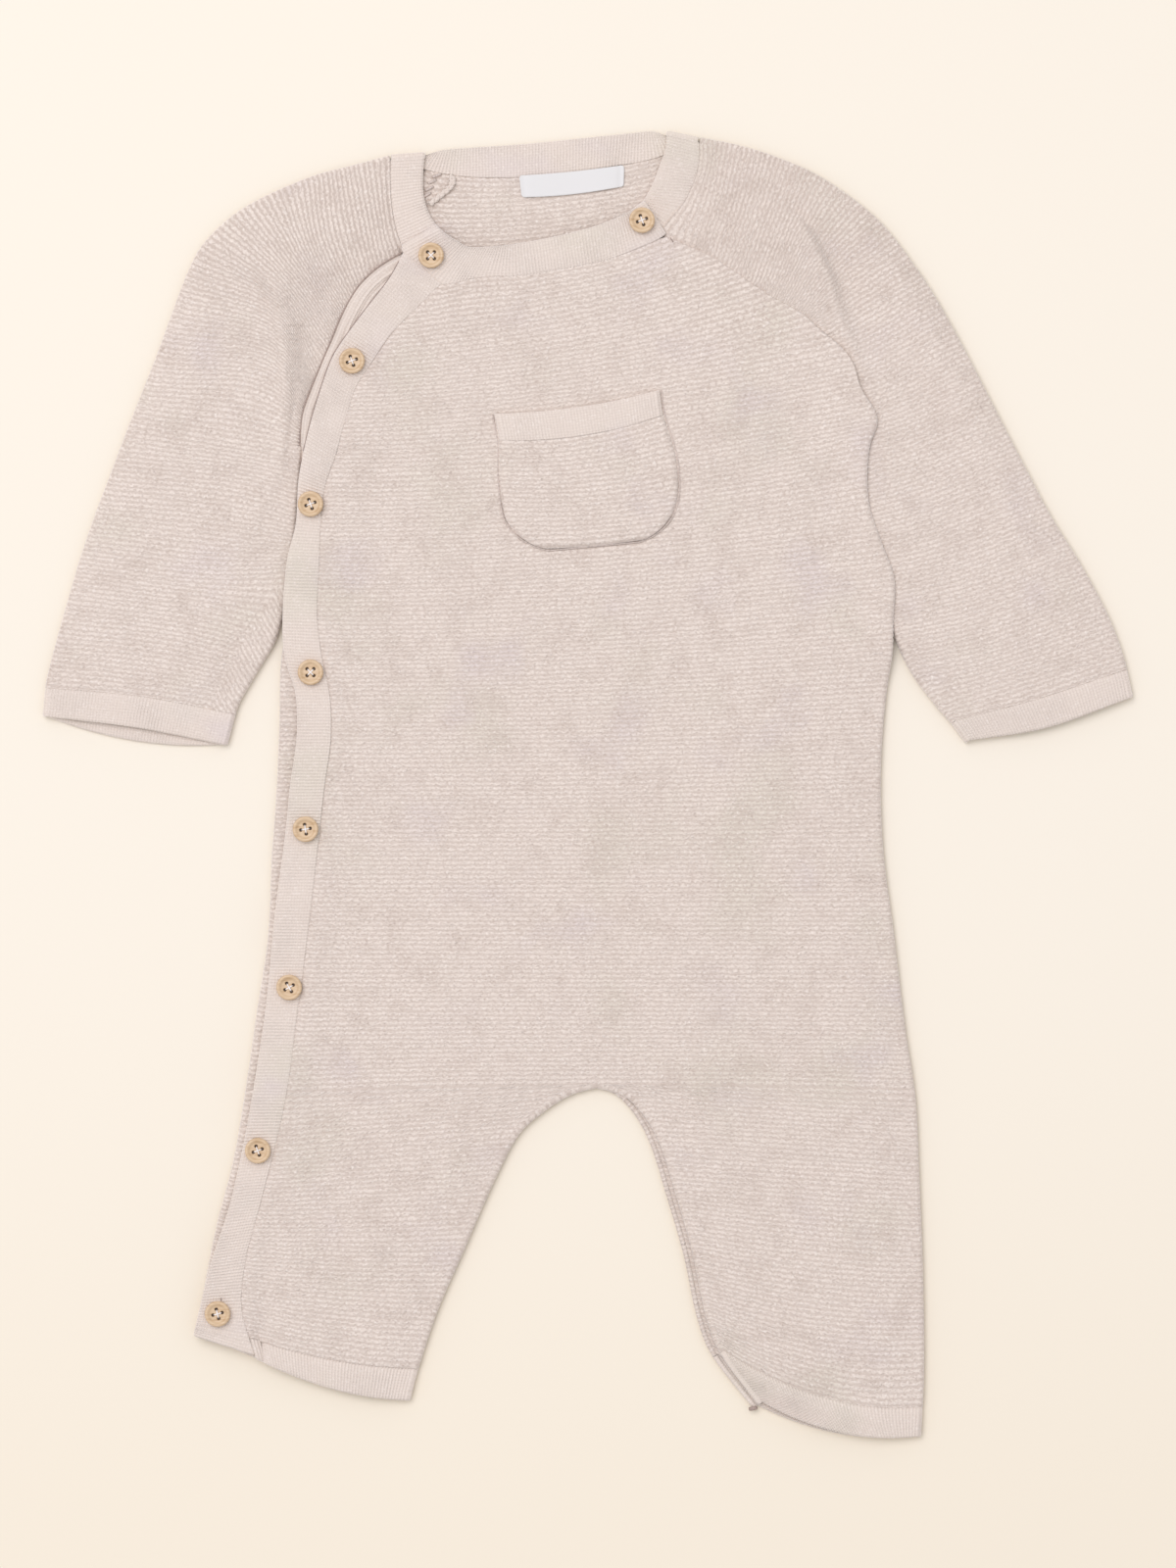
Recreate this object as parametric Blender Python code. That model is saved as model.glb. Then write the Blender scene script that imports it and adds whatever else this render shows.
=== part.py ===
"""Baby romper in fine garter knit, laid flat on its back with its sleeves down.

The romper is cut as a maker would cut it: a front and a back that each take in both legs, two
raglan sleeves, rib cuffs, leg hems and neckband, a button band that runs from the neck down the
wearer's right side to the leg hem, the band under it, a patch pocket, a neck label and nine
buttons. Every piece is a closed wall of cloth.

Axes: +X is the wearer's left, +Y runs from the leg hems to the neck, +Z is up from the surface
that the romper lies on. The origin is under the middle of the garment. Tables and sizes are in
millimetres, and the meshes are made in metres.

Each panel is a grid: its rows are courses of the knit, worked out from a short table, and a
Solidify modifier gives it its thickness. The lower wall of a panel lies on the surface, and the
upper wall lies on the lower one, with a rolled fold or a seam between them at the outline.
"""

import math

import bmesh
import bpy
import numpy as np

MM = 0.001

# Cloth
CLOTH = 1.8
POCKET_CLOTH = 1.5
LABEL_TAPE = 1.0
SEAM_GAP = 0.6
EDGE_SLIT = 0.42
POCKET_CLEARANCE = 0.45
LABEL_CLEARANCE = 0.5

# Heights of the middle of the cloth above the surface
FOLD_RADIUS = 1.2
LOWER_WALL = CLOTH / 2
UPPER_WALL = LOWER_WALL + 2 * FOLD_RADIUS
FOLD_REACH = FOLD_RADIUS + CLOTH / 2
BUTTON_BAND_LEVEL = 5.6
OVER_SLEEVE_LEVEL = 5.85
FRONT_LEVEL = 4.6
LABEL_LEVEL = CLOTH + LABEL_CLEARANCE + LABEL_TAPE / 2

# Widths
UNDER_BAND_WIDTH = 10.5
BAND_RISE_WIDTH = 26.0
SIDE_RISE_WIDTH = 18.0
NECK_RISE_WIDTH = 20.0
INSEAM_RISE_WIDTH = 16.0

# A rolled edge: its width while it is flat, its least share of that width and its least turn.
# At an underarm it turns from flat to upright over this many courses.
FLAT_ROLL = FOLD_RADIUS * math.pi / 2
ROLL_START = 0.25
LEAST_TURN = math.radians(4)
UNDERARM_GROWTH = 0.8

# Places on a sleeve's course, as shares of its stretches: the end of the rise from the front
# seam, the hollow between ridge and fold, and the last high point before the fold
RISE_END = 0.12
HOLLOW_PLACE = 0.25
OUTER_PLACE = 0.86

# Rows and columns of the grids. The body and the legs have these columns on each half.
FRONT_GRID = {"body_rows": 30, "leg_rows": 15, "columns": 8}
BACK_GRID = {"body_rows": 31, "leg_rows": 12, "columns": 6}
SLEEVE_GRID = {"rows_each_course": 1.9, "upper_columns": 8, "lower_columns": 5}
STRIP_ROWS = 3
POCKET_GRID = {"rows": 9, "columns": 10}
LABEL_COLUMNS = 7
BAND_ROWS = 56
FRONT_NECKBAND_ROWS = 21
UNDER_BAND_CURVE = (209, 108)
UNDER_BAND_RUN = (94, -218)
NECKBAND_ROWS = {"right": 8, "back": 20, "left": 9}
SEAM_EASE_COURSES = 1.5

# Buttons
BUTTON_RADIUS = 5.1
BUTTON_HEIGHT = 2.4
BUTTON_SIDES = 16
BUTTON_HOLE_RADIUS = 0.5
BUTTON_HOLE_SPREAD = 1.35
BUTTON_CLEARANCE = 0.3
BUTTON_HOLE_SIDES = 6


def table(columns, *rows):
    """Return a short table as one array for each named column."""
    return dict(zip(columns.split(), np.array(rows, dtype=float).T))


# The seam between the front and the button band: x at each height y.
BAND_SEAM = table(
    "y x",
    (206, -51), (199.5, -58.5), (191.5, -66.5), (180, -78), (168.5, -86), (160, -91.5),
    (147, -96.3), (132, -100.3), (119, -104.8), (103, -106.7), (88, -107.2), (67.5, -108),
    (50, -106), (35.5, -103), (18, -102.5), (-1, -105), (-19, -107), (-54, -111),
    (-90, -115.7), (-130, -121.5), (-165, -130), (-190, -136.5), (-209, -138), (-229, -132.5),
)

# The front's edge on the wearer's left: the raglan seam down to y = 174, then the side.
LEFT_EDGE = table(
    "y x",
    (221, 25), (217.8, 32), (209.5, 50.5), (203.5, 59.5), (195, 72), (186.5, 86.5),
    (181, 92.5), (174, 101), (170, 104.3), (157.5, 109), (144.5, 115.5), (136, 112.8),
    (124, 111.5), (112, 112.2), (95.5, 117.5), (84, 121.8), (64, 121.8), (53, 121.6),
    (37, 119.3), (0, 116.9), (-27, 118), (-58.5, 122), (-97.5, 126.7), (-125.5, 130.8),
    (-153.5, 132.2), (-209, 134.1), (-237, 134.2), (-262, 133),
)
RAGLAN_BLEND = (160.0, 176.0)

# The line where the under band is sewn on: the right sleeve's raglan edge down to y = 137, then
# the margin of the back that is rolled round to the front.
OPENING = table(
    "y x",
    (214, -71), (206, -84.3), (201, -89.8), (193, -95.4), (186.5, -98.7), (178, -102.2),
    (168, -106.5), (158, -110.6), (149, -113.8), (139, -115), (117, -113.8), (100, -114.3),
    (84, -115.4), (70, -115.8), (62, -115.3), (55, -114.7), (37, -115.2), (24, -115.6),
    (-2, -116.8), (-28, -118.6), (-61, -120.2), (-92, -124.8), (-121, -129), (-151, -134.2),
    (-177.5, -141), (-197, -144.9), (-219, -148.8), (-224, -149.5),
)

# The back's edge on the wearer's right: raglan seam, hidden side, then the rolled fold.
BACK_RIGHT_EDGE = table(
    "y x",
    (247, -64), (243.5, -66.3), (221, -80), (195.5, -92), (176, -101.5), (160.5, -107.5),
    (145, -112.3), (133, -114), (117, -114.3), (100, -115), (84, -117), (70, -119),
    (60, -120.9), (52, -122.2), (24, -123.2), (-2, -124.3), (-28, -126.2), (-61, -127.8),
    (-92, -132.4), (-121, -136.6), (-151, -141.8), (-177.5, -148.6), (-197, -152.5),
    (-219, -156.4), (-224, -157.2),
)
MARGIN_BLEND = (55.0, 63.0)

# The back's edge on the wearer's left: raglan seam, hidden side, then the side that shows.
BACK_LEFT_EDGE = table(
    "y x",
    (254, 35.5), (251.5, 37), (239.5, 46), (212, 62.7), (197.5, 72.5), (183, 82),
    (167.5, 92), (154.5, 100.3), (141.5, 105.6), (121.5, 107.0), (106, 109.3), (84.5, 113),
    (63, 117.5), (52, 119.4), (45, 120.2), (37, 119.3), (0, 116.9), (-27, 118),
    (-58.5, 122), (-97.5, 126.7), (-125.5, 130.8), (-153.5, 132.2), (-209, 134.1),
    (-237, 134.2), (-262, 133),
)
SIDE_BLEND = (46.0, 54.0)

# The seam under the front neckband, y at each x. It turns up at the corner of the button band.
NECK_SEAM = table(
    "x y",
    (-73.5, 212), (-66, 205.8), (-58.5, 199.8), (-45.5, 202), (-26.5, 203), (-8.5, 206),
    (6.5, 209), (17.5, 213), (29.5, 218.3), (36, 221.5),
)

# The back's top edge, y at each x.
BACK_NECK = table(
    "x y",
    (-70, 245.2), (-64, 243.8), (-56, 242.4), (-45.5, 241.5), (-27.5, 241.6), (-8, 243.5),
    (14.5, 246.6), (26.5, 249), (36, 252), (40, 254),
)

# Courses of the front's body. Each runs from the button band, through a point on the middle
# line, to the left edge.
FRONT_COURSES = table(
    "right_y middle_x middle_y left_y",
    (199.3, -8.0, 206.0, 218.0),
    (180.0, -4.0, 190.5, 206.0),
    (162.0, -1.0, 171.5, 190.0),
    (144.5, 1.0, 152.5, 170.0),
    (127.0, 2.0, 133.0, 151.0),
    (108.0, 2.5, 113.0, 129.5),
    (88.0, 3.0, 92.0, 105.5),
    (66.0, 3.0, 69.0, 80.0),
    (42.0, 3.0, 44.0, 51.0),
    (14.5, 3.2, 15.5, 19.0),
    (-18.0, 3.4, -17.5, -15.5),
    (-50.0, 3.5, -50.0, -49.5),
    (-84.0, 3.5, -84.0, -84.0),
    (-122.0, 3.5, -119.3, -121.0),
)

# Courses of the back's body, from its edge on the wearer's right to the one on the left.
BACK_COURSES = table(
    "right_y middle_x middle_y left_y",
    (243.5, -14.0, 242.4, 251.5),
    (221.0, -10.0, 223.0, 236.0),
    (190.0, -6.0, 190.0, 205.0),
    (160.0, -3.0, 160.0, 171.0),
    (128.0, 0.0, 128.0, 135.0),
    (95.0, 2.0, 95.0, 100.0),
    (55.0, 3.0, 58.0, 62.0),
    (12.0, 3.2, 18.0, 20.0),
    (-40.0, 3.4, -38.0, -37.0),
    (-84.0, 3.5, -83.0, -83.0),
    (-122.0, 3.5, -119.3, -121.0),
)

# Courses of the legs, from the crotch to the hem. inner is on the inseam, and sag is how far
# the middle of the course hangs below the straight line between its ends.
LEG_COURSES = table(
    "front_right_y back_right_y right_inner_x right_inner_y right_sag "
    "left_inner_x left_inner_y left_y left_sag",
    (-122.0, -122.0, 3.5, -121.4, 0.0, 3.5, -121.4, -121.0, 0.0),
    (-127.0, -126.0, -6.5, -124.2, 0.0, 11.5, -124.4, -127.0, 0.0),
    (-135.0, -133.0, -17.0, -130.6, 0.0, 19.0, -132.6, -136.0, 0.0),
    (-147.0, -144.0, -28.0, -140.8, 0.0, 25.3, -145.0, -149.0, 0.0),
    (-164.0, -160.0, -38.0, -160.0, 0.5, 31.5, -165.0, -170.0, 0.5),
    (-183.0, -177.0, -48.5, -184.0, 1.0, 38.0, -187.5, -196.0, 2.0),
    (-203.0, -194.0, -60.0, -210.5, 1.5, 43.5, -213.0, -225.0, 4.5),
    (-221.0, -209.0, -67.8, -234.0, 2.5, 50.0, -229.0, -249.0, 7.0),
    (-229.2, -219.3, -71.0, -246.5, 3.5, 66.0, -249.5, -260.6, 5.0),
)
HEM_COURSE = 7
HEM_GAP = 0.035

# Courses of the sleeves, from the neckband to the end of the cuff. A course starts at the front
# raglan seam or the inner edge, crosses the ridge at the shoulder, and turns over the outer
# fold to the back seam. The heights are of the upper wall: at the start, on the ridge, in the
# hollow beyond it and near the outer fold. sag is how far the lower wall hangs at mid course.
SLEEVE_COLUMNS = (
    "front_x front_y ridge_x ridge_y fold_x fold_y back_x back_y "
    "start_z ridge_z hollow_z outer_z sag"
)
LEFT_SLEEVE = table(
    SLEEVE_COLUMNS,
    (34.6, 218.5, 43.2, 238.0, 45.4, 258.2, 38.6, 252.2, 3.4, 3.5, 3.5, 3.4, 0.0),
    (41.5, 213.9, 54.0, 234.5, 60.0, 255.3, 46.5, 239.5, 4.2, 4.7, 4.7, 4.2, 0.0),
    (49.5, 210.2, 66.5, 232.0, 73.0, 251.3, 55.0, 226.0, 4.8, 5.4, 5.2, 4.3, 0.0),
    (59.5, 203.8, 79.0, 227.5, 85.5, 246.8, 63.5, 212.0, 5.0, 6.0, 5.3, 4.4, 0.0),
    (72.0, 195.3, 89.0, 216.5, 101.5, 237.7, 73.5, 197.5, 4.9, 6.4, 4.6, 4.4, 0.0),
    (83.0, 188.9, 95.2, 204.0, 117.5, 224.0, 83.0, 183.0, 4.4, 6.2, 4.0, 4.4, 0.0),
    (92.5, 181.3, 99.5, 189.0, 131.0, 206.5, 92.5, 167.5, 3.6, 5.2, 3.8, 4.4, 0.0),
    (100.5, 164.5, 108.5, 174.0, 142.0, 189.0, 101.0, 154.5, 3.3, 3.9, 3.8, 4.4, 0.0),
    (104.0, 145.0, 118.0, 154.0, 152.5, 169.5, 106.8, 141.5, 3.3, 3.6, 3.9, 4.4, 0.0),
    (108.5, 121.5, 126.0, 133.0, 163.0, 149.0, 108.5, 121.5, 3.3, 3.7, 4.0, 4.4, 0.0),
    (111.0, 106.0, 133.0, 114.5, 172.5, 130.5, 111.0, 106.0, 3.3, 3.9, 4.2, 4.4, 0.0),
    (114.5, 84.5, 141.0, 92.5, 185.5, 106.0, 114.5, 84.5, 3.3, 4.1, 4.4, 4.4, 0.0),
    (120.5, 63.0, 150.5, 72.5, 197.5, 86.5, 120.5, 63.0, 3.3, 4.2, 4.4, 4.4, 0.0),
    (129.0, 44.5, 159.0, 55.5, 206.5, 70.0, 129.0, 44.5, 3.3, 4.2, 4.4, 4.3, 0.0),
    (139.0, 31.0, 168.5, 43.0, 212.5, 55.5, 139.0, 31.0, 3.3, 4.1, 4.3, 4.2, 0.0),
    (145.0, 24.0, 176.5, 33.0, 215.3, 45.5, 145.0, 24.0, 3.3, 4.0, 4.2, 4.0, 0.3),
    (150.8, 16.2, 180.5, 21.8, 217.8, 34.5, 150.8, 16.2, 3.3, 3.9, 4.1, 3.8, 0.6),
)
LEFT_UNDERARM = 9
LEFT_RAGLAN_COURSES = 6.2
RIGHT_SLEEVE = table(
    SLEEVE_COLUMNS,
    (-74.6, 212.4, -79.1, 233.5, -79.5, 251.0, -68.6, 243.2, 3.3, 3.5, 3.5, 3.4, 0.0),
    (-84.5, 206.0, -91.5, 226.0, -100.0, 245.5, -80.5, 221.0, 3.3, 4.2, 4.4, 4.2, 0.0),
    (-95.5, 193.0, -106.5, 217.0, -121.0, 239.5, -92.5, 195.5, 3.3, 4.6, 4.7, 4.4, 0.0),
    (-102.3, 178.0, -119.0, 203.0, -136.0, 230.3, -102.0, 176.0, 3.3, 5.2, 4.5, 4.4, 0.0),
    (-106.6, 168.0, -123.0, 190.0, -148.5, 221.0, -108.0, 160.5, 3.3, 5.4, 4.2, 4.4, 0.0),
    (-113.8, 149.0, -122.0, 172.0, -158.5, 208.0, -113.0, 145.0, 3.3, 5.0, 4.0, 4.4, 0.0),
    (-115.0, 137.0, -122.0, 154.0, -165.5, 186.5, -114.7, 133.0, 3.3, 4.2, 3.9, 4.4, 0.0),
    (-115.5, 117.5, -130.0, 133.0, -175.0, 166.0, -115.5, 117.5, 3.3, 3.9, 4.1, 4.4, 0.0),
    (-116.5, 100.0, -138.0, 114.0, -184.0, 141.0, -116.5, 100.0, 3.3, 4.0, 4.3, 4.4, 0.0),
    (-118.5, 84.0, -146.0, 97.0, -193.5, 116.5, -118.5, 84.0, 3.3, 4.1, 4.4, 4.4, 0.0),
    (-121.0, 70.0, -153.0, 82.0, -201.5, 95.0, -121.0, 70.0, 3.3, 4.2, 4.4, 4.4, 0.0),
    (-124.5, 57.5, -160.0, 66.5, -207.5, 74.0, -124.5, 57.5, 3.3, 4.2, 4.4, 4.3, 0.0),
    (-130.8, 46.5, -168.0, 51.5, -213.0, 55.5, -130.8, 46.5, 3.3, 4.2, 4.4, 4.2, 0.0),
    (-138.3, 33.8, -176.0, 38.0, -216.2, 42.0, -138.3, 33.8, 3.3, 4.1, 4.3, 4.1, 0.6),
    (-140.7, 27.5, -178.0, 34.8, -216.7, 38.4, -140.7, 27.5, 3.3, 4.1, 4.2, 4.0, 1.4),
    (-144.0, 15.2, -180.0, 22.4, -217.8, 27.0, -144.0, 15.2, 3.3, 4.0, 4.2, 3.9, 4.0),
)
RIGHT_UNDERARM = 6
RIGHT_RAGLAN_COURSES = 6.0
CUFF_GAP = 0.022

# Stations along the neckband: from its front end on the wearer's right, over the shoulder
# fold, round the back and over the other fold to its front end on the left.
NECKBAND_COLUMNS = "inner_x inner_y outer_x outer_y"
NECKBAND_RIGHT = table(
    NECKBAND_COLUMNS,
    (-58.0, 220.0, -72.0, 214.5), (-63.0, 227.0, -75.8, 221.0), (-65.5, 235.0, -77.8, 232.0),
    (-65.7, 243.0, -78.0, 242.5), (-65.0, 252.3, -77.6, 251.3),
)
NECKBAND_BACK = table(
    NECKBAND_COLUMNS,
    (-64.8, 250.2, -77.4, 249.2), (-64.2, 250.0, -74.6, 247.9), (-61.0, 251.4, -67.0, 245.8),
    (-56.0, 253.3, -58.5, 244.2),
    (-45.5, 254.3, -45.5, 242.4), (-27.5, 255.5, -27.5, 242.4), (-8.0, 257.4, -8.0, 244.3),
    (15.5, 259.8, 14.5, 247.4), (25.5, 260.7, 27.5, 250.2), (31.0, 259.0, 42.7, 256.3),
)
NECKBAND_LEFT = table(
    NECKBAND_COLUMNS,
    (31.5, 261.0, 43.2, 258.3), (31.0, 254.0, 44.2, 250.5), (28.5, 246.5, 43.6, 244.0),
    (25.3, 238.5, 41.0, 237.5), (22.3, 233.2, 37.6, 231.0), (19.5, 230.8, 33.5, 226.0),
)

# Stations along the front neckband. Its outer edge is on the neck seam, or lift above it.
FRONT_NECKBAND = table(
    "inner_x inner_y outer_x lift level",
    (-59.0, 221.5, -72.8, 10.0, 5.6),
    (-56.5, 219.3, -73.4, 0.0, 5.6),
    (-52.5, 216.8, -66.5, 0.0, 5.6),
    (-47.5, 214.2, -58.5, 0.0, 5.6),
    (-39.0, 214.3, -45.5, 0.0, 5.5),
    (-27.5, 215.6, -26.5, 0.0, 5.4),
    (-10.0, 219.0, -8.0, 0.0, 5.4),
    (4.5, 223.0, 6.5, 0.0, 5.4),
    (14.0, 227.0, 18.0, 0.0, 5.5),
    (19.0, 230.2, 28.0, 0.0, 5.6),
    (24.0, 234.0, 34.0, 4.5, 5.6),
)

# Stations along the button band. Its inner edge is on the band seam.
BUTTON_BAND = table(
    "left_x left_y seam_y",
    (-74.0, 210.8, 199.0), (-79.5, 201.0, 191.5), (-89.5, 188.0, 180.0), (-99.5, 176.0, 168.5),
    (-104.8, 168.0, 160.0), (-109.3, 154.0, 147.0), (-113.0, 139.5, 132.0),
    (-115.3, 122.0, 118.0), (-116.5, 104.0, 103.0), (-120.0, 88.5, 88.0), (-121.7, 67.5, 67.0),
    (-121.0, 51.0, 50.0), (-116.6, 35.5, 35.5), (-116.2, 18.0, 18.0), (-118.8, -1.0, -1.0),
    (-120.6, -19.0, -19.0), (-125.0, -54.0, -54.0), (-128.6, -90.0, -90.0),
    (-134.8, -130.0, -130.0), (-142.2, -165.5, -164.0), (-150.3, -191.0, -189.0),
    (-155.3, -211.0, -211.0), (-157.2, -219.6, -227.8),
)

# Courses of the pocket, top edge to bottom edge. The first two bound its rib top.
POCKET = table(
    "right_x right_y left_x left_y sag",
    (-37.4, 147.5, 28.5, 157.0, 2.2),
    (-35.4, 137.0, 30.0, 147.0, 3.3),
    (-35.2, 124.0, 34.6, 132.0, 2.8),
    (-34.4, 114.0, 35.8, 119.0, 2.2),
    (-32.6, 105.5, 34.6, 110.0, 1.8),
    (-28.0, 99.6, 30.6, 103.6, 1.5),
    (-22.5, 96.0, 25.8, 99.6, 1.2),
    (-16.0, 93.8, 20.5, 97.2, 0.6),
)
POCKET_SEAM = 1
POCKET_GAP = 0.02

LABEL = table(
    "right_x right_y left_x left_y sag",
    (-27.5, 243.0, 14.5, 247.0, 0.5),
    (-26.5, 234.2, 14.3, 238.4, 0.9),
)

BUTTONS = table(
    "x y",
    (-62.5, 210.5), (-94.0, 168.5), (-110.5, 111.5), (-110.5, 44.5), (-112.5, -18.0),
    (-119.0, -81.0), (-131.5, -146.0), (-147.5, -211.0), (21.5, 224.5),
)

# Heights of the front's middle beside its left edge at each y, and under the neckband at each x.
LEFT_EDGE_LEVELS = table(
    "y level",
    (-262, UPPER_WALL), (38, UPPER_WALL), (60, OVER_SLEEVE_LEVEL), (172, OVER_SLEEVE_LEVEL),
    (181, 5.75), (188, 5.4), (195, 5.2), (209, 5.3), (218, 5.6), (222, 5.6),
)
NECK_LEVELS = table("x level", (-60, 5.6), (-26, 5.4), (6, 5.4), (30, 5.6))

# The turned profile of a button, from its underside round the rim to the dished middle.
BUTTON_PROFILE = table(
    "radius height",
    (4.4, 0.0), (BUTTON_RADIUS, 0.8), (4.8, BUTTON_HEIGHT), (3.9, BUTTON_HEIGHT), (3.1, 1.6),
)

# Soft folds of the front: centre, half length, half width, direction in degrees and height.
FRONT_FOLDS = table(
    "x y half_length half_width turn height",
    (-62, 96, 42, 9, 78, 0.5),
    (84, 118, 34, 9, 62, 0.6),
    (66, 22, 46, 10, 84, 0.4),
    (-58, -60, 52, 11, 97, 0.5),
    (36, -92, 38, 9, 118, 0.6),
    (-30, -104, 34, 9, 52, 0.5),
    (88, -190, 44, 11, 90, 0.5),
    (-92, -178, 40, 10, 112, 0.5),
)


def through(keys, values, at, level=False):
    """Read a cubic curve through the values at the keys, at other places.

    With level, no stretch rises above or falls below the two values that bound it.
    """
    order = np.argsort(keys)
    keys = np.asarray(keys, dtype=float)[order]
    values = np.asarray(values, dtype=float)[order]
    at = np.asarray(at, dtype=float)
    flat = values.reshape(len(keys), -1)
    step = np.diff(keys)[:, None]
    rise = np.diff(flat, axis=0) / step
    slope = np.empty_like(flat)
    slope[0] = rise[0]
    slope[-1] = rise[-1]
    if level:
        agree = rise[:-1] * rise[1:] > 0
        total = np.where(agree, rise[:-1] + rise[1:], 1)
        slope[1:-1] = np.where(agree, 2 * rise[:-1] * rise[1:] / total, 0)
    else:
        slope[1:-1] = (rise[:-1] * step[1:] + rise[1:] * step[:-1]) / (step[:-1] + step[1:])
    index = np.clip(np.searchsorted(keys, at, side="right") - 1, 0, len(keys) - 2)
    width = step[index]
    part = (at - keys[index])[..., None] / width
    result = (
        (2 * part**3 - 3 * part**2 + 1) * flat[index]
        + (part**3 - 2 * part**2 + part) * width * slope[index]
        + (3 * part**2 - 2 * part**3) * flat[index + 1]
        + (part**3 - part**2) * width * slope[index + 1]
    )
    return result.reshape(at.shape + values.shape[1:])


def edge_at(edge, y, outward=0.0):
    """Return points of an edge x(y) at heights y, moved outward mm towards +X across it."""
    y = np.asarray(y, dtype=float)
    x = through(edge["y"], edge["x"], y)
    slope = through(edge["y"], edge["x"], y + 0.5) - through(edge["y"], edge["x"], y - 0.5)
    length = np.sqrt(1 + slope**2)
    return np.stack([x + outward / length, y - outward * slope / length], axis=-1)


def seam_y(seam, x):
    """Return the height y of a seam y(x) at the places x."""
    return through(seam["x"], seam["y"], x)


def read(source, names, at):
    """Return points made of the named columns of a table, read at row numbers at."""
    values = np.stack([source[name] for name in names.split()], axis=-1)
    return through(np.arange(len(values)), values, at)


def normals(line, side):
    """Return unit vectors across a plan line, to the left of its run for side +1."""
    run = np.gradient(line, axis=0)
    run = run / np.linalg.norm(run, axis=1, keepdims=True)
    return side * np.stack([-run[:, 1], run[:, 0]], axis=1)


def distance_to(points, line):
    """Return the distance from each plan point to the nearest point of a dense line."""
    offsets = points[..., None, :] - line
    return np.sqrt((offsets**2).sum(axis=-1)).min(axis=-1)


def fade(distance, width):
    """Return 1 at no distance and 0 beyond the width, with a smooth fall between."""
    part = np.clip(1 - distance / width, 0, 1)
    return part * part * (3 - 2 * part)


def with_height(plan, height):
    """Join plan points with their heights."""
    height = np.broadcast_to(height, plan.shape[:-1])
    return np.concatenate([plan, height[..., None]], axis=-1)


def roll(line, across, lift, grown=1.0):
    """Roll cloth over an edge, from the line outward, up for lift +1.

    A roll that has grown to 0.5 is a flat strip of full width, and from 0.5 to 1 it turns
    upright. At every turn the corner of its end stays half a slit short of the other wall.
    """
    grown = np.broadcast_to(grown, len(line)).astype(float)
    share = np.clip(2 * grown, ROLL_START, 1)
    turn = np.clip((2 * grown - 1) * math.pi / 2, LEAST_TURN, math.pi / 2)
    out = FOLD_RADIUS + (FLAT_ROLL - FOLD_RADIUS) * np.cos(turn)
    rise = FOLD_RADIUS - EDGE_SLIT / 2 - CLOTH / 2 * np.cos(turn)
    rise = np.minimum(rise, FLAT_ROLL * turn / 2)
    tail = np.stack([rise / np.tan(turn), rise], axis=1)
    bend = np.stack([out - tail[:, 0], np.zeros(len(line))], axis=1)
    profile = np.stack([0 * bend, 0.45 * bend, bend + 0.35 * tail, bend + tail], axis=1)
    profile *= share[:, None, None]
    plan = line[:, None, :2] + profile[..., :1] * across[:, None, :]
    return with_height(plan, line[:, None, 2] + lift * profile[..., 1])


def turn_over(line, across, steps=4):
    """Carry cloth round a fold: a half round from the upper wall down to the lower wall."""
    angle = np.linspace(0, math.pi, steps + 1)
    plan = line[:, None, :2] + FOLD_RADIUS * np.sin(angle)[:, None] * across[:, None, :]
    height = line[:, None, 2] - (line[:, None, 2] - LOWER_WALL) * (1 - np.cos(angle)) / 2
    return with_height(plan, height)


def quadratic(first, middle, last, at):
    """Read the parabola through three columns of points at 0, 1 and 2."""
    at = at[None, :, None]
    first, middle, last = (points[:, None, :] for points in (first, middle, last))
    return (
        first * (at - 1) * (at - 2) / 2
        - middle * at * (at - 2)
        + last * at * (at - 1) / 2
    )


def sagging(first, last, sag, count):
    """Return straight courses between two columns of points, each with its sag."""
    part = np.linspace(0, 1, count)
    plan = first[:, None] + (last - first)[:, None] * part[:, None]
    plan[..., 1] -= sag[:, None] * 4 * part * (1 - part)
    return plan


def body_plan(courses, right, left, rows, columns):
    """Return the body of the front or back in plan, in two halves that share the middle."""
    middle = read(courses, "middle_x middle_y", rows)
    right_half = quadratic(right, middle, left, np.linspace(0, 1, columns))
    left_half = quadratic(right, middle, left, np.linspace(1, 2, columns))
    return right_half, left_half


def follow_seam(halves, seam, rows):
    """Draw the first course onto a seam y(x), and ease the next ones after it.

    The two ends of the course stay where the side seams put them.
    """
    share = np.linspace(0, 1, halves[0].shape[1])
    for half, inward in zip(halves, (share, 1 - share)):
        first = half[0]
        gap = seam_y(seam, first[:, 0]) - SEAM_GAP / 2 - first[:, 1]
        ease = fade(rows, SEAM_EASE_COURSES)[:, None]
        half[..., 1] += ease * gap * (1 - (1 - inward) ** 6)
    return halves


def inseam(rows, reach):
    """Return the inner edges of both legs at course numbers, reach mm inside the outline."""
    right = read(LEG_COURSES, "right_inner_x right_inner_y", rows)
    left = read(LEG_COURSES, "left_inner_x left_inner_y", rows)
    if rows[0] == 0:
        across = normals(np.concatenate([right[::-1], left[1:]]), -1)
        right_across = across[:len(rows)][::-1]
        left_across = across[len(rows) - 1:]
    else:
        right_across = normals(right, 1)
        left_across = normals(left, -1)
    right_edge = (right - reach * right_across, right_across)
    left_edge = (left - reach * left_across, left_across)
    return right_edge, left_edge


def inseam_line():
    """Return the whole inseam outline as one dense line."""
    rows = np.linspace(0, HEM_COURSE + 1, 60)
    right = read(LEG_COURSES, "right_inner_x right_inner_y", rows[::-1])
    left = read(LEG_COURSES, "left_inner_x left_inner_y", rows[1:])
    return np.concatenate([right, left])


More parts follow.
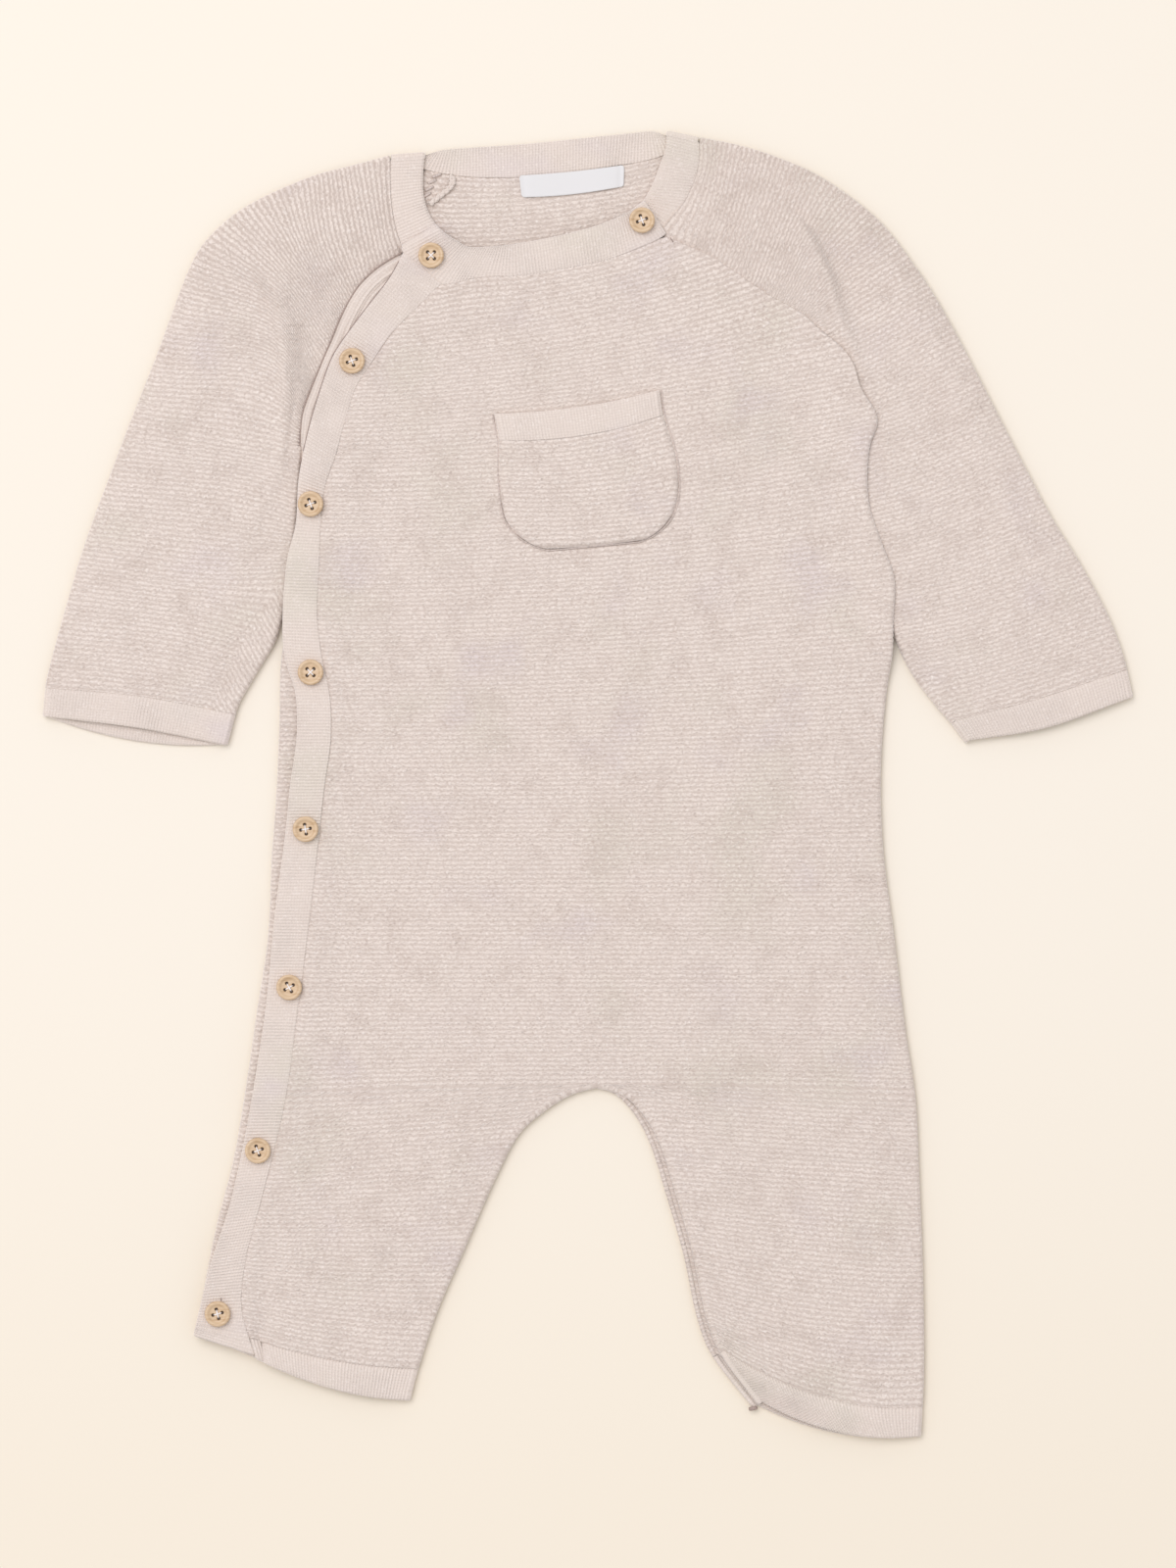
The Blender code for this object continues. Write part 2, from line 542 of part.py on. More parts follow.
def front_height(plan):
    """Return the height of the front's middle at plan points.

    The front rests low over the back, climbs to the button band and the neckband, and passes
    over the left sleeve at the underarm. Soft folds run over it.
    """
    height = np.full(plan.shape[:-1], FRONT_LEVEL)
    for x, y, half_length, half_width, turn, rise in zip(*FRONT_FOLDS.values()):
        angle = math.radians(turn)
        along = (plan[..., 0] - x) * math.cos(angle) + (plan[..., 1] - y) * math.sin(angle)
        across = (plan[..., 1] - y) * math.cos(angle) - (plan[..., 0] - x) * math.sin(angle)
        height += rise * np.exp(-((along / half_length) ** 2) - (across / half_width) ** 2)
    right_y = np.linspace(BAND_SEAM["y"][-1], BAND_SEAM["y"][0], 160)
    left_y = np.linspace(LEFT_EDGE["y"][-1], LEFT_EDGE["y"][0], 160)
    neck_x = np.linspace(NECK_LEVELS["x"][0], NECK_LEVELS["x"][-1], 40)
    neck_line = np.stack([neck_x, seam_y(NECK_SEAM, neck_x)], axis=-1)
    left_level = through(*LEFT_EDGE_LEVELS.values(), plan[..., 1], level=True)
    neck_level = through(*NECK_LEVELS.values(), plan[..., 0], level=True)
    sides = (
        (edge_at(BAND_SEAM, right_y), BUTTON_BAND_LEVEL, BAND_RISE_WIDTH),
        (edge_at(LEFT_EDGE, left_y), left_level, SIDE_RISE_WIDTH),
        (neck_line, neck_level, NECK_RISE_WIDTH),
        (inseam_line(), UPPER_WALL, INSEAM_RISE_WIDTH),
    )
    pull = np.zeros_like(height)
    total = np.zeros_like(height)
    for line, level, width in sides:
        weight = fade(np.maximum(distance_to(plan, line) - FOLD_REACH, 0), width)
        pull += weight * (level - height)
        total += weight
    return height + pull / np.maximum(total, 1)


def make_material(name, color, roughness):
    """Make a plain material."""
    material = bpy.data.materials.new(name)
    material.use_nodes = True
    shader = material.node_tree.nodes["Principled BSDF"]
    shader.inputs["Base Color"].default_value = (*color, 1.0)
    shader.inputs["Roughness"].default_value = roughness
    material.diffuse_color = (*color, 1.0)
    return material


def make_sheet(name, grids, thickness, material):
    """Make a wall of cloth from grids of points that meet along shared edges."""
    mesh = bmesh.new()
    for grid in grids:
        rows, columns = grid.shape[:2]
        points = [mesh.verts.new(point) for point in (grid * MM).reshape(-1, 3).tolist()]
        for row in range(rows - 1):
            for column in range(columns - 1):
                corner = row * columns + column
                mesh.faces.new((
                    points[corner], points[corner + 1],
                    points[corner + columns + 1], points[corner + columns],
                ))
    bmesh.ops.remove_doubles(mesh, verts=mesh.verts, dist=0.00001)
    bmesh.ops.recalc_face_normals(mesh, faces=mesh.faces)
    data = bpy.data.meshes.new(name)
    mesh.to_mesh(data)
    mesh.free()
    data.materials.append(material)
    sheet = bpy.data.objects.new(name, data)
    bpy.context.collection.objects.link(sheet)
    wall = sheet.modifiers.new("Wall", "SOLIDIFY")
    wall.thickness = thickness * MM
    wall.offset = 0.0
    return sheet


def front_grids():
    """Return the grids of the front: its body, its legs and its rolled edges."""
    columns = FRONT_GRID["columns"]
    rows = np.linspace(0, len(FRONT_COURSES["right_y"]) - 1, FRONT_GRID["body_rows"])
    right = edge_at(BAND_SEAM, read(FRONT_COURSES, "right_y", rows)[:, 0], SEAM_GAP / 2)
    left_y = read(FRONT_COURSES, "left_y", rows)[:, 0]
    left = edge_at(LEFT_EDGE, left_y, -inset_below(RAGLAN_BLEND, left_y))
    body = body_plan(FRONT_COURSES, right, left, rows, columns)
    body = follow_seam(body, NECK_SEAM, rows)
    grids = [with_height(half, front_height(half)) for half in body]

    leg_rows = leg_steps(FRONT_GRID["leg_rows"])
    right_leg, left_leg, right_across, left_across = front_legs(leg_rows, columns)
    grids += [right_leg, left_leg]
    grids.append(inseam_roll(right_leg[:, -1], left_leg[:, 0], right_across, left_across, -1))

    side = np.concatenate([grids[1][:, -1], left_leg[1:, -1]])
    grids.append(side_roll(side, RAGLAN_BLEND, -1))
    return grids


def leg_steps(count):
    """Return course numbers from the crotch to the hem, closer together round the crotch."""
    part = np.linspace(0, 1, count)
    return (HEM_COURSE - HEM_GAP) * (0.8 * part + 0.2 * part**2)


def side_roll(side, blend, lift):
    """Roll a side: it widens where the seam blends into the edge, then turns upright."""
    low, high = blend
    grown = (high - side[:, 1]) / (2 * (high - low))
    begun = 2 * grown > ROLL_START
    side = side[begun]
    return roll(side, normals(side[:, :2], 1), lift, np.minimum(grown[begun], 1))


def leg_plan(body, right_out, left_out, rows, columns):
    """Return the courses of both legs in plan, and the directions across their inseams.

    A first course at the crotch is the last course of the body.
    """
    (right_in, right_across), (left_in, left_across) = inseam(rows, FOLD_REACH)
    if rows[0] == 0:
        right_in[0] = left_in[0] = (body["middle_x"][-1], body["middle_y"][-1])
    right = sagging(right_out, right_in, read(LEG_COURSES, "right_sag", rows)[:, 0], columns)
    left = sagging(left_in, left_out, read(LEG_COURSES, "left_sag", rows)[:, 0], columns)
    if rows[0] == 0:
        ends = (right_out[:1], right_in[:1], left_out[:1])
        right[0] = quadratic(*ends, np.linspace(0, 1, columns))[0]
        left[0] = quadratic(*ends, np.linspace(1, 2, columns))[0]
    return right, left, right_across, left_across


def front_legs(rows, columns):
    """Return the upper wall of both legs at course numbers, and their inseam directions."""
    right_y = read(LEG_COURSES, "front_right_y", rows)[:, 0]
    right_out = edge_at(BAND_SEAM, right_y, SEAM_GAP / 2)
    left_out = edge_at(LEFT_EDGE, read(LEG_COURSES, "left_y", rows)[:, 0], -FOLD_REACH)
    right, left, right_across, left_across = leg_plan(
        FRONT_COURSES, right_out, left_out, rows, columns)
    right = with_height(right, front_height(right))
    left = with_height(left, front_height(left))
    return right, left, right_across, left_across


def back_legs(rows, columns):
    """Return the lower wall of both legs at course numbers, and their inseam directions."""
    right_y = read(LEG_COURSES, "back_right_y", rows)[:, 0]
    right_out = edge_at(BACK_RIGHT_EDGE, right_y, FOLD_REACH)
    left_out = edge_at(LEFT_EDGE, read(LEG_COURSES, "left_y", rows)[:, 0], -FOLD_REACH)
    right, left, right_across, left_across = leg_plan(
        BACK_COURSES, right_out, left_out, rows, columns)
    right = with_height(right, LOWER_WALL)
    left = with_height(left, LOWER_WALL)
    return right, left, right_across, left_across


def inseam_roll(right_line, left_line, right_across, left_across, lift):
    """Roll the inner edges of both legs as one strip round the crotch."""
    line = np.concatenate([right_line[::-1], left_line[1:]])
    across = np.concatenate([right_across[::-1], left_across[1:]])
    return roll(line, across, lift)


def back_grids():
    """Return the grids of the back: body, legs, rolled edges and the margin rolled over."""
    columns = BACK_GRID["columns"]
    rows = np.linspace(0, len(BACK_COURSES["right_y"]) - 1, BACK_GRID["body_rows"])
    right_y = read(BACK_COURSES, "right_y", rows)[:, 0]
    left_y = read(BACK_COURSES, "left_y", rows)[:, 0]
    right_inset = inset_below(MARGIN_BLEND, right_y)
    left_inset = inset_below(SIDE_BLEND, left_y)
    right = edge_at(BACK_RIGHT_EDGE, right_y, right_inset)
    left = edge_at(BACK_LEFT_EDGE, left_y, -left_inset)
    body = body_plan(BACK_COURSES, right, left, rows, columns)
    body = follow_seam(body, BACK_NECK, rows)
    grids = [with_height(half, LOWER_WALL) for half in body]

    leg_rows = leg_steps(BACK_GRID["leg_rows"])
    right_leg, left_leg, right_across, left_across = back_legs(leg_rows, columns)
    grids += [right_leg, left_leg]
    grids.append(inseam_roll(right_leg[:, -1], left_leg[:, 0], right_across, left_across, 1))

    side = np.concatenate([grids[1][:, -1], left_leg[1:, -1]])
    grids.append(side_roll(side, SIDE_BLEND, 1))
    margin = np.concatenate([grids[0][:, 0], right_leg[1:, 0]])
    grids.append(margin_grid(margin[margin[:, 1] < MARGIN_BLEND[0]]))
    return grids


def inset_below(blend, y):
    """Return how far a wall stops inside its edge: at a seam above the blend, a roll below."""
    return through(blend, [FOLD_REACH, SEAM_GAP / 2], np.clip(y, *blend))


def margin_grid(line):
    """Roll the back's margin over its fold and lay it on the back, up to the under band."""
    across = normals(line[:, :2], -1)
    fold = turn_over(with_height(line[:, :2], UPPER_WALL), across)[:, ::-1]
    inner = edge_at(OPENING, line[:, 1], -SEAM_GAP / 2)
    flat = with_height(inner, UPPER_WALL)
    return np.concatenate([fold, flat[:, None]], axis=1)


def sleeve_rows(underarm, last):
    """Return course numbers of a sleeve from the neckband to the last, one at the underarm."""
    above = round(underarm * SLEEVE_GRID["rows_each_course"])
    below = round((last - underarm) * SLEEVE_GRID["rows_each_course"])
    rows = np.linspace(0, underarm, above + 1)
    return np.concatenate([rows, np.linspace(underarm, last, below + 1)[1:]])


def sleeve_grids(courses, underarm, rows, front_seam, back_seam, side):
    """Return the grids of a sleeve or cuff between course numbers.

    side is +1 on the wearer's left. Above the underarm the courses end on the raglan seams,
    and below it both walls roll towards each other at the inner edge.
    """
    start = read(courses, "front_x front_y", rows)
    ridge = read(courses, "ridge_x ridge_y", rows)
    fold = read(courses, "fold_x fold_y", rows)
    end = read(courses, "back_x back_y", rows)
    fold_out = normals(fold, side)
    fold = fold - FOLD_REACH * fold_out
    inner_out = normals(start, -side)
    raglan = rows < front_seam[1]
    start[raglan] = edge_at(front_seam[0], start[raglan, 1], side * SEAM_GAP / 2)
    tube = rows >= underarm
    start[tube] -= FOLD_REACH * inner_out[tube]
    end[tube] = start[tube]
    open_back = ~tube
    end[open_back] = edge_at(back_seam, end[open_back, 1], side * SEAM_GAP / 2)

    upper = sleeve_upper(courses, rows, start, ridge, fold)
    over = turn_over(upper[:, -1], fold_out)
    sag = read(courses, "sag", rows)[:, 0]
    lower = with_height(sagging(fold, end, sag, SLEEVE_GRID["lower_columns"]), LOWER_WALL)
    grids = [np.concatenate([upper, over[:, 1:], lower[:, 1:]], axis=1)]
    if tube.sum() > 1:
        grown = 0.5 + 0.5 * np.clip((rows[tube] - underarm) / UNDERARM_GROWTH, 0, 1)
        grids.append(roll(upper[tube, 0], inner_out[tube], -1, grown))
        grids.append(roll(lower[tube, -1], inner_out[tube], 1, grown))
    return grids


def sleeve_upper(courses, rows, start, ridge, fold):
    """Return the upper wall of a sleeve: plan curves through the ridge, with their heights."""
    columns = SLEEVE_GRID["upper_columns"]
    at_ridge = np.linalg.norm(ridge - start, axis=1)
    at_ridge = at_ridge / (at_ridge + np.linalg.norm(fold - ridge, axis=1))
    heights = read(courses, "start_z start_z ridge_z hollow_z outer_z", rows)
    upper = np.empty((len(rows), columns, 3))
    for row, share in enumerate(at_ridge):
        part = np.linspace(0, 1, columns)
        line = np.stack([start[row], ridge[row], fold[row]])
        upper[row, :, :2] = through([0, share, 1], line, part)
        hollow = share + HOLLOW_PLACE * (1 - share)
        keys = [0, min(RISE_END, share / 2), share, hollow, OUTER_PLACE, 1]
        levels = np.append(heights[row], UPPER_WALL)
        upper[row, :, 2] = through(keys, levels, part, level=True)
    return upper


def ribbon(inner, outer, level):
    """Return a flat band between two edges, one row for each station."""
    plan = sagging(inner, outer, np.zeros(len(inner)), STRIP_ROWS)
    return with_height(plan, np.reshape(level, (-1, 1)))


def neckband_grids():
    """Return the neckband as one grid: two upper ends, two folds and the back between."""
    right = ribbon_of(NECKBAND_RIGHT, NECKBAND_ROWS["right"], UPPER_WALL)
    back = ribbon_of(NECKBAND_BACK, NECKBAND_ROWS["back"], LOWER_WALL)
    left = ribbon_of(NECKBAND_LEFT, NECKBAND_ROWS["left"], UPPER_WALL)
    right_out = fold_direction(right[-1])
    left_out = fold_direction(left[0])
    right[-1, :, :2] -= FOLD_REACH * right_out
    left[0, :, :2] -= FOLD_REACH * left_out
    right_fold = turn_over(right[-1], right_out).swapaxes(0, 1)
    left_fold = turn_over(left[0], left_out).swapaxes(0, 1)[::-1]
    back[0] = right_fold[-1]
    back[-1] = left_fold[0]
    return [np.concatenate([right, right_fold[1:-1], back, left_fold[1:-1], left])]


def ribbon_of(stations, count, level):
    """Return a band that follows a table of inner and outer edge points."""
    edges = read(stations, NECKBAND_COLUMNS, np.linspace(0, len(stations["inner_x"]) - 1, count))
    return ribbon(edges[:, :2], edges[:, 2:], level)


def fold_direction(line):
    """Return one vector across a fold line, for each of its points, towards +Y."""
    run = line[-1, :2] - line[0, :2]
    run = run / np.linalg.norm(run)
    across = np.array([-run[1], run[0]])
    if across[1] < 0:
        across = -across
    return np.tile(across, (len(line), 1))


def front_neckband_grids():
    """Return the front neckband, whose outer edge follows the neck seam."""
    rows = np.linspace(0, len(FRONT_NECKBAND["inner_x"]) - 1, FRONT_NECKBAND_ROWS)
    inner = read(FRONT_NECKBAND, "inner_x inner_y", rows)
    outer_x, lift, level = read(FRONT_NECKBAND, "outer_x lift level", rows).T
    lift = np.maximum(lift, 0)
    outer = np.stack([outer_x, seam_y(NECK_SEAM, outer_x) + SEAM_GAP / 2 + lift], axis=-1)
    return [ribbon(inner, outer, level)]


def button_band_grids():
    """Return the button band, whose inner edge follows the band seam."""
    rows = np.linspace(0, len(BUTTON_BAND["left_x"]) - 1, BAND_ROWS)
    left = read(BUTTON_BAND, "left_x left_y", rows)
    seam = edge_at(BAND_SEAM, read(BUTTON_BAND, "seam_y", rows)[:, 0], -SEAM_GAP / 2)
    seam[0, 1] -= SEAM_GAP / 2
    return [ribbon(left, seam, BUTTON_BAND_LEVEL)]


def under_band_grids():
    """Return the under band, sewn along the opening and covered by the button band."""
    y = np.concatenate([np.linspace(*UNDER_BAND_CURVE, 20), np.linspace(*UNDER_BAND_RUN, 22)])
    left = edge_at(OPENING, y, SEAM_GAP / 2)
    right = edge_at(OPENING, y, SEAM_GAP / 2 + UNDER_BAND_WIDTH)
    return [ribbon(left, right, UPPER_WALL)]


def patch(source, rows, columns):
    """Return the courses of a flat patch in plan, at row numbers of its table."""
    right = read(source, "right_x right_y", rows)
    left = read(source, "left_x left_y", rows)
    return sagging(right, left, read(source, "sag", rows)[:, 0], columns)


def pocket_grid(rows):
    """Return courses of the pocket, laid on the front."""
    plan = patch(POCKET, rows, POCKET_GRID["columns"])
    lift = CLOTH / 2 + POCKET_CLEARANCE + POCKET_CLOTH / 2
    return with_height(plan, front_height(plan) + lift)


def button_mesh(material):
    """Make the mesh of a button: a turned disc with a raised rim and a dished middle."""
    mesh = bmesh.new()
    rings = []
    for radius, height in zip(*BUTTON_PROFILE.values()):
        angles = [2 * math.pi * side / BUTTON_SIDES for side in range(BUTTON_SIDES)]
        rings.append([
            mesh.verts.new((radius * math.cos(a) * MM, radius * math.sin(a) * MM, height * MM))
            for a in angles
        ])
    mesh.faces.new(rings[0][::-1])
    mesh.faces.new(rings[-1])
    for lower, upper in zip(rings, rings[1:]):
        for side in range(BUTTON_SIDES):
            after = (side + 1) % BUTTON_SIDES
            mesh.faces.new((lower[side], lower[after], upper[after], upper[side]))
    data = bpy.data.meshes.new("button")
    mesh.to_mesh(data)
    mesh.free()
    data.materials.append(material)
    return data


def hole_cutter(name, x, y, bottom):
    """Make the helper that cuts the four sewing holes of a button."""
    mesh = bmesh.new()
    for along in (-1, 1):
        for across in (-1, 1):
            made = bmesh.ops.create_cone(
                mesh, cap_ends=True, segments=BUTTON_HOLE_SIDES, radius1=BUTTON_HOLE_RADIUS * MM,
                radius2=BUTTON_HOLE_RADIUS * MM, depth=2 * BUTTON_HEIGHT * MM)
            offset = (along * BUTTON_HOLE_SPREAD * MM, across * BUTTON_HOLE_SPREAD * MM, 0)
            bmesh.ops.translate(mesh, verts=made["verts"], vec=offset)
    data = bpy.data.meshes.new(name)
    mesh.to_mesh(data)
    mesh.free()
    cutter = bpy.data.objects.new(name, data)
    cutter.location = (x * MM, y * MM, (bottom + BUTTON_HEIGHT / 2) * MM)
    cutter.hide_render = True
    cutter.display_type = "WIRE"
    bpy.context.collection.objects.link(cutter)
    return cutter


def make_buttons(material):
    """Make the nine buttons, each just clear of the band that it closes."""
    mesh = button_mesh(material)
    bottom = BUTTON_BAND_LEVEL + CLOTH / 2 + BUTTON_CLEARANCE
    for number, (x, y) in enumerate(zip(BUTTONS["x"], BUTTONS["y"]), start=1):
        button = bpy.data.objects.new(f"button_{number}", mesh)
        button.location = (x * MM, y * MM, bottom * MM)
        bpy.context.collection.objects.link(button)
        holes = button.modifiers.new("Holes", "BOOLEAN")
        holes.operation = "DIFFERENCE"
        holes.solver = "EXACT"
        holes.object = hole_cutter(f"holes_{number}", x, y, bottom)


def hem_grids():
    """Return the four leg hems, as the grids of each node."""
    rows = np.linspace(HEM_COURSE + HEM_GAP, HEM_COURSE + 1, STRIP_ROWS)
    columns = FRONT_GRID["columns"]
    right, left, right_across, left_across = front_legs(rows, columns)
    low_right, low_left, _, _ = back_legs(rows, columns)
    side_out = normals(left[:, -1, :2], 1)
    return {
        "hem_front_right": [right, roll(right[:, -1], right_across, -1)],
        "hem_back_right": [
            low_right, roll(low_right[:, -1], right_across, 1), margin_grid(low_right[:, 0])],
        "hem_front_left": [
            left, roll(left[:, 0], left_across, -1), roll(left[:, -1], side_out, -1)],
        "hem_back_left": [
            low_left, roll(low_left[:, 0], left_across, 1), roll(low_left[:, -1], side_out, 1)],
    }


def main():
    """Clear the scene and make every piece of the romper."""
    for item in list(bpy.data.objects):
        bpy.data.objects.remove(item, do_unlink=True)

    knit = make_material("garter_knit", (0.72, 0.63, 0.57), 0.95)
    rib = make_material("rib_knit", (0.76, 0.67, 0.60), 0.95)
    tape = make_material("label_tape", (0.9, 0.9, 0.9), 0.8)
    wood = make_material("button_wood", (0.72, 0.49, 0.26), 0.5)

    make_sheet("front", front_grids(), CLOTH, knit)
    make_sheet("back", back_grids(), CLOTH, knit)
    for name, courses, underarm, front_seam, back_seam, side in (
        ("left", LEFT_SLEEVE, LEFT_UNDERARM, (LEFT_EDGE, LEFT_RAGLAN_COURSES), BACK_LEFT_EDGE, 1),
        ("right", RIGHT_SLEEVE, RIGHT_UNDERARM, (OPENING, RIGHT_RAGLAN_COURSES), BACK_RIGHT_EDGE,
         -1),
    ):
        last = len(courses["fold_x"]) - 1
        rows = sleeve_rows(underarm, last - 1 - CUFF_GAP)
        cuff_rows = np.linspace(last - 1 + CUFF_GAP, last, STRIP_ROWS)
        sleeve = sleeve_grids(courses, underarm, rows, front_seam, back_seam, side)
        cuff = sleeve_grids(courses, underarm, cuff_rows, front_seam, back_seam, side)
        make_sheet(f"sleeve_{name}", sleeve, CLOTH, knit)
        make_sheet(f"cuff_{name}", cuff, CLOTH, rib)
    for name, grids in hem_grids().items():
        make_sheet(name, grids, CLOTH, rib)
    make_sheet("neckband", neckband_grids(), CLOTH, rib)
    make_sheet("neckband_front", front_neckband_grids(), CLOTH, rib)
    make_sheet("button_band", button_band_grids(), CLOTH, rib)
    make_sheet("under_band", under_band_grids(), CLOTH, rib)

    top_rows = np.linspace(0, POCKET_SEAM - POCKET_GAP, STRIP_ROWS)
    pocket_rows = np.linspace(POCKET_SEAM + POCKET_GAP, len(POCKET["sag"]) - 1, POCKET_GRID["rows"])
    make_sheet("pocket", [pocket_grid(pocket_rows)], POCKET_CLOTH, knit)
    make_sheet("pocket_band", [pocket_grid(top_rows)], POCKET_CLOTH, rib)
    label = patch(LABEL, np.linspace(0, 1, STRIP_ROWS), LABEL_COLUMNS)
    make_sheet("label", [with_height(label, LABEL_LEVEL)], LABEL_TAPE, tape)
    make_buttons(wood)


main()
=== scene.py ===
"""Dress the baby romper: garter knit panels, rib bands, a bare label and turned wooden buttons.

Every cloth piece is a thin closed shell. The middle of the cloth is worked out as grids of points
whose rows are courses of the knit, and both faces of the cloth are that middle moved out by half
the cloth's thickness along its normal. The ridges of the knit are in the shells, and the single
stitches and the flecked yarn are in the materials, which read each piece's own UV map.

+X is the wearer's left, +Y runs from the leg hems to the neck and +Z is up. Tables and sizes are
in millimetres, and meshes are made in metres.
"""

import logging
import math
from collections.abc import Callable, Sequence
from dataclasses import dataclass
from enum import Enum
from typing import ClassVar

import bmesh
import bpy
import numpy as np
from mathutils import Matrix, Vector

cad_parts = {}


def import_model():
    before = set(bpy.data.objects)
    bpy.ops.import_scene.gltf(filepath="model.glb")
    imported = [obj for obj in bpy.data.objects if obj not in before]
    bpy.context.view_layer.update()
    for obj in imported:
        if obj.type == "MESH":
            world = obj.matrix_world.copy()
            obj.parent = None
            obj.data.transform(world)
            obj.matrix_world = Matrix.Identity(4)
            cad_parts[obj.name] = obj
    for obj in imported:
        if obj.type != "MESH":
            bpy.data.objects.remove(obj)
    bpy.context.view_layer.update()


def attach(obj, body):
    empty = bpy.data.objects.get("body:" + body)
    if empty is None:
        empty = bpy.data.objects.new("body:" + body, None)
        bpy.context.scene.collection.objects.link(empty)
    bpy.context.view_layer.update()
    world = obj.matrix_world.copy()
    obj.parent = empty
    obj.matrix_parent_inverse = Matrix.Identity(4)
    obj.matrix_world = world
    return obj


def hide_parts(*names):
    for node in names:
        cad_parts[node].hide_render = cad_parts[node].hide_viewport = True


LOG = logging.getLogger("romper")
MM = 0.001
BODY = "root"

# Cloth, and the heights of its middle above the surface that it lies on
CLOTH = 1.8
POCKET_CLOTH = 1.5
TAPE = 0.5
SEAM = 0.03
FOLD_RADIUS = 1.2
LOWER_WALL = 1.0
UPPER_WALL = CLOTH / 2 + 2 * FOLD_RADIUS
FOLD_REACH = FOLD_RADIUS + CLOTH / 2
FRONT_LEVEL = 4.6
BUTTON_BAND_LEVEL = 5.6
OVER_SLEEVE_LEVEL = 5.85
LABEL_LEVEL = 2.75
POCKET_LIFT = CLOTH / 2 + 0.35 + POCKET_CLOTH / 2
UNDER_BAND_WIDTH = 10.5

# How far from each edge the front climbs to what it is sewn to
BAND_RISE_WIDTH = 26.0
SIDE_RISE_WIDTH = 18.0
NECK_RISE_WIDTH = 20.0
INSEAM_RISE_WIDTH = 16.0

# The knit: one ridge of garter stitch, one rib, and how high they stand from their middle
RIDGE = 1.9
RIDGE_RELIEF = 0.085
UNDER_RELIEF = 0.06
RIB = 1.25
RIB_RELIEF = 0.12
STEPS_EACH_WAVE = 4
ROW_STEP = RIDGE / STEPS_EACH_WAVE
RIB_STEP = RIB / STEPS_EACH_WAVE

# A sewn edge: how deep the cloth is drawn down into the seam, and how far from it
SEAM_DIP = 0.55
SEAM_REACH = 1.3

# Rolled edges and raglan details
FLAT_ROLL = FOLD_RADIUS * math.pi / 2
ROLL_START = 0.06
LEAST_TURN = math.radians(4)
UNDERARM_GROWTH = 1.2
RISE_END = 0.12
RIDGE_FOOT = 4.6
OUTER_PLACE = 0.84
SEAM_EASE_COURSES = 1.5
MERGE = 0.002
BAND_SHARES = np.array([0, 0.05, 0.12, 0.3, 0.5, 0.7, 0.84, 0.91, 0.955, 0.985, 1])

Array = np.ndarray
Table = dict[str, Array]
Object = bpy.types.Object
Material = bpy.types.Material
Socket = bpy.types.NodeSocket


class Side(Enum):
    """A side of the wearer, with its sign along X."""

    RIGHT = -1
    LEFT = 1


def table(columns: str, *rows: Sequence[float]) -> Table:
    """Return a short table as one array for each named column.

    Args:
        columns: the names of the columns.
        rows: the rows of the table.

    Returns:
        One array for each name.
    """
    return dict(zip(columns.split(), np.array(rows, dtype=float).T))


# The seam between the front and the button band: x at each height y.
BAND_SEAM = table(
    "y x",
    (206, -51), (199.5, -58.5), (191.5, -66.5), (180, -78), (168.5, -86), (160, -91.5), (147, -96.3),
    (132, -100.3), (119, -104.8), (103, -106.7), (88, -107.2), (67.5, -108), (50, -106), (35.5, -103),
    (18, -102.5), (-1, -105), (-19, -107), (-54, -111), (-90, -115.7), (-130, -121.5), (-165, -130),
    (-190, -136.5), (-209, -138), (-229, -132.5),
)

# The front's edge on the wearer's left: the raglan seam down to y = 174, then the side.
LEFT_EDGE = table(
    "y x",
    (221, 25), (217.8, 32), (209.5, 50.5), (203.5, 59.5), (195, 72), (186.5, 86.5), (181, 92.5),
    (174, 101), (170, 104.3), (157.5, 109), (144.5, 115.5), (136, 112.8), (124, 111.5), (112, 112.2),
    (95.5, 117.5), (84, 121.8), (64, 121.8), (53, 121.6), (37, 119.3), (0, 116.9), (-27, 118),
    (-58.5, 122), (-97.5, 126.7), (-125.5, 130.8), (-153.5, 132.2), (-209, 134.1), (-237, 134.2),
    (-262, 133),
)
RAGLAN_BLEND = (160.0, 176.0)
RAGLAN_MARK = 2.8

# The line where the under band is sewn on: the right sleeve's raglan edge down to y = 137, then
# the margin of the back that is rolled round to the front.
OPENING = table(
    "y x",
    (214, -71), (206, -84.3), (201, -89.8), (193, -95.4), (186.5, -98.7), (178, -102.2), (168, -106.5),
    (158, -110.6), (149, -113.8), (139, -115), (117, -113.8), (100, -114.3), (84, -115.4), (70, -115.8),
    (62, -115.3), (55, -114.7), (37, -115.2), (24, -115.6), (-2, -116.8), (-28, -118.6), (-61, -120.2),
    (-92, -124.8), (-121, -129), (-151, -134.2), (-177.5, -141), (-197, -144.9), (-219, -148.8),
    (-224, -149.5),
)

# The back's edge on the wearer's right: raglan seam, hidden side, then the rolled fold.
BACK_RIGHT_EDGE = table(
    "y x",
    (248, -63.4), (243.5, -66.3), (221, -80), (195.5, -92), (176, -101.5), (160.5, -107.5), (145, -112.3),
    (133, -114), (117, -114.3), (100, -115), (84, -117), (70, -119), (60, -120.9), (52, -122.2),
    (24, -123.2), (-2, -124.3), (-28, -126.2), (-61, -127.8), (-92, -132.4), (-121, -136.6),
    (-151, -141.8), (-177.5, -148.6), (-197, -152.5), (-219, -156.4), (-224, -157.2),
)
MARGIN_BLEND = (55.0, 63.0)

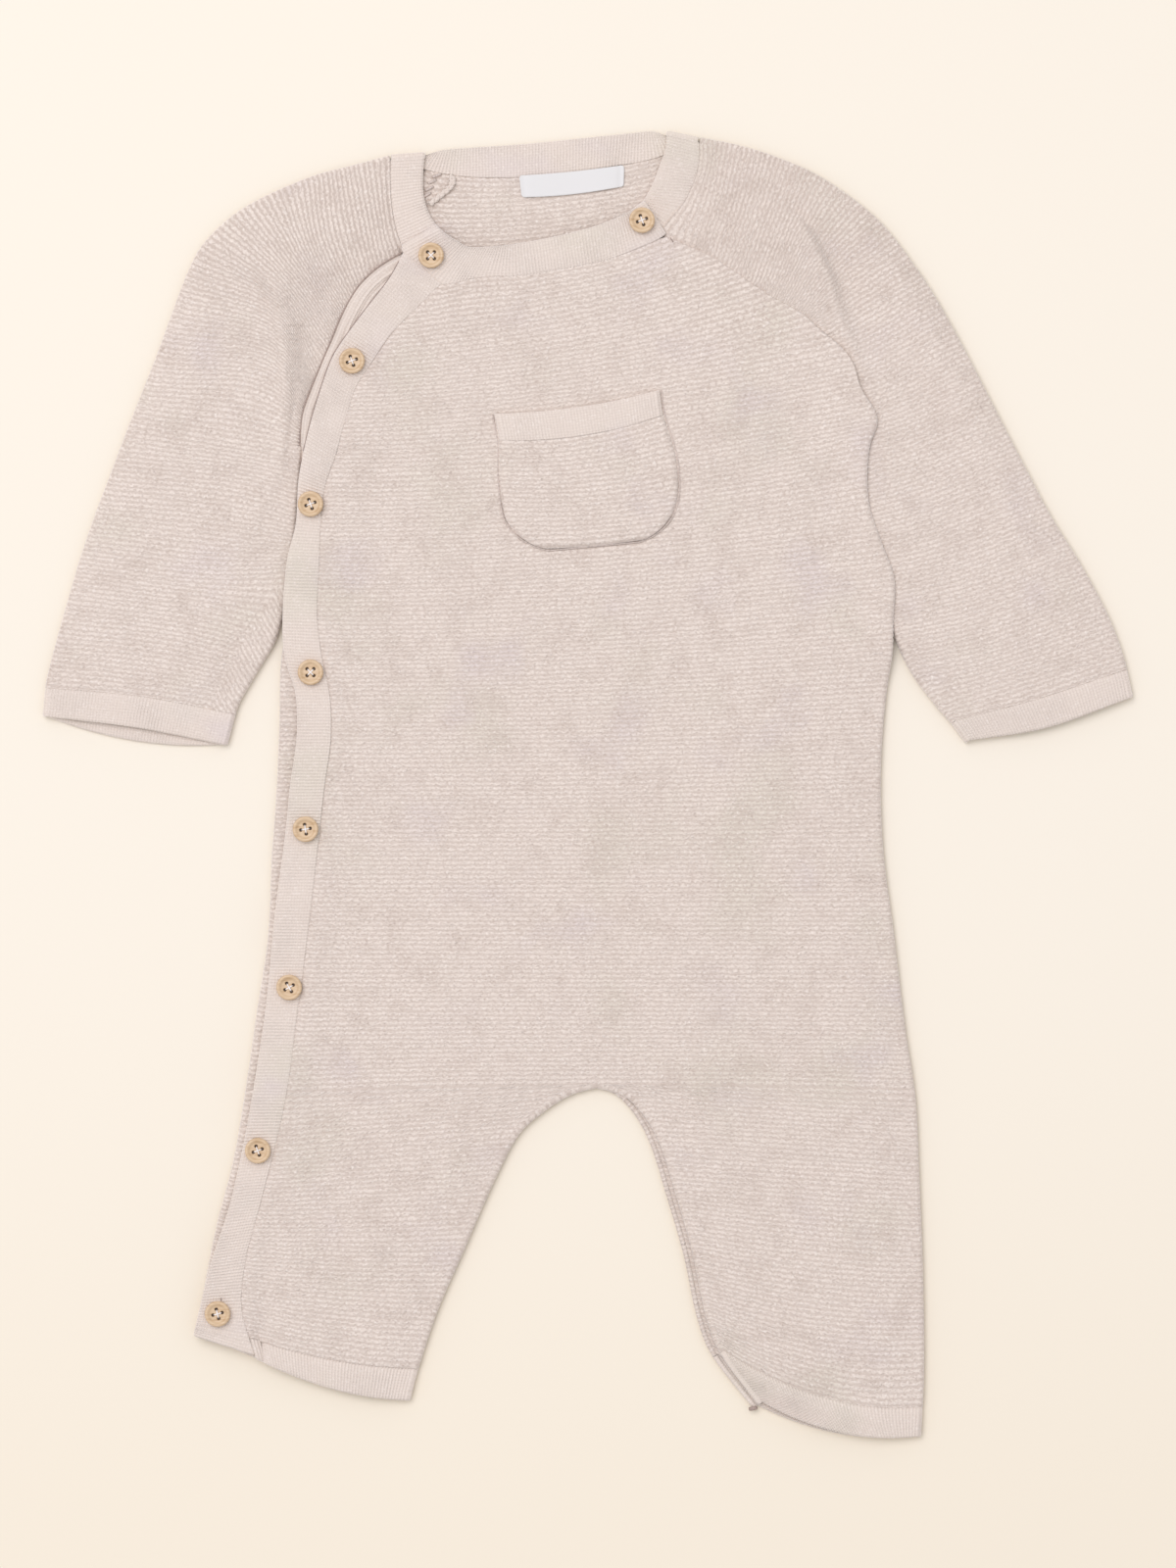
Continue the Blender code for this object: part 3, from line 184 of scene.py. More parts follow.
# The back's edge on the wearer's left: raglan seam, hidden side, then the side that shows.
BACK_LEFT_EDGE = table(
    "y x",
    (254, 35.5), (251.5, 37), (239.5, 46), (212, 62.7), (197.5, 72.5), (183, 82), (167.5, 92),
    (154.5, 100.3), (141.5, 105.6), (121.5, 107), (106, 109.3), (84.5, 113), (63, 117.5), (52, 119.4),
    (45, 120.2), (37, 119.3), (0, 116.9), (-27, 118), (-58.5, 122), (-97.5, 126.7), (-125.5, 130.8),
    (-153.5, 132.2), (-209, 134.1), (-237, 134.2), (-262, 133),
)
SIDE_BLEND = (46.0, 54.0)

# The seam under the front neckband, y at each x. It turns up at the corner of the button band.
NECK_SEAM = table(
    "x y",
    (-73.5, 212), (-66, 205.8), (-58.5, 199.8), (-45.5, 202), (-26.5, 203), (-8.5, 206), (6.5, 209),
    (17.5, 213), (29.5, 218.3), (36, 221.5),
)

# The back's top edge, y at each x.
BACK_NECK = table(
    "x y",
    (-70, 247), (-64, 245.2), (-56, 243.5), (-45.5, 242.4), (-27.5, 242.4), (-8, 244.3), (14.5, 247.4),
    (26.5, 250), (36, 253.4), (40, 255.2),
)

# Courses of the front's body. Each runs from the button band, through a point on the middle
# line, to the left edge.
FRONT_COURSES = table(
    "right_y middle_x middle_y left_y",
    (199.3, -8, 206, 218), (180, -4, 190.5, 206), (162, -1, 171.5, 190), (144.5, 1, 152.5, 170),
    (127, 2, 133, 151), (108, 2.5, 113, 129.5), (88, 3, 92, 105.5), (66, 3, 69, 80), (42, 3, 44, 51),
    (14.5, 3.2, 15.5, 19), (-18, 3.4, -17.5, -15.5), (-50, 3.5, -50, -49.5), (-84, 3.5, -84, -84),
    (-122, 3.5, -119.3, -121),
)

# Courses of the back's body, from its edge on the wearer's right to the one on the left.
BACK_COURSES = table(
    "right_y middle_x middle_y left_y",
    (245.4, -14, 243.2, 252.6), (221, -10, 223, 236), (190, -6, 190, 205), (160, -3, 160, 171),
    (128, 0, 128, 135), (95, 2, 95, 100), (55, 3, 58, 62), (12, 3.2, 18, 20), (-40, 3.4, -38, -37),
    (-84, 3.5, -83, -83), (-122, 3.5, -119.3, -121),
)

# Courses of the legs, from the crotch to the hem. inner is on the inseam, and sag is how far
# the middle of the course hangs below the straight line between its ends.
LEG_COURSES = table(
    "front_right_y back_right_y right_inner_x right_inner_y right_sag left_inner_x left_inner_y "
    "left_y left_sag",
    (-122, -122, 3.5, -121.4, 0, 3.5, -121.4, -121, 0),
    (-127, -126, -6.5, -124.2, 0, 11.5, -124.4, -127, 0),
    (-135, -133, -17, -130.6, 0, 19, -132.6, -136, 0), (-147, -144, -28, -140.8, 0, 25.3, -145, -149, 0),
    (-164, -160, -38, -160, 0.5, 31.5, -165, -170, 0.5), (-183, -177, -48.5, -184, 1, 38, -187.5, -196, 2),
    (-203, -194, -60, -210.5, 1.5, 43.5, -213, -225, 4.5),
    (-221, -209, -67.8, -234, 2.5, 50, -229, -249, 7),
    (-229.2, -219.3, -71, -246.5, 3.5, 66, -249.5, -260.6, 5),
)
HEM_COURSE = 7
INSEAM_SET_BACK = table(
    "course width",
    (0, 0), (0.6, 0.2), (1.6, 2.2), (3.5, 3.6), (6.5, 3.4), (8, 2.4),
)
HEM_GAP = 0.004

# Courses of the sleeves, from the neckband to the end of the cuff. A course starts at the front
# raglan seam or the inner edge, crosses the ridge at the shoulder, and turns over the outer
# fold to the back seam. The heights are of the upper wall: at the start, on the ridge, at the
# ridge's outer foot, half way on and near the outer fold. sag is how far the lower wall hangs
# at mid course, and strip is the width of cloth beyond the seam under the arm.
SLEEVE_COLUMNS = (
    "front_x front_y ridge_x ridge_y fold_x fold_y back_x back_y "
    "start_z ridge_z foot_z mid_z outer_z sag strip"
)
LEFT_SLEEVE = table(
    SLEEVE_COLUMNS,
    (28.9, 219.3, 38.9, 232.5, 45.4, 258.2, 38.6, 252.2, 4, 3.4, 3.4, 3.4, 3.3, 0, 0.4),
    (41.5, 213.9, 48.1, 233.7, 52.7, 256.8, 46.5, 239.5, 4.4, 4.1, 4.1, 4, 3.8, 0, 0.4),
    (49.5, 210.2, 57.6, 233.8, 62.9, 254.4, 55, 226, 5, 4.8, 4.8, 4.7, 4.3, 0, 0.4),
    (59.5, 203.8, 68.8, 231.3, 75.1, 250.5, 63.5, 212, 5, 5.4, 5.1, 5.3, 4.7, 0, 0.4),
    (72, 195.3, 83.4, 222.6, 93.3, 242.3, 73.5, 197.5, 5, 6.8, 4.4, 6, 5.7, 0, 0.4),
    (83, 188.9, 93.6, 204.8, 115.7, 225.5, 83, 183, 5.1, 7.3, 3.8, 5.1, 6.4, 0, 0.4),
    (92.5, 181.3, 100.1, 185.5, 132.3, 204.4, 92.5, 167.5, 4.6, 5.7, 3.4, 4.2, 6.3, 0, 0.4),
    (100.5, 164.5, 107.7, 167, 143.9, 185.5, 101, 154.5, 3.2, 3.5, 3, 3.8, 6.2, 0, 0.4),
    (104, 145, 114.5, 147.4, 154.9, 164.8, 106.8, 141.5, 3.1, 3.3, 3, 3.7, 6, 0, 0.4),
    (108.5, 121.5, 122, 124.9, 166.3, 142.5, 108.5, 121.5, 3.1, 3.2, 3, 3.8, 5.7, 0, 0.4),
    (111, 106, 127.1, 110, 173.9, 127.8, 111, 106, 3.2, 3.3, 3.2, 3.9, 5.6, 0, 0.4),
    (114.5, 84.5, 136.2, 89.3, 184.8, 107.2, 114.5, 84.5, 3.3, 3.7, 3.6, 4.2, 5.2, 0, 0.4),
    (120.5, 63, 147.1, 68.9, 197.3, 86.9, 120.5, 63, 3.3, 4, 4, 4.4, 5, 0, 0.4),
    (129, 44.5, 158.6, 51.5, 207.1, 68.6, 129, 44.5, 3.3, 4.1, 4.2, 4.4, 4.7, 0, 0.4),
    (139, 31, 168.4, 40.6, 212.8, 54.5, 139, 31, 3.3, 4.1, 4.2, 4.3, 4.4, 0, 0.4),
    (145, 24, 176.5, 33, 215.3, 45.5, 145, 24, 3.3, 4, 4.1, 4.1, 4.1, 0.3, 0.4),
    (150.8, 16.2, 180.5, 21.8, 217.8, 34.5, 150.8, 16.2, 3.3, 3.9, 3.9, 3.9, 3.8, 0.6, 0.4),
)
RIGHT_SLEEVE = table(
    SLEEVE_COLUMNS,
    (-74.6, 212.4, -79.1, 233.5, -79.5, 251, -68.6, 243.2, 3.3, 3.4, 3.4, 3.4, 3.3, 0, 0.4),
    (-84.5, 206, -89, 227.5, -92.8, 247.4, -80.5, 221, 3.3, 4.2, 4.4, 4.2, 3.9, 0, 0.4),
    (-95.5, 193, -107, 217, -111.5, 242.2, -92.5, 195.5, 3.3, 5, 5, 4.7, 4.4, 0, 0.4),
    (-100.8, 182, -117.2, 206, -135.4, 231.3, -102, 176, 3.3, 6.3, 6, 5.2, 4.7, 0, 0.4),
    (-105.3, 171.5, -123.1, 197.4, -151.3, 218.4, -105, 168, 3.3, 7.2, 6.4, 5.1, 5, 0, 0.4),
    (-109.5, 161, -123.3, 188.5, -160, 204, -108, 160.5, 3.3, 6.5, 4.3, 4.5, 5, 0, 0.4),
    (-113.8, 149, -120.8, 160, -172.5, 170.5, -113, 145, 3.3, 5.1, 4, 4.3, 5.2, 0, 0.4),
    (-115, 134, -122.2, 135.7, -182.2, 146.1, -114.7, 133, 3.3, 4.3, 3.7, 4.4, 5.1, 0, 0.4),
    (-115.7, 114, -127.3, 117.4, -189.9, 125.9, -115.7, 114, 3.3, 4, 3.7, 4.4, 4.9, 0, 0.4),
    (-116.7, 98, -135.6, 100.9, -196.8, 107.7, -116.7, 98, 3.3, 4, 4, 4.3, 4.8, 0, 0.4),
    (-118.5, 84, -144.7, 83.4, -202.8, 90.2, -118.5, 84, 3.3, 4.1, 4.1, 4.3, 4.7, 0, 0.8),
    (-121, 70, -149.8, 73.9, -205.5, 81.1, -121, 70, 3.3, 4.2, 4.2, 4.4, 4.6, 0, 5),
    (-124.5, 57.5, -155.2, 65.7, -207.9, 72.8, -124.5, 57.5, 3.3, 4.2, 4.2, 4.4, 4.5, 0, 8.6),
    (-130.8, 46.5, -163.4, 55.2, -211.3, 60.8, -130.8, 46.5, 3.3, 4.2, 4.2, 4.4, 4.4, 0, 8.8),
    (-138.3, 33.8, -174.7, 40, -215.6, 44.5, -138.3, 33.8, 3.3, 4.1, 4.2, 4.3, 4.2, 0.6, 8),
    (-140.7, 27.5, -178, 34.8, -216.7, 38.4, -140.7, 27.5, 3.3, 4.1, 4.1, 4.2, 4.1, 1.4, 7.6),
    (-144, 15.2, -180, 22.4, -217.8, 27, -144, 15.2, 3.3, 4, 4, 4, 3.9, 4, 7),
)
STRIP_COLUMNS = 4
STRIP_COURSES = math.radians(-62)
STRIP_REACH = 7.0
STRIP_EASE = 5.0
STRIP_PULL = 0.45
STRIP_TURN = 0.6

# The seams between the neckband and the sleeves, x at each y.
SHOULDER_SEAM_RIGHT = table(
    "y x",
    (211.5, -73.2), (214, -74.2), (221, -76.6), (232, -78.6), (242.5, -79), (252.5, -78.7),
)
SHOULDER_SEAM_LEFT = table(
    "y x",
    (218.5, 27.5), (226, 33.6), (231, 37.7), (237.5, 41.2), (244, 43.7), (250.5, 44.6), (260, 44.3),
)
CUFF_GAP = 0.004

# Stations along the neckband: from its front end on the wearer's right, over the shoulder
# fold, round the back and over the other fold to its front end on the left.
NECKBAND_COLUMNS = "inner_x inner_y outer_x outer_y"
NECKBAND_RIGHT = table(
    NECKBAND_COLUMNS,
    (-58, 220, -74.1, 214), (-63, 227, -76.5, 221), (-65.5, 235, -78.5, 232), (-65.7, 243, -78.9, 242.5),
    (-65, 252.3, -78.6, 251.3),
)
NECKBAND_BACK = table(
    NECKBAND_COLUMNS,
    (-64.8, 250.2, -78.3, 249.2), (-64, 251.2, -74.6, 248.4), (-60.8, 252.6, -67, 246),
    (-56, 253.5, -58.5, 243.9), (-45.5, 254.3, -45.5, 242.4), (-27.5, 255.5, -27.5, 242.4),
    (-8, 257.4, -8, 244.3), (15.5, 259.8, 14.5, 247.4), (25.5, 260.7, 27.5, 250.2), (31, 259, 42.7, 256.3),
)
NECKBAND_LEFT = table(
    NECKBAND_COLUMNS,
    (31.5, 261, 44.2, 258.3), (31, 254, 44.5, 250.5), (28.5, 246.5, 43.6, 244), (25.3, 238.5, 41.1, 237.5),
    (22.3, 233.2, 37.6, 231), (19.5, 230.8, 31.6, 223.6), (16.9, 228.4, 28.8, 219),
)

# Stations along the front neckband. Its outer edge is on the neck seam, or lift above it.
FRONT_NECKBAND = table(
    "inner_x inner_y outer_x lift level",
    (-60.5, 223, -74, 3.2, 5.5), (-57.3, 220, -73.5, 0, 5.6), (-52.5, 216.8, -66.5, 0, 5.6),
    (-47.5, 214.2, -58.5, 0, 5.6), (-39, 214.3, -45.5, 0, 5.5), (-27.5, 215.6, -26.5, 0, 5.4),
    (-10, 219, -8, 0, 5.4), (4.5, 223, 6.5, 0, 5.4), (14, 227, 18, 0, 5.5), (18.5, 229.8, 28, 0, 5.5),
    (22.5, 232.6, 31.2, 0.8, 5.4),
)

# Stations along the button band. Its inner edge is on the band seam.
BUTTON_BAND = table(
    "left_x left_y seam_y",
    (-73.6, 211.4, 199.9), (-79.5, 201, 191.5), (-89.5, 188, 180), (-98.3, 176, 168.5), (-102.8, 168, 160),
    (-107.6, 154, 147), (-111.7, 139.5, 132), (-115.3, 122, 118), (-116.5, 104, 103), (-120, 88.5, 88),
    (-121.7, 67.5, 67), (-121, 51, 50), (-116.6, 35.5, 35.5), (-116.2, 18, 18), (-118.8, -1, -1),
    (-120.6, -19, -19), (-125, -54, -54), (-128.6, -90, -90), (-134.8, -130, -130), (-142.2, -165.5, -164),
    (-150.3, -191, -189), (-155.3, -211, -211), (-157.2, -219.6, -227.8),
)
BAND_GAPE = table(
    "y rise",
    (212, 0), (190, 0.5), (168.5, 0), (140, 0.6), (111.5, 0), (78, 0.8), (44.5, 0), (13, 1), (-18, 0),
    (-50, 1.1), (-81, 0), (-113, 1.2), (-146, 0), (-178, 1.3), (-211, 0), (-225, 0.2),
)
UNDER_BAND_ENDS = (212.4, -218.0)
UNDER_BAND_PULL = 1.4
UNDER_BAND_SWELL = (0.4, 3.4, 1.6)
UNDER_RIB = 2.5
UNDER_RIB_RELIEF = 0.34

# Courses of the pocket, top edge to bottom edge. The first two bound its rib top.
POCKET = table(
    "right_x right_y left_x left_y sag",
    (-37.4, 147.5, 28.5, 157, 2.2), (-35.4, 137, 30, 147, 3.3), (-35.2, 124, 34.6, 132, 2.8),
    (-34.4, 114, 35.8, 119, 2.2), (-32.6, 105.5, 34.6, 110, 1.8), (-28, 99.6, 30.6, 103.6, 1.5),
    (-22.5, 96, 25.8, 99.6, 1.2), (-16, 93.8, 20.5, 97.2, 0.6),
)
NECK_OVERLAP = 0.45
POCKET_SEAM = 1
POCKET_GAP = 0.004
POCKET_GROOVE = 1.0

LABEL = table(
    "right_x right_y left_x left_y sag",
    (-27.5, 243, 14.5, 247, 0.5), (-26.5, 234.2, 14.3, 238.4, 0.9),
)
LABEL_CORNER = 1.2

# The buttons, and how far each one's four holes are turned, in degrees.
BUTTONS = table(
    "x y turn",
    (-62.5, 210.5, 45), (-94, 168.5, 20), (-110.5, 111.5, 20), (-110.5, 44.5, 45), (-112.5, -18, 10),
    (-119, -81, 30), (-131.5, -146, 20), (-147.5, -211, 15), (21.5, 224.5, 20),
)
# The overlocked edge of the right shoulder's neck seam, inside the neck, and loose threads.
SEAM_EDGE = table(
    "x y",
    (-54.5, 242.6), (-54.3, 240), (-56.2, 237.2), (-59.4, 234.6), (-63.2, 231.6),
)
SEAM_EDGE_LEVEL = 2.9
SEAM_HATCH = table(
    "x y turn",
    (-60.4, 243, 20), (-62.2, 240.6, 24), (-63.4, 237.8, 28), (-64.4, 235.2, 30),
)
THREAD_ENDS = table(
    "x y length turn level",
    (33.4, 216.8, 1.8, -55, 6.7), (-146.2, -205.4, 1.5, 95, 6.7), (-131.4, -150.7, 1.5, 95, 6.7),
    (-112.6, -17.8, 1.5, 95, 6.7),
)
HEM_KNOT = (65.9, -249.3, 2.6, math.degrees(0.2), 2.7, 0.8)
# The turned profile of a button, from the middle of its top round the rim to its underside.
BUTTON_PROFILE = table(
    "radius height",
    (0, 1.62), (2.6, 1.6), (3.1, 1.68), (3.6, 2.05), (4, 2.32), (4.35, 2.4), (4.75, 2.28), (5, 1.9),
    (5.1, 1.35), (5.05, 0.8), (4.85, 0.35), (4.4, 0), (0, 0),
)
BUTTON_CLEARANCE = 0.3
BUTTON_HOLE_RADIUS = 0.68
BUTTON_HOLE_PLACE = 1.9

# Heights of the front's middle beside its left edge at each y, and under the neckband at each x.
LEFT_EDGE_LEVELS = table(
    "y level",
    (-262, UPPER_WALL), (38, UPPER_WALL), (60, OVER_SLEEVE_LEVEL), (172, OVER_SLEEVE_LEVEL), (181, 5.75),
    (188, 5.4), (195, 5.2), (209, 5.2), (218, 5.2), (222, 5.2),
)
NECK_LEVELS = table(
    "x level",
    (-60, 5.6), (-26, 5.4), (6, 5.4), (30, 5.3),
)

# Broad soft swells of the front: centre, half length, half width, direction in degrees, height.
FRONT_SWELLS = table(
    "x y half_length half_width turn height",
    (-62, 96, 42, 9, 78, 0.5), (84, 118, 34, 9, 62, 0.6), (66, 22, 46, 10, 84, 0.4),
    (-58, -60, 52, 11, 97, 0.5), (36, -92, 38, 9, 118, 0.6), (-30, -104, 34, 9, 52, 0.5),
    (88, -190, 44, 11, 90, 0.5), (-92, -178, 40, 10, 112, 0.5),
)

# Creases of the front, each along its own line, with its height and half width at each point.
CREASE = "x y height width"
SLEEVE_CREASES = {
    Side.RIGHT: (
        table(CREASE, (-153, 222, 0, 3), (-140, 213, 0.9, 3), (-127, 204, 0.9, 3), (-121, 192, 0, 3)),
        table(CREASE, (-154, 211, 0, 3), (-142, 203, -0.7, 3), (-130, 195, -0.7, 3), (-126, 184, 0, 3)),
    ),
    Side.LEFT: (
        table(CREASE, (84, 230, 0, 3), (91.9, 213.3, 0.6, 3), (99.5, 195.7, 0.6, 3),
            (104.4, 180.4, 0.3, 3), (113, 155, 0, 3)),
        table(CREASE, (92, 226, 0, 4), (97, 217, -1, 5), (103.5, 201, -1.3, 5), (110.5, 184, -1, 5),
            (118, 166, 0, 5)),
    ),
}
FRONT_CREASES = (
    table(CREASE, (-80.2, 200, 0, 5), (-81.3, 145, -0.5, 6), (-89.1, 78, -0.4, 6), (-96.5, 16, -0.7, 5.5),
        (-98, -39, -0.9, 5.5), (-100, -78, -1, 5.5), (-105.5, -117, -1, 5.5), (-108.5, -156, -1, 6),
        (-103, -187, -1.1, 6.5), (-92, -212, -0.8, 6.5), (-86, -228, 0, 6)),
    table(CREASE, (-124, -160, 0, 3), (-127.5, -185, -0.9, 3.5), (-130, -205, -1.4, 3.5),
        (-130.5, -222, -1.2, 3)),
    table(CREASE, (-130, -208, 0, 1.6), (-131, -216, -1, 1.5), (-130.4, -222, -1.7, 1.4),
        (-129.6, -230, -1, 1.5)),
    table(CREASE, (-119, -178, 0, 4), (-115, -195, 0.9, 5), (-113, -210, 1, 5), (-108, -224, 0, 5)),
    table(CREASE, (44, 88.5, 0, 3), (70, 88, -0.4, 3.5), (100, 88.5, -0.5, 3.5), (118, 90, -0.2, 3)),
    table(CREASE, (92, 130, 0, 6), (101, 112, -0.7, 7), (108, 98, -0.7, 7), (112, 88, 0, 6)),
    table(CREASE, (52, -208, 0, 2.5), (62, -214, -0.6, 3), (76, -221, -0.7, 3), (90, -222, 0, 3)),
    table(CREASE, (58, -222, 0, 2.5), (66, -212, -0.6, 2.5), (74, -203, -0.6, 3), (82, -197, 0, 3)),
    table(CREASE, (8, -90, 0, 3.5), (18, -100, -0.5, 3.5), (30, -108, -0.5, 3.5), (36, -118, 0, 3.5)),
    table(CREASE, (68, -148, 0, 3), (84, -150, -0.4, 3), (108, -152, -0.4, 3), (122, -156, 0, 3)),
    table(CREASE, (72, -238, 0, 3), (92, -243, -0.4, 3.5), (118, -243, -0.5, 3.5), (130, -240, 0, 3)),
)


RAGLAN_DIP = {Side.RIGHT: 1.35, Side.LEFT: 0.5}
SLEEVE_RIDGES = 0.2
SHOULDER_REACH = 62
NECK_PULL = 0.4
CUFF_PULL = 0.3
SHOULDER_RIDGES = {Side.RIGHT: 1.9, Side.LEFT: 2.7}


# ---- Curves and edges ----


def through_rows(keys: Array, values: Array, at: Array, level: bool) -> Array:
    """Read one cubic curve for each row: Hermite pieces between values at rising keys.

    With level, the slope at a key is the harmonic mean of the rises beside it, and zero at a
    turn, so no stretch passes the two values that bound it.

    Args:
        keys: rows x keys.
        values: rows x keys x sizes.
        at: rows x places.
        level: keep each stretch between its bounds.

    Returns:
        rows x places x sizes.
    """
    step = np.diff(keys, axis=1)[..., None]
    rise = np.diff(values, axis=1) / step
    slope = np.empty_like(values)
    slope[:, 0], slope[:, -1] = rise[:, 0], rise[:, -1]
    before, after = rise[:, :-1], rise[:, 1:]
    if level:
        agree = before * after > 0
        total = np.where(agree, before + after, 1)
        slope[:, 1:-1] = np.where(agree, 2 * before * after / total, 0)
    else:
        weighed = before * step[:, 1:] + after * step[:, :-1]
        slope[:, 1:-1] = weighed / (step[:, :-1] + step[:, 1:])
    index = (at[..., None] >= keys[:, None, 1:-1]).sum(axis=-1)

    def pick(source: Array) -> Array:
        """Return the entry of each place's stretch."""
        return np.take_along_axis(source, index[..., None], axis=1)

    width = pick(step)
    part = (at - np.take_along_axis(keys, index, axis=1))[..., None] / width
    return (
        (2 * part**3 - 3 * part**2 + 1) * pick(values[:, :-1])
        + (part**3 - 2 * part**2 + part) * width * pick(slope[:, :-1])
        + (3 * part**2 - 2 * part**3) * pick(values[:, 1:])
        + (part**3 - part**2) * width * pick(slope[:, 1:])
    )


def through(
    keys: Sequence[float], values: Sequence[float], at: Array, level: bool = False
) -> Array:
    """Read a cubic curve through the values at the keys.

    Args:
        keys: the places of the values, in any order.
        values: a number or a row of numbers for each key.
        at: the places to read, of any shape.
        level: keep each stretch between its bounds.

    Returns:
        The values at the places.
    """
    order = np.argsort(keys)
    keys = np.asarray(keys, dtype=float)[order]
    values = np.asarray(values, dtype=float)[order]
    at = np.asarray(at, dtype=float)
    flat = values.reshape(1, len(keys), -1)
    found = through_rows(keys[None], flat, at.reshape(1, -1), level)
    return found.reshape(at.shape + values.shape[1:])


def read(source: Table, names: str, at: Array) -> Array:
    """Return points made of the named columns of a table, read at row numbers.

    Args:
        source: the table.
        names: the columns to read.
        at: row numbers, between rows too.

    Returns:
        One row of numbers for each row number.
    """
    values = np.stack([source[name] for name in names.split()], axis=-1)
    return through(np.arange(len(values)), values, at)


def edge_at(edge: Table, y: Array, outward: float | Array = 0.0) -> Array:
    """Return points of an edge x(y), moved along its normal towards +X.

    Args:
        edge: the edge, x at each y.
        y: the heights to read.
        outward: how far to move.

    Returns:
        One plan point for each height.
    """
    y = np.asarray(y, dtype=float)
    x = through(edge["y"], edge["x"], y)
    slope = through(edge["y"], edge["x"], y + 0.5) - through(edge["y"], edge["x"], y - 0.5)
    length = np.sqrt(1 + slope**2)
    return np.stack([x + outward / length, y - outward * slope / length], axis=-1)


def seam_y(seam: Table, x: Array) -> Array:
    """Return the height y of a seam y(x) at the places x."""
    return through(seam["x"], seam["y"], x)


def normals(line: Array, side: int) -> Array:
    """Return unit vectors across a plan line, to the left of its run for side +1.

    Args:
        line: the points of the line.
        side: +1 or -1.

    Returns:
        One vector for each point.
    """
    run = np.gradient(line, axis=0)
    run = run / np.linalg.norm(run, axis=1, keepdims=True)
    return side * np.stack([-run[:, 1], run[:, 0]], axis=1)


def nearest(plan: Array, line: Array) -> tuple[Array, Array]:
    """Find the nearest place on a plan line: the foot on each stretch, then the least distance.

    Args:
        plan: points of any shape, with x and y last.
        line: the points of the line.

    Returns:
        The distance of each point, and the place of its foot as a point number of the line.
    """
    flat = plan.reshape(-1, 1, 2).astype(np.float32)
    start = line[:-1].astype(np.float32)
    run = np.diff(line, axis=0).astype(np.float32)
    part = ((flat - start) * run).sum(axis=-1) / np.maximum((run**2).sum(axis=-1), 1e-9)
    part = np.clip(part, 0, 1)
    apart = flat - start - part[..., None] * run
    square = (apart**2).sum(axis=-1)
    best = square.argmin(axis=1)[:, None]
    place = best[:, 0] + np.take_along_axis(part, best, axis=1)[:, 0]
    distance = np.sqrt(np.take_along_axis(square, best, axis=1)[:, 0])
    return distance.reshape(plan.shape[:-1]), place.reshape(plan.shape[:-1])


def fade(distance: Array, width: float) -> Array:
    """Return 1 at no distance and 0 beyond the width, with a smooth fall between."""
    part = np.clip(1 - distance / width, 0, 1)
    return part * part * (3 - 2 * part)


def with_height(plan: Array, height: float | Array) -> Array:
    """Join plan points with their heights."""
    height = np.broadcast_to(height, plan.shape[:-1])
    return np.concatenate([plan, height[..., None]], axis=-1)


def run_along(points: Array, axis: int = 1) -> Array:
    """Return the distance run along an axis of a grid, from its first row or column.

    Args:
        points: the grid of points.
        axis: the axis to run along.

    Returns:
        The distance at each point.
    """
    step = np.linalg.norm(np.diff(points, axis=axis), axis=-1)
    start = np.zeros_like(np.take(points[..., 0], [0], axis=axis))
    return np.concatenate([start, np.cumsum(step, axis=axis)], axis=axis)


def quadratic(first: Array, middle: Array, last: Array, at: Array) -> Array:
    """Read the parabola through three columns of points, which are at 0, 1 and 2.

    Args:
        first: the points at 0.
        middle: the points at 1.
        last: the points at 2.
        at: the places to read.

    Returns:
        A row of points for each row of the columns.
    """
    at = at[None, :, None]
    first, middle, last = (points[:, None, :] for points in (first, middle, last))
    return (
        first * (at - 1) * (at - 2) / 2
        - middle * at * (at - 2)
        + last * at * (at - 1) / 2
    )


def sagging(first: Array, last: Array, sag: float | Array,
            part: Array) -> Array:
    """Return straight courses between two columns of points, each with its sag.

    Args:
        first: the start of each course, in plan.
        last: the end of each course, in plan.
        sag: how far the middle of each course hangs, as a parabola.
        part: the shares of the course to read.

    Returns:
        A grid of plan points.
    """
    plan = first[:, None] + (last - first)[:, None] * part[:, None]
    plan[..., 1] -= np.reshape(sag, (-1, 1)) * 4 * part * (1 - part)
    return plan


def clustered(count: int, weight: float = 0.9) -> Array:
    """Return shares from 0 to 1 that are closer together at both ends: a cosine and a line."""
    part = np.linspace(0, 1, count)
    return weight * (1 - np.cos(math.pi * part)) / 2 + (1 - weight) * part


def even_rows(line_at: Callable[[Array], Array], first: float, last: float,
              step: float) -> Array:
    """Return table row numbers so that the rows are evenly spaced, measured square to them.

    Rows of a single point are measured along their path.

    Args:
        line_at: gives a grid of plan points for row numbers.
        first: the first row number.
        last: the last row number.
        step: the mean distance between rows.

    Returns:
        The row numbers.
    """
    dense = np.linspace(first, last, 400)
    grid = line_at(dense)
    moved = np.diff(grid, axis=0)
    course = grid[:-1, -1] - grid[:-1, 0]
    square = np.stack([-course[:, 1], course[:, 0]], axis=-1)
    if grid.shape[1] == 1:
        square = moved[:, 0]
    square = square / np.linalg.norm(square, axis=1, keepdims=True)
    rise = np.abs((moved * square[:, None]).sum(axis=-1)).mean(axis=1)
    length = np.concatenate([[0], np.cumsum(rise)])
    count = max(round(length[-1] / step), 2)
    return np.interp(np.linspace(0, length[-1], count + 1), length, dense)


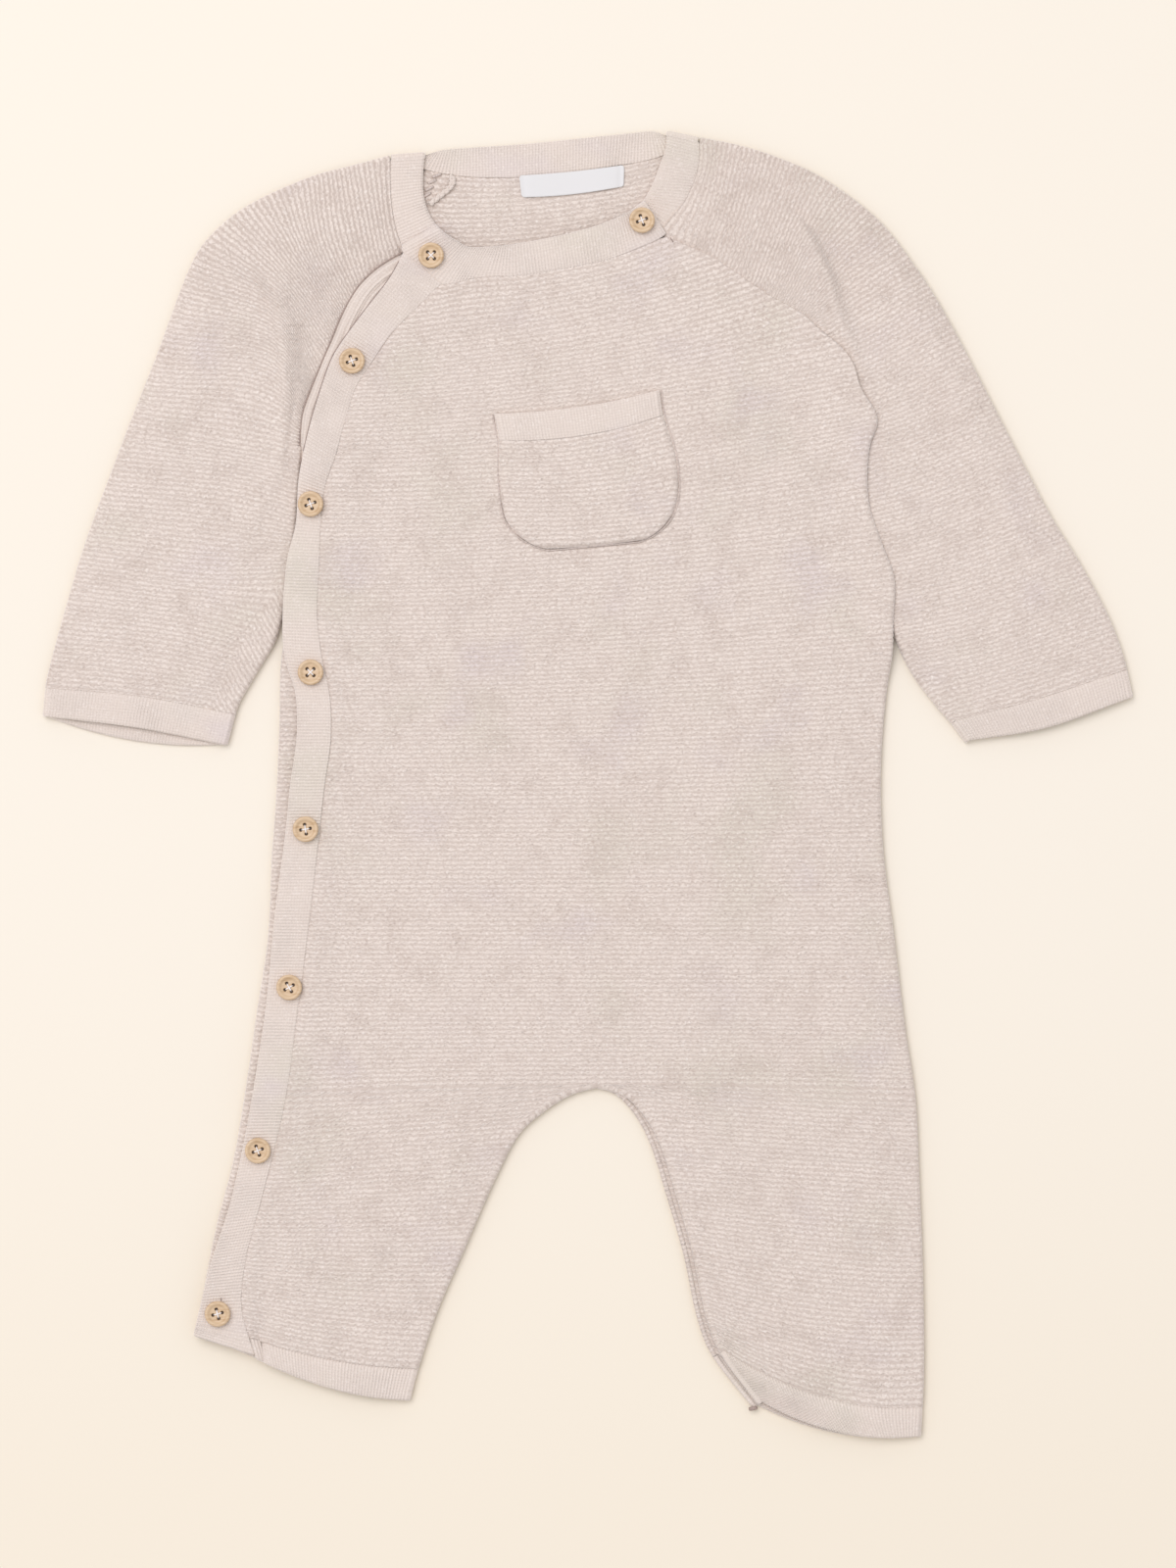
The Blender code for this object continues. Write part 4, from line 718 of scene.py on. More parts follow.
def creased(plan: Array, creases: Sequence[Table]) -> Array:
    """Return the height that creases add: a bell across each line, with its own height.

    Args:
        plan: plan points of any shape.
        creases: tables of points along each crease, with heights and half widths.

    Returns:
        The added height at each point.
    """
    height = np.zeros(plan.shape[:-1])
    for crease in creases:
        rows = np.linspace(0, len(crease["x"]) - 1, 60)
        distance, place = nearest(plan, read(crease, "x y", rows))
        at = place / 59 * (len(crease["x"]) - 1)
        rise, width = np.moveaxis(read(crease, "height width", at), -1, 0)
        height += rise * np.exp(-((distance / np.maximum(width, 1)) ** 2))
    return height


def uneven(plan: Array, scale: float, phase: float) -> Array:
    """Return a smooth wander from -1 to 1: the mean of four sines in turned directions.

    Args:
        plan: points in plan.
        scale: the length of the wander in mm.
        phase: a number that shifts it.

    Returns:
        The wander at each point.
    """
    x, y = plan[..., 0] / scale, plan[..., 1] / scale
    total = np.sin(1.0 * x + 0.4 * y + phase) + np.sin(-0.6 * x + 1.1 * y + 2.1 * phase)
    total = total + np.sin(1.7 * x - 1.3 * y + 3.7 * phase)
    return (total + np.sin(0.3 * x + 2.0 * y - 1.3 * phase)) / 4


# ---- Shells of cloth ----


@dataclass
class Patch:
    """A grid of points on the middle of the cloth, with its pattern, relief and thickness.

    points holds x, y and z, and pattern holds the place along the knit and across it, all in
    mm. relief is how far the cloth is moved along its normal, and share is the part of its
    half thickness that it has there.
    """

    points: Array
    pattern: Array
    relief: Array
    share: Array


def patch(points: Array, along: Array, across: Array,
          relief: float | Array = 0.0, share: float | Array = 1.0) -> Patch:
    """Make a patch, spreading single values and rows over its grid.

    Args:
        points: the grid of points.
        along: the place along the courses.
        across: the place across the courses.
        relief: the height of the knit.
        share: the share of the cloth's thickness.

    Returns:
        The patch.
    """
    grid = points.shape[:2]
    pattern = np.stack([np.broadcast_to(along, grid), np.broadcast_to(across, grid)], axis=-1)
    return Patch(points, pattern, np.broadcast_to(relief, grid), np.broadcast_to(share, grid))


def wave(place: Array, pitch: float, height: float | Array) -> Array:
    """Return the relief of a row of ridges: a cosine along the place."""
    return height * np.cos(2 * math.pi * place / pitch)


def rounded(distance: Array, radius: float = CLOTH / 2) -> Array:
    """Return the share of half thickness near a free edge: a quarter circle over the radius."""
    inside = np.clip(distance / radius, 0, 1)
    return np.sqrt(np.clip(1 - (1 - inside) ** 2, 0.01, 1))


def dipped(distance: Array, depth: float = SEAM_DIP) -> Array:
    """Return how far a sewn edge is drawn down: a bell with the depth at no distance."""
    return -depth * np.exp(-((distance / SEAM_REACH) ** 2))


def facing(position: Array, corners: Array) -> tuple[Array, Array]:
    """Turn the faces of an open sheet so that neighbours agree.

    Args:
        position: the merged points.
        corners: four point numbers for each face.

    Returns:
        Which faces have to be turned, and the normal of each face once they are.
    """
    data = bpy.data.meshes.new("facing")
    data.from_pydata(position, [], corners)
    sheet = bmesh.new()
    sheet.from_mesh(data)
    bmesh.ops.recalc_face_normals(sheet, faces=sheet.faces)
    sheet.to_mesh(data)
    sheet.free()
    wanted = np.empty(3 * len(corners), dtype=np.float32)
    data.polygons.foreach_get("normal", wanted)
    bpy.data.meshes.remove(data)
    a, b, c, d = (position[corners[:, corner]] for corner in range(4))
    normal = np.cross(c - a, d - b)
    turned = (normal * wanted.reshape(-1, 3)).sum(axis=1) < 0
    normal[turned] *= -1
    return turned, normal


def make_mesh(name: str, position: Array, corners: Array, pattern: Array,
              material: Material) -> Object:
    """Put quads into a smooth mesh with its UV map, and link its object.

    Args:
        name: the name of the piece.
        position: points in mm.
        corners: four point numbers for each face.
        pattern: the place in the pattern of each face corner, in mm.
        material: the finish.

    Returns:
        The object.
    """
    data = bpy.data.meshes.new(name)
    data.vertices.add(len(position))
    data.vertices.foreach_set("co", (position * MM).astype(np.float32).ravel())
    data.loops.add(corners.size)
    data.loops.foreach_set("vertex_index", corners.astype(np.int32).ravel())
    data.polygons.add(len(corners))
    data.polygons.foreach_set("loop_start", np.arange(0, corners.size, 4, dtype=np.int32))
    data.polygons.foreach_set("use_smooth", np.ones(len(corners), dtype=bool))
    data.update(calc_edges=True)
    layer = data.uv_layers.new(name="UVMap")
    layer.uv.foreach_set("vector", (pattern * MM).astype(np.float32).ravel())
    data.validate()
    data.materials.append(material)
    made = bpy.data.objects.new(name, data)
    bpy.context.collection.objects.link(made)
    return made


def make_shell(name: str, patches: Sequence[Patch], thickness: float,
               material: Material) -> Object:
    """Make a closed shell of cloth from patches that meet along shared edges.

    Points closer than MERGE become one. Each face of the cloth is the middle, moved by the
    relief and then by the half thickness along the normal, and a rim joins the two all round.

    Args:
        name: the name of the piece.
        patches: its grids.
        thickness: the thickness of the cloth.
        material: the finish.

    Returns:
        The object.
    """
    points = np.concatenate([item.points.reshape(-1, 3) for item in patches])
    pattern = np.concatenate([item.pattern.reshape(-1, 2) for item in patches])
    relief = np.concatenate([item.relief.ravel() for item in patches])
    share = np.concatenate([item.share.ravel() for item in patches])
    faces = []
    start = 0
    for item in patches:
        rows, columns = item.points.shape[:2]
        corner = start + np.arange(rows * columns).reshape(rows, columns)
        start += rows * columns
        quads = (corner[:-1, :-1], corner[:-1, 1:], corner[1:, 1:], corner[1:, :-1])
        faces.append(np.stack(quads, axis=-1).reshape(-1, 4))
    source = np.concatenate(faces)
    key = np.round(points / MERGE).astype(np.int64)
    _, first, merged = np.unique(key, axis=0, return_index=True, return_inverse=True)
    merged = merged.ravel()
    position, relief, share = points[first], relief[first], share[first]
    corners = merged[source]

    turned, face_normal = facing(position, corners)
    corners[turned] = corners[turned][:, ::-1]
    source[turned] = source[turned][:, ::-1]
    normal = np.stack([
        np.bincount(corners.ravel(), np.repeat(face_normal[:, axis], 4), len(position))
        for axis in range(3)
    ], axis=1)
    normal /= np.maximum(np.linalg.norm(normal, axis=1, keepdims=True), 1e-12)

    upward = np.sign(normal[:, 2].sum()) or 1.0
    normal *= upward
    middle = position + relief[:, None] * normal
    half = normal * share[:, None] * thickness / 2
    if upward < 0:
        corners, source = corners[:, ::-1], source[:, ::-1]
    count = len(position)
    after, source_after = np.roll(corners, -1, axis=1), np.roll(source, -1, axis=1)
    low, high = np.minimum(corners, after), np.maximum(corners, after)
    _, which, uses = np.unique(low * count + high, return_inverse=True, return_counts=True)
    open_edge = uses[which].reshape(corners.shape) == 1
    a, b = corners[open_edge], after[open_edge]
    rim = np.stack([b, a, a + count, b + count], axis=1)
    rim_source = np.stack([
        source_after[open_edge], source[open_edge], source[open_edge], source_after[open_edge],
    ], axis=1)
    every = np.concatenate([corners, corners[:, ::-1] + count, rim])
    every_source = np.concatenate([source, source[:, ::-1], rim_source])
    both = np.concatenate([middle + half, middle - half])
    return make_mesh(name, both, every, pattern[every_source], material)


def rolled(line: Array, across: Array, lift: int, grown: float | Array,
           steps: int = 5) -> Array:
    """Roll cloth over an edge, from the line outward, up for lift +1.

    The section is an arc of constant length that turns from flat, while grown is under a half,
    to upright at 1. Below a half its length grows with it.

    Args:
        line: the points where the roll starts.
        across: the plan direction outward at each point.
        lift: +1 to roll up, -1 to roll down.
        grown: how far the roll has grown at each point.
        steps: faces along the arc.

    Returns:
        The grid of the roll, a row for each point.
    """
    grown = np.broadcast_to(grown, len(line)).astype(float)
    share = np.clip(2 * grown, ROLL_START, 1)
    turn = np.clip((2 * grown - 1) * math.pi / 2, LEAST_TURN, math.pi / 2)
    part = np.linspace(0, 1, steps + 1)
    bend = turn[:, None] * part
    radius = (FLAT_ROLL * share / turn)[:, None]
    plan = line[:, None, :2] + (radius * np.sin(bend))[..., None] * across[:, None, :]
    return with_height(plan, line[:, None, 2] + lift * radius * (1 - np.cos(bend)))


def turned_over(line: Array, across: Array, low: float | Array = LOWER_WALL,
                reach: float | Array = FOLD_RADIUS, steps: int = 8) -> Array:
    """Carry cloth round a fold: a half round from the upper wall down to the lower wall.

    Args:
        line: the points where the fold starts, on the upper wall.
        across: the plan direction outward at each point.
        low: the height of the lower wall.
        reach: how far the fold stands out.
        steps: faces round the fold.

    Returns:
        The grid of the fold, a row for each point.
    """
    angle = np.linspace(0, math.pi, steps + 1)
    out = np.reshape(reach, (-1, 1, 1)) * np.sin(angle)[:, None] * across[:, None, :]
    top = line[:, None, 2]
    height = top - (top - np.reshape(low, (-1, 1))) * (1 - np.cos(angle)) / 2
    return with_height(line[:, None, :2] + out, height)


def front_height(plan: Array) -> Array:
    """Return the height of the front's middle at plan points.

    The front rests low over the back, climbs to the button band and the neckband, and passes
    over the left sleeve at the underarm. Broad swells and narrower creases run over it.

    Args:
        plan: plan points of any shape.

    Returns:
        The height at each point.
    """
    height = np.full(plan.shape[:-1], FRONT_LEVEL)
    for x, y, half_length, half_width, turn, rise in zip(*FRONT_SWELLS.values()):
        angle = math.radians(turn)
        along = (plan[..., 0] - x) * math.cos(angle) + (plan[..., 1] - y) * math.sin(angle)
        across = (plan[..., 1] - y) * math.cos(angle) - (plan[..., 0] - x) * math.sin(angle)
        height += rise * np.exp(-((along / half_length) ** 2) - (across / half_width) ** 2)
    right_y = np.linspace(BAND_SEAM["y"][-1], BAND_SEAM["y"][0], 90)
    left_y = np.linspace(LEFT_EDGE["y"][-1], LEFT_EDGE["y"][0], 90)
    neck_x = np.linspace(NECK_LEVELS["x"][0], NECK_LEVELS["x"][-1], 40)
    neck_line = np.stack([neck_x, seam_y(NECK_SEAM, neck_x)], axis=-1)
    rows = np.linspace(0, HEM_COURSE + 1, 50)
    inner_right = read(LEG_COURSES, "right_inner_x right_inner_y", rows[::-1])
    inner_left = read(LEG_COURSES, "left_inner_x left_inner_y", rows[1:])
    left_level = through(*LEFT_EDGE_LEVELS.values(), plan[..., 1], level=True)
    neck_level = through(*NECK_LEVELS.values(), plan[..., 0], level=True)
    sides = (
        (edge_at(BAND_SEAM, right_y), BUTTON_BAND_LEVEL + 0.4 * gape(plan[..., 1]),
         BAND_RISE_WIDTH),
        (edge_at(LEFT_EDGE, left_y), left_level, SIDE_RISE_WIDTH),
        (neck_line, neck_level, NECK_RISE_WIDTH),
        (np.concatenate([inner_right, inner_left]), UPPER_WALL, INSEAM_RISE_WIDTH),
    )
    pull = np.zeros_like(height)
    total = np.zeros_like(height)
    for line, level, width in sides:
        distance, _ = nearest(plan, line)
        weight = fade(np.maximum(distance - FOLD_REACH, 0), width)
        pull += weight * (level - height)
        total += weight
    height = height + pull / np.maximum(total, 1)
    rim = np.concatenate([
        np.stack([POCKET["right_x"], POCKET["right_y"]], axis=-1),
        np.stack([POCKET["left_x"], POCKET["left_y"]], axis=-1)[::-1],
    ])
    height -= POCKET_GROOVE * np.exp(-((nearest(plan, rim)[0] / 1.6) ** 2))
    return height + creased(plan, FRONT_CREASES)


def gape(y: Array) -> Array:
    """Return how high the button band gapes between its buttons, and 0 at each button."""
    rise = through(BAND_GAPE["y"], BAND_GAPE["rise"], y, level=True)
    return np.maximum(rise, 0)


def inset_below(blend: tuple[float, float], y: Array) -> Array:
    """Return how far a wall stops inside its edge: at a seam above the blend, a roll below."""
    return through(blend, [FOLD_REACH, SEAM / 2], np.clip(y, *blend))


def knit_relief(across: Array, plan: Array, height: float,
                calm: float | Array = 1.0) -> Array:
    """Return the ridges of garter stitch, which stand up unevenly over the cloth.

    Args:
        across: the place across the courses.
        plan: the plan points.
        height: how high the ridges stand.
        calm: a share of that height, as beside a seam.

    Returns:
        The relief at each point.
    """
    across = np.broadcast_to(across, plan.shape[:-1])
    worn = 1 + 0.45 * uneven(plan, 2.6, 1.7) + 0.3 * uneven(plan, 11.0, 0.6)
    return wave(across + 0.18 * uneven(plan, 7.0, 2.9), RIDGE, height * calm * worn)


# ---- Finishes ----

Color = tuple[float, float, float]
Feed = Socket | float | Sequence[float]


class Graph:
    """Adds nodes to one shader tree, with their inputs set or linked."""

    def __init__(self, tree: bpy.types.NodeTree) -> None:
        """Keep the tree."""
        self.tree = tree

    def feed(self, node: bpy.types.Node, inputs: dict[str | int, Feed]) -> bpy.types.Node:
        """Set a node's inputs to values, or link them to sockets.

        Args:
            node: the node.
            inputs: a value or a socket for each input, by name or number.

        Returns:
            The node.
        """
        for name, value in inputs.items():
            if isinstance(value, Socket):
                self.tree.links.new(value, node.inputs[name])
            else:
                node.inputs[name].default_value = value
        return node

    def node(self, kind: str, inputs: dict[str | int, Feed], **settings: object) -> bpy.types.Node:
        """Add a node.

        Args:
            kind: the node's type, without its ShaderNode prefix.
            inputs: what it is fed.
            settings: its properties.

        Returns:
            The node.
        """
        made = self.tree.nodes.new(f"ShaderNode{kind}")
        for name, value in settings.items():
            setattr(made, name, value)
        return self.feed(made, inputs)

    def add(self, kind: str, inputs: dict[str | int, Feed] | None = None,
            output: str | int = 0, **settings: object) -> Socket:
        """Add a node and return one of its outputs."""
        return self.node(kind, inputs or {}, **settings).outputs[output]

    def math(self, operation: str, *values: Feed) -> Socket:
        """Add a Math node with its values in order."""
        return self.add("Math", dict(enumerate(values)), operation=operation)

    def times(self, first: Feed, second: Feed) -> Socket:
        """Return a product."""
        return self.math("MULTIPLY", first, second)

    def plus(self, first: Feed, second: Feed) -> Socket:
        """Return a sum."""
        return self.math("ADD", first, second)

    def scaled(self, value: Feed, factor: Feed, offset: Feed) -> Socket:
        """Return the value times the factor, plus the offset."""
        return self.math("MULTIPLY_ADD", value, factor, offset)

    def crests(self, place: Feed) -> Socket:
        """Return a cosine from 0 to 1 with a crest at each whole place."""
        return self.scaled(self.math("COSINE", self.times(place, 2 * math.pi)), 0.5, 0.5)

    def axes(self, vector: Feed) -> list[Socket]:
        """Return the three parts of a vector."""
        return list(self.node("SeparateXYZ", {0: vector}).outputs)

    def mix(self, factor: Feed, first: Feed, second: Feed) -> Socket:
        """Mix two colours."""
        inputs = {"Factor": factor, 6: first, 7: second}
        return self.add("Mix", inputs, output=2, data_type="RGBA", blend_type="MIX")

    def ramp(self, value: Feed, low: float, high: float) -> Socket:
        """Return 0 below low and 1 above high, with a smooth rise between."""
        inputs = {"Value": value, "From Min": low, "From Max": high}
        return self.add("MapRange", inputs, interpolation_type="SMOOTHSTEP")

    def noise(self, vector: Feed, scale: float, detail: float = 2.0) -> Socket:
        """Add a noise texture and return its value."""
        inputs = {"Vector": vector, "Scale": scale, "Detail": detail}
        return self.add("TexNoise", inputs, noise_dimensions="3D")

    def bump(self, height: Feed, strength: float, depth: float) -> Socket:
        """Return the normal of a relief with its depth in mm."""
        return self.add("Bump", {"Height": height, "Strength": strength, "Distance": depth * MM})


def new_group(name: str, inputs: dict[str, str], outputs: dict[str, str]) -> tuple:
    """Start a shader node group with named sockets.

    Args:
        name: the name of the group.
        inputs: the kind of each input by name.
        outputs: the kind of each output by name.

    Returns:
        The group, its graph, the sockets that it is given and its output node.
    """
    group = bpy.data.node_groups.new(name, "ShaderNodeTree")
    for way, sockets in (("INPUT", inputs), ("OUTPUT", outputs)):
        for socket, kind in sockets.items():
            group.interface.new_socket(socket, in_out=way, socket_type=f"NodeSocket{kind}")
    given = group.nodes.new("NodeGroupInput").outputs
    return group, Graph(group), given, group.nodes.new("NodeGroupOutput")


def shared_group(build: Callable[[], bpy.types.NodeTree], name: str) -> bpy.types.NodeTree:
    """Return the group of that name, built once."""
    return bpy.data.node_groups.get(name) or build()


YARN_GROUP = "flecked yarn"
STITCH_GROUP = "knit stitches"
RIB_GROUP = "fine ribs"


def build_yarn_group() -> bpy.types.NodeTree:
    """Build the flecked yarn: a base colour with broad tints, pale fibres and dark fibres.

    Returns:
        The group.
    """
    group, graph, given, result = new_group(
        YARN_GROUP,
        {"Place": "Vector", "Strand": "Vector", "Yarn": "Color", "Pale": "Color", "Dark": "Color",
         "Warm": "Color", "Cool": "Color", "Fleck": "Float"},
        {"Color": "Color"},
    )
    place = given["Place"]
    broad = graph.noise(place, 22.0)
    other = graph.noise(graph.add("VectorMath", {0: place, 1: (3.1, 1.7, 0.4)}), 30.0)
    color = graph.mix(graph.ramp(broad, 0.52, 0.72), given["Yarn"], given["Warm"])
    color = graph.mix(graph.ramp(other, 0.55, 0.80), color, given["Cool"])
    cloud = graph.noise(place, 110.0, 3.0)
    fleck = graph.noise(given["Strand"], 1.6)
    fine = graph.noise(graph.add("VectorMath", {0: place, 1: (11.0, 5.0, 2.0)}), 900.0, 1.0)
    clouded = graph.times(graph.ramp(cloud, 0.42, 0.78), 0.4)
    dark = graph.times(graph.plus(clouded, graph.ramp(fleck, 0.46, 0.68)), given["Fleck"])
    color = graph.mix(dark, color, given["Dark"])
    color = graph.mix(graph.ramp(fine, 0.56, 0.78), color, given["Pale"])
    graph.feed(result, {"Color": color})
    return group


def start_knit(name: str, course: str, stitch: str) -> tuple:
    """Start a knit group, with the place in the pattern counted in courses and stitches.

    Args:
        name: the name of the group.
        course: the input that holds the height of a course.
        stitch: the input that holds the width of a stitch.

    Returns:
        The group, its graph, its output node, and the places on the object, along and across.
    """
    group, graph, given, result = new_group(
        name,
        {"Pattern": "Vector", "Place": "Vector", course: "Float", stitch: "Float"},
        {"Height": "Float", "Hollow": "Float", "Strand": "Vector"},
    )
    along, across, _ = graph.axes(given["Pattern"])
    along = graph.math("DIVIDE", along, given[stitch])
    across = graph.math("DIVIDE", across, given[course])
    return group, graph, result, given["Place"], along, across


def end_knit(graph: Graph, result: bpy.types.Node, height: Socket, strand: Sequence[Socket]) -> None:
    """Feed a knit group's outputs: its height, its hollows below half height, its strand.

    Args:
        graph: the group's graph.
        result: the node of its outputs.
        height: the height of the knit.
        strand: the parts of the strand's vector.
    """
    hollow = graph.ramp(graph.math("SUBTRACT", 1.0, height), 0.5, 1.0)
    thread = graph.add("CombineXYZ", dict(enumerate(strand)))
    graph.feed(result, {"Height": height, "Hollow": hollow, "Strand": thread})


def build_stitch_group() -> bpy.types.NodeTree:
    """Build garter stitch: ridges as a cosine across the courses, broken into uneven bumps.

    Returns:
        The group.
    """
    group, graph, result, place, along, across = start_knit(STITCH_GROUP, "Ridge", "Stitch")
    wander = graph.noise(place, 260.0)
    rough = graph.noise(place, 850.0, 1.0)
    across = graph.plus(across, graph.times(wander, 0.5))
    across = graph.plus(across, graph.times(rough, 0.7))
    row = graph.math("FLOOR", graph.plus(across, 0.5))
    along = graph.plus(along, graph.times(row, 0.5))
    along = graph.plus(along, graph.times(wander, 1.4))
    cell = graph.math("FLOOR", graph.plus(along, 0.5))
    square = graph.add("CombineXYZ", {0: cell, 1: row})
    chance = graph.add("TexWhiteNoise", {"Vector": square}, noise_dimensions="2D")
    bump = graph.times(graph.crests(along), graph.scaled(chance, 0.85, 0.15))
    height = graph.times(graph.crests(across), graph.scaled(bump, 0.8, 0.4))
    end_knit(graph, result, height, (graph.times(along, 0.9), graph.times(across, 2.4)))
    return group


def build_rib_group() -> bpy.types.NodeTree:
    """Build fine ribs: a cosine along the band that comes and goes, over short courses.

    Returns:
        The group.
    """
    group, graph, result, place, along, across = start_knit(RIB_GROUP, "Rib", "Course")
    across = graph.plus(across, graph.times(graph.noise(place, 200.0), 0.5))
    presence = graph.ramp(graph.noise(place, 60.0, 1.0), 0.35, 0.65)
    rib = graph.times(graph.crests(across), graph.scaled(presence, 0.6, 0.4))
    height = graph.scaled(graph.crests(along), 0.25, graph.times(rib, 0.75))
    end_knit(graph, result, height, (graph.times(across, 0.9), graph.times(along, 0.9)))
    return group


def start_material(name: str) -> tuple[Material, Graph, bpy.types.Node, Socket]:
    """Start a material.

    Args:
        name: the name of the finish.

    Returns:
        The material, its graph, its Principled shader and the place on the object.
    """
    material = bpy.data.materials.new(name)
    material.use_nodes = True
    graph = Graph(material.node_tree)
    shader = material.node_tree.nodes["Principled BSDF"]
    return material, graph, shader, graph.add("TexCoord", output="Object")


class Stitch(Enum):
    """How a knit is worked."""

    GARTER = "garter"
    RIB = "rib"


@dataclass(frozen=True)
class KnitFinish:
    """Flecked cotton yarn, knitted in garter stitch or in fine ribs."""

    name: str
    stitch: Stitch
    yarn: Color = (0.766, 0.661, 0.568)
    pale: Color = (0.830, 0.735, 0.645)
    # The dark colour is both that of the dark fibres in the yarn and that of the painted shade in the
    # hollows.
    dark: Color = (0.500, 0.400, 0.330)
    warm: Color = (0.710, 0.625, 0.520)
    cool: Color = (0.700, 0.602, 0.550)
    # A pale colour painted where the cloth is seen at a low angle: a painted highlight.
    grazing_highlight: Color = (0.960, 0.920, 0.880)
    depth: float = 0.30
    # How strongly the hollows of the knit are darkened with painted shade, and how much more above the
    # shoulders.
    hollow_shade: float = 0.54
    shoulder_painted_shade: float = 0.15
    fleck: float = 0.68
    stitch_width: float = 2.1
    rib_course: float = 1.1

    def worked(self, graph: Graph, place: Socket) -> bpy.types.Node:
        """Place the group of this finish's stitch.

        Args:
            graph: the material's graph.
            place: the place on the object.

        Returns:
            The group's node.
        """
        inputs = {"Pattern": graph.add("UVMap", uv_map="UVMap"), "Place": place}
        if self.stitch is Stitch.GARTER:
            group = shared_group(build_stitch_group, STITCH_GROUP)
            inputs |= {"Ridge": RIDGE * MM, "Stitch": self.stitch_width * MM}
        else:
            group = shared_group(build_rib_group, RIB_GROUP)
            inputs |= {"Rib": RIB * MM, "Course": self.rib_course * MM}
        return graph.node("Group", inputs, node_tree=group)

    def material(self) -> Material:
        """Make the material: yarn, with painted shade in the hollows and a painted highlight at low
        angles.

        The painted shade in the hollows is stronger above the shoulders.

        Returns:
            The material.
        """
        material, graph, shader, place = start_material(self.name)
        worked = self.worked(graph, place)
        yarn = graph.node("Group", {
            "Place": place, "Strand": worked.outputs["Strand"],
            "Yarn": (*self.yarn, 1), "Pale": (*self.pale, 1), "Dark": (*self.dark, 1),
            "Warm": (*self.warm, 1), "Cool": (*self.cool, 1), "Fleck": self.fleck,
        }, node_tree=shared_group(build_yarn_group, YARN_GROUP))
        # Painted shade: the hollows of the knit are darkened, and more above the shoulders.
        x, y, _ = graph.axes(place)
        aside = graph.ramp(graph.math("ABSOLUTE", x), 0.034, 0.060)
        shoulder = graph.times(aside, graph.ramp(y, 0.165, 0.220))
        strength = graph.scaled(shoulder, self.shoulder_painted_shade, self.hollow_shade)
        shade = graph.times(worked.outputs["Hollow"], strength)
        color = graph.mix(shade, yarn.outputs["Color"], (*self.dark, 1))
        # Painted highlight: the colour turns pale where the cloth is seen at a low angle.
        grazing = graph.add("LayerWeight", {"Blend": 0.5}, output="Facing")
        painted_highlight = graph.times(graph.ramp(grazing, 0.35, 0.9), 0.45)
        color = graph.mix(painted_highlight, color, (*self.grazing_highlight, 1))
        height = graph.scaled(graph.noise(place, 2600.0), 0.35, worked.outputs["Height"])
        graph.feed(shader, {
            "Base Color": color, "Normal": graph.bump(height, 1.0, self.depth),
            "Roughness": 0.92, "Specular IOR Level": 0.2, "Sheen Weight": 0.45,
            "Sheen Roughness": 0.5, "Sheen Tint": (1.0, 0.95, 0.9, 1.0),
        })
        return material


@dataclass(frozen=True)
class TapeFinish:
    """Plain woven tape, white and slightly glossy."""

    name: str
    color: Color = (0.70, 0.672, 0.632)
    shade: Color = (0.70, 0.68, 0.66)
    weave: float = 0.35

    def material(self) -> Material:
        """Make the material: fine threads each way, as the product of two sines.

        Returns:
            The material.
        """
        material, graph, shader, place = start_material(self.name)
        turns = 2 * math.pi / (self.weave * MM)
        warp, weft = (graph.math("SINE", graph.times(axis, turns)) for axis in graph.axes(place)[:2])
        threads = graph.scaled(graph.times(warp, weft), 0.5, 0.5)
        shade = graph.times(graph.noise(place, 300.0), 0.12)
        graph.feed(shader, {
            "Base Color": graph.mix(shade, (*self.color, 1), (*self.shade, 1)),
            "Normal": graph.bump(threads, 0.5, 0.05), "Roughness": 0.55, "Sheen Weight": 0.2,
        })
        return material


@dataclass(frozen=True)
class WoodFinish:
    """Turned pale wood with faint grain and a satin polish."""

    name: str
    pale: Color = (0.635, 0.455, 0.275)
    dark: Color = (0.515, 0.335, 0.175)
    # Near black painted shade inside the button holes.
    hole_shade: Color = (0.10, 0.055, 0.03)

    def material(self) -> Material:
        """Make the material: long grain from a stretched noise, and painted shade in the holes.

        Returns:
            The material.
        """
        material, graph, shader, place = start_material(self.name)
        stretched = graph.add("Mapping", {"Vector": place, "Scale": (220.0, 1400.0, 400.0),
                                          "Rotation": (0.0, 0.0, 0.5)})
        grain = graph.noise(stretched, 1.0, 3.0)
        color = graph.mix(graph.ramp(grain, 0.42, 0.72), (*self.pale, 1), (*self.dark, 1))
        # Painted shade: where the holes sink in, the wood is painted near black.
        hole_shade = graph.add("Attribute", output="Fac", attribute_name="hole_shade")
        graph.feed(shader, {
            "Base Color": graph.mix(hole_shade, color, (*self.hole_shade, 1)),
            "Normal": graph.bump(grain, 0.4, 0.04), "Roughness": 0.42, "Coat Weight": 0.15,
            "Coat Roughness": 0.3,
        })
        return material


@dataclass(frozen=True)
class ThreadFinish:
    """Twisted sewing thread."""

    name: str
    color: Color

    def material(self) -> Material:
        """Make the material: a fine noise that darkens and roughens the thread.

        Returns:
            The material.
        """
        material, graph, shader, place = start_material(self.name)
        twist = graph.noise(place, 1500.0)
        low = tuple(0.72 * part for part in self.color)
        graph.feed(shader, {
            "Base Color": graph.mix(graph.ramp(twist, 0.4, 0.7), (*self.color, 1), (*low, 1)),
            "Normal": graph.bump(twist, 0.6, 0.1), "Roughness": 0.75,
        })
        return material


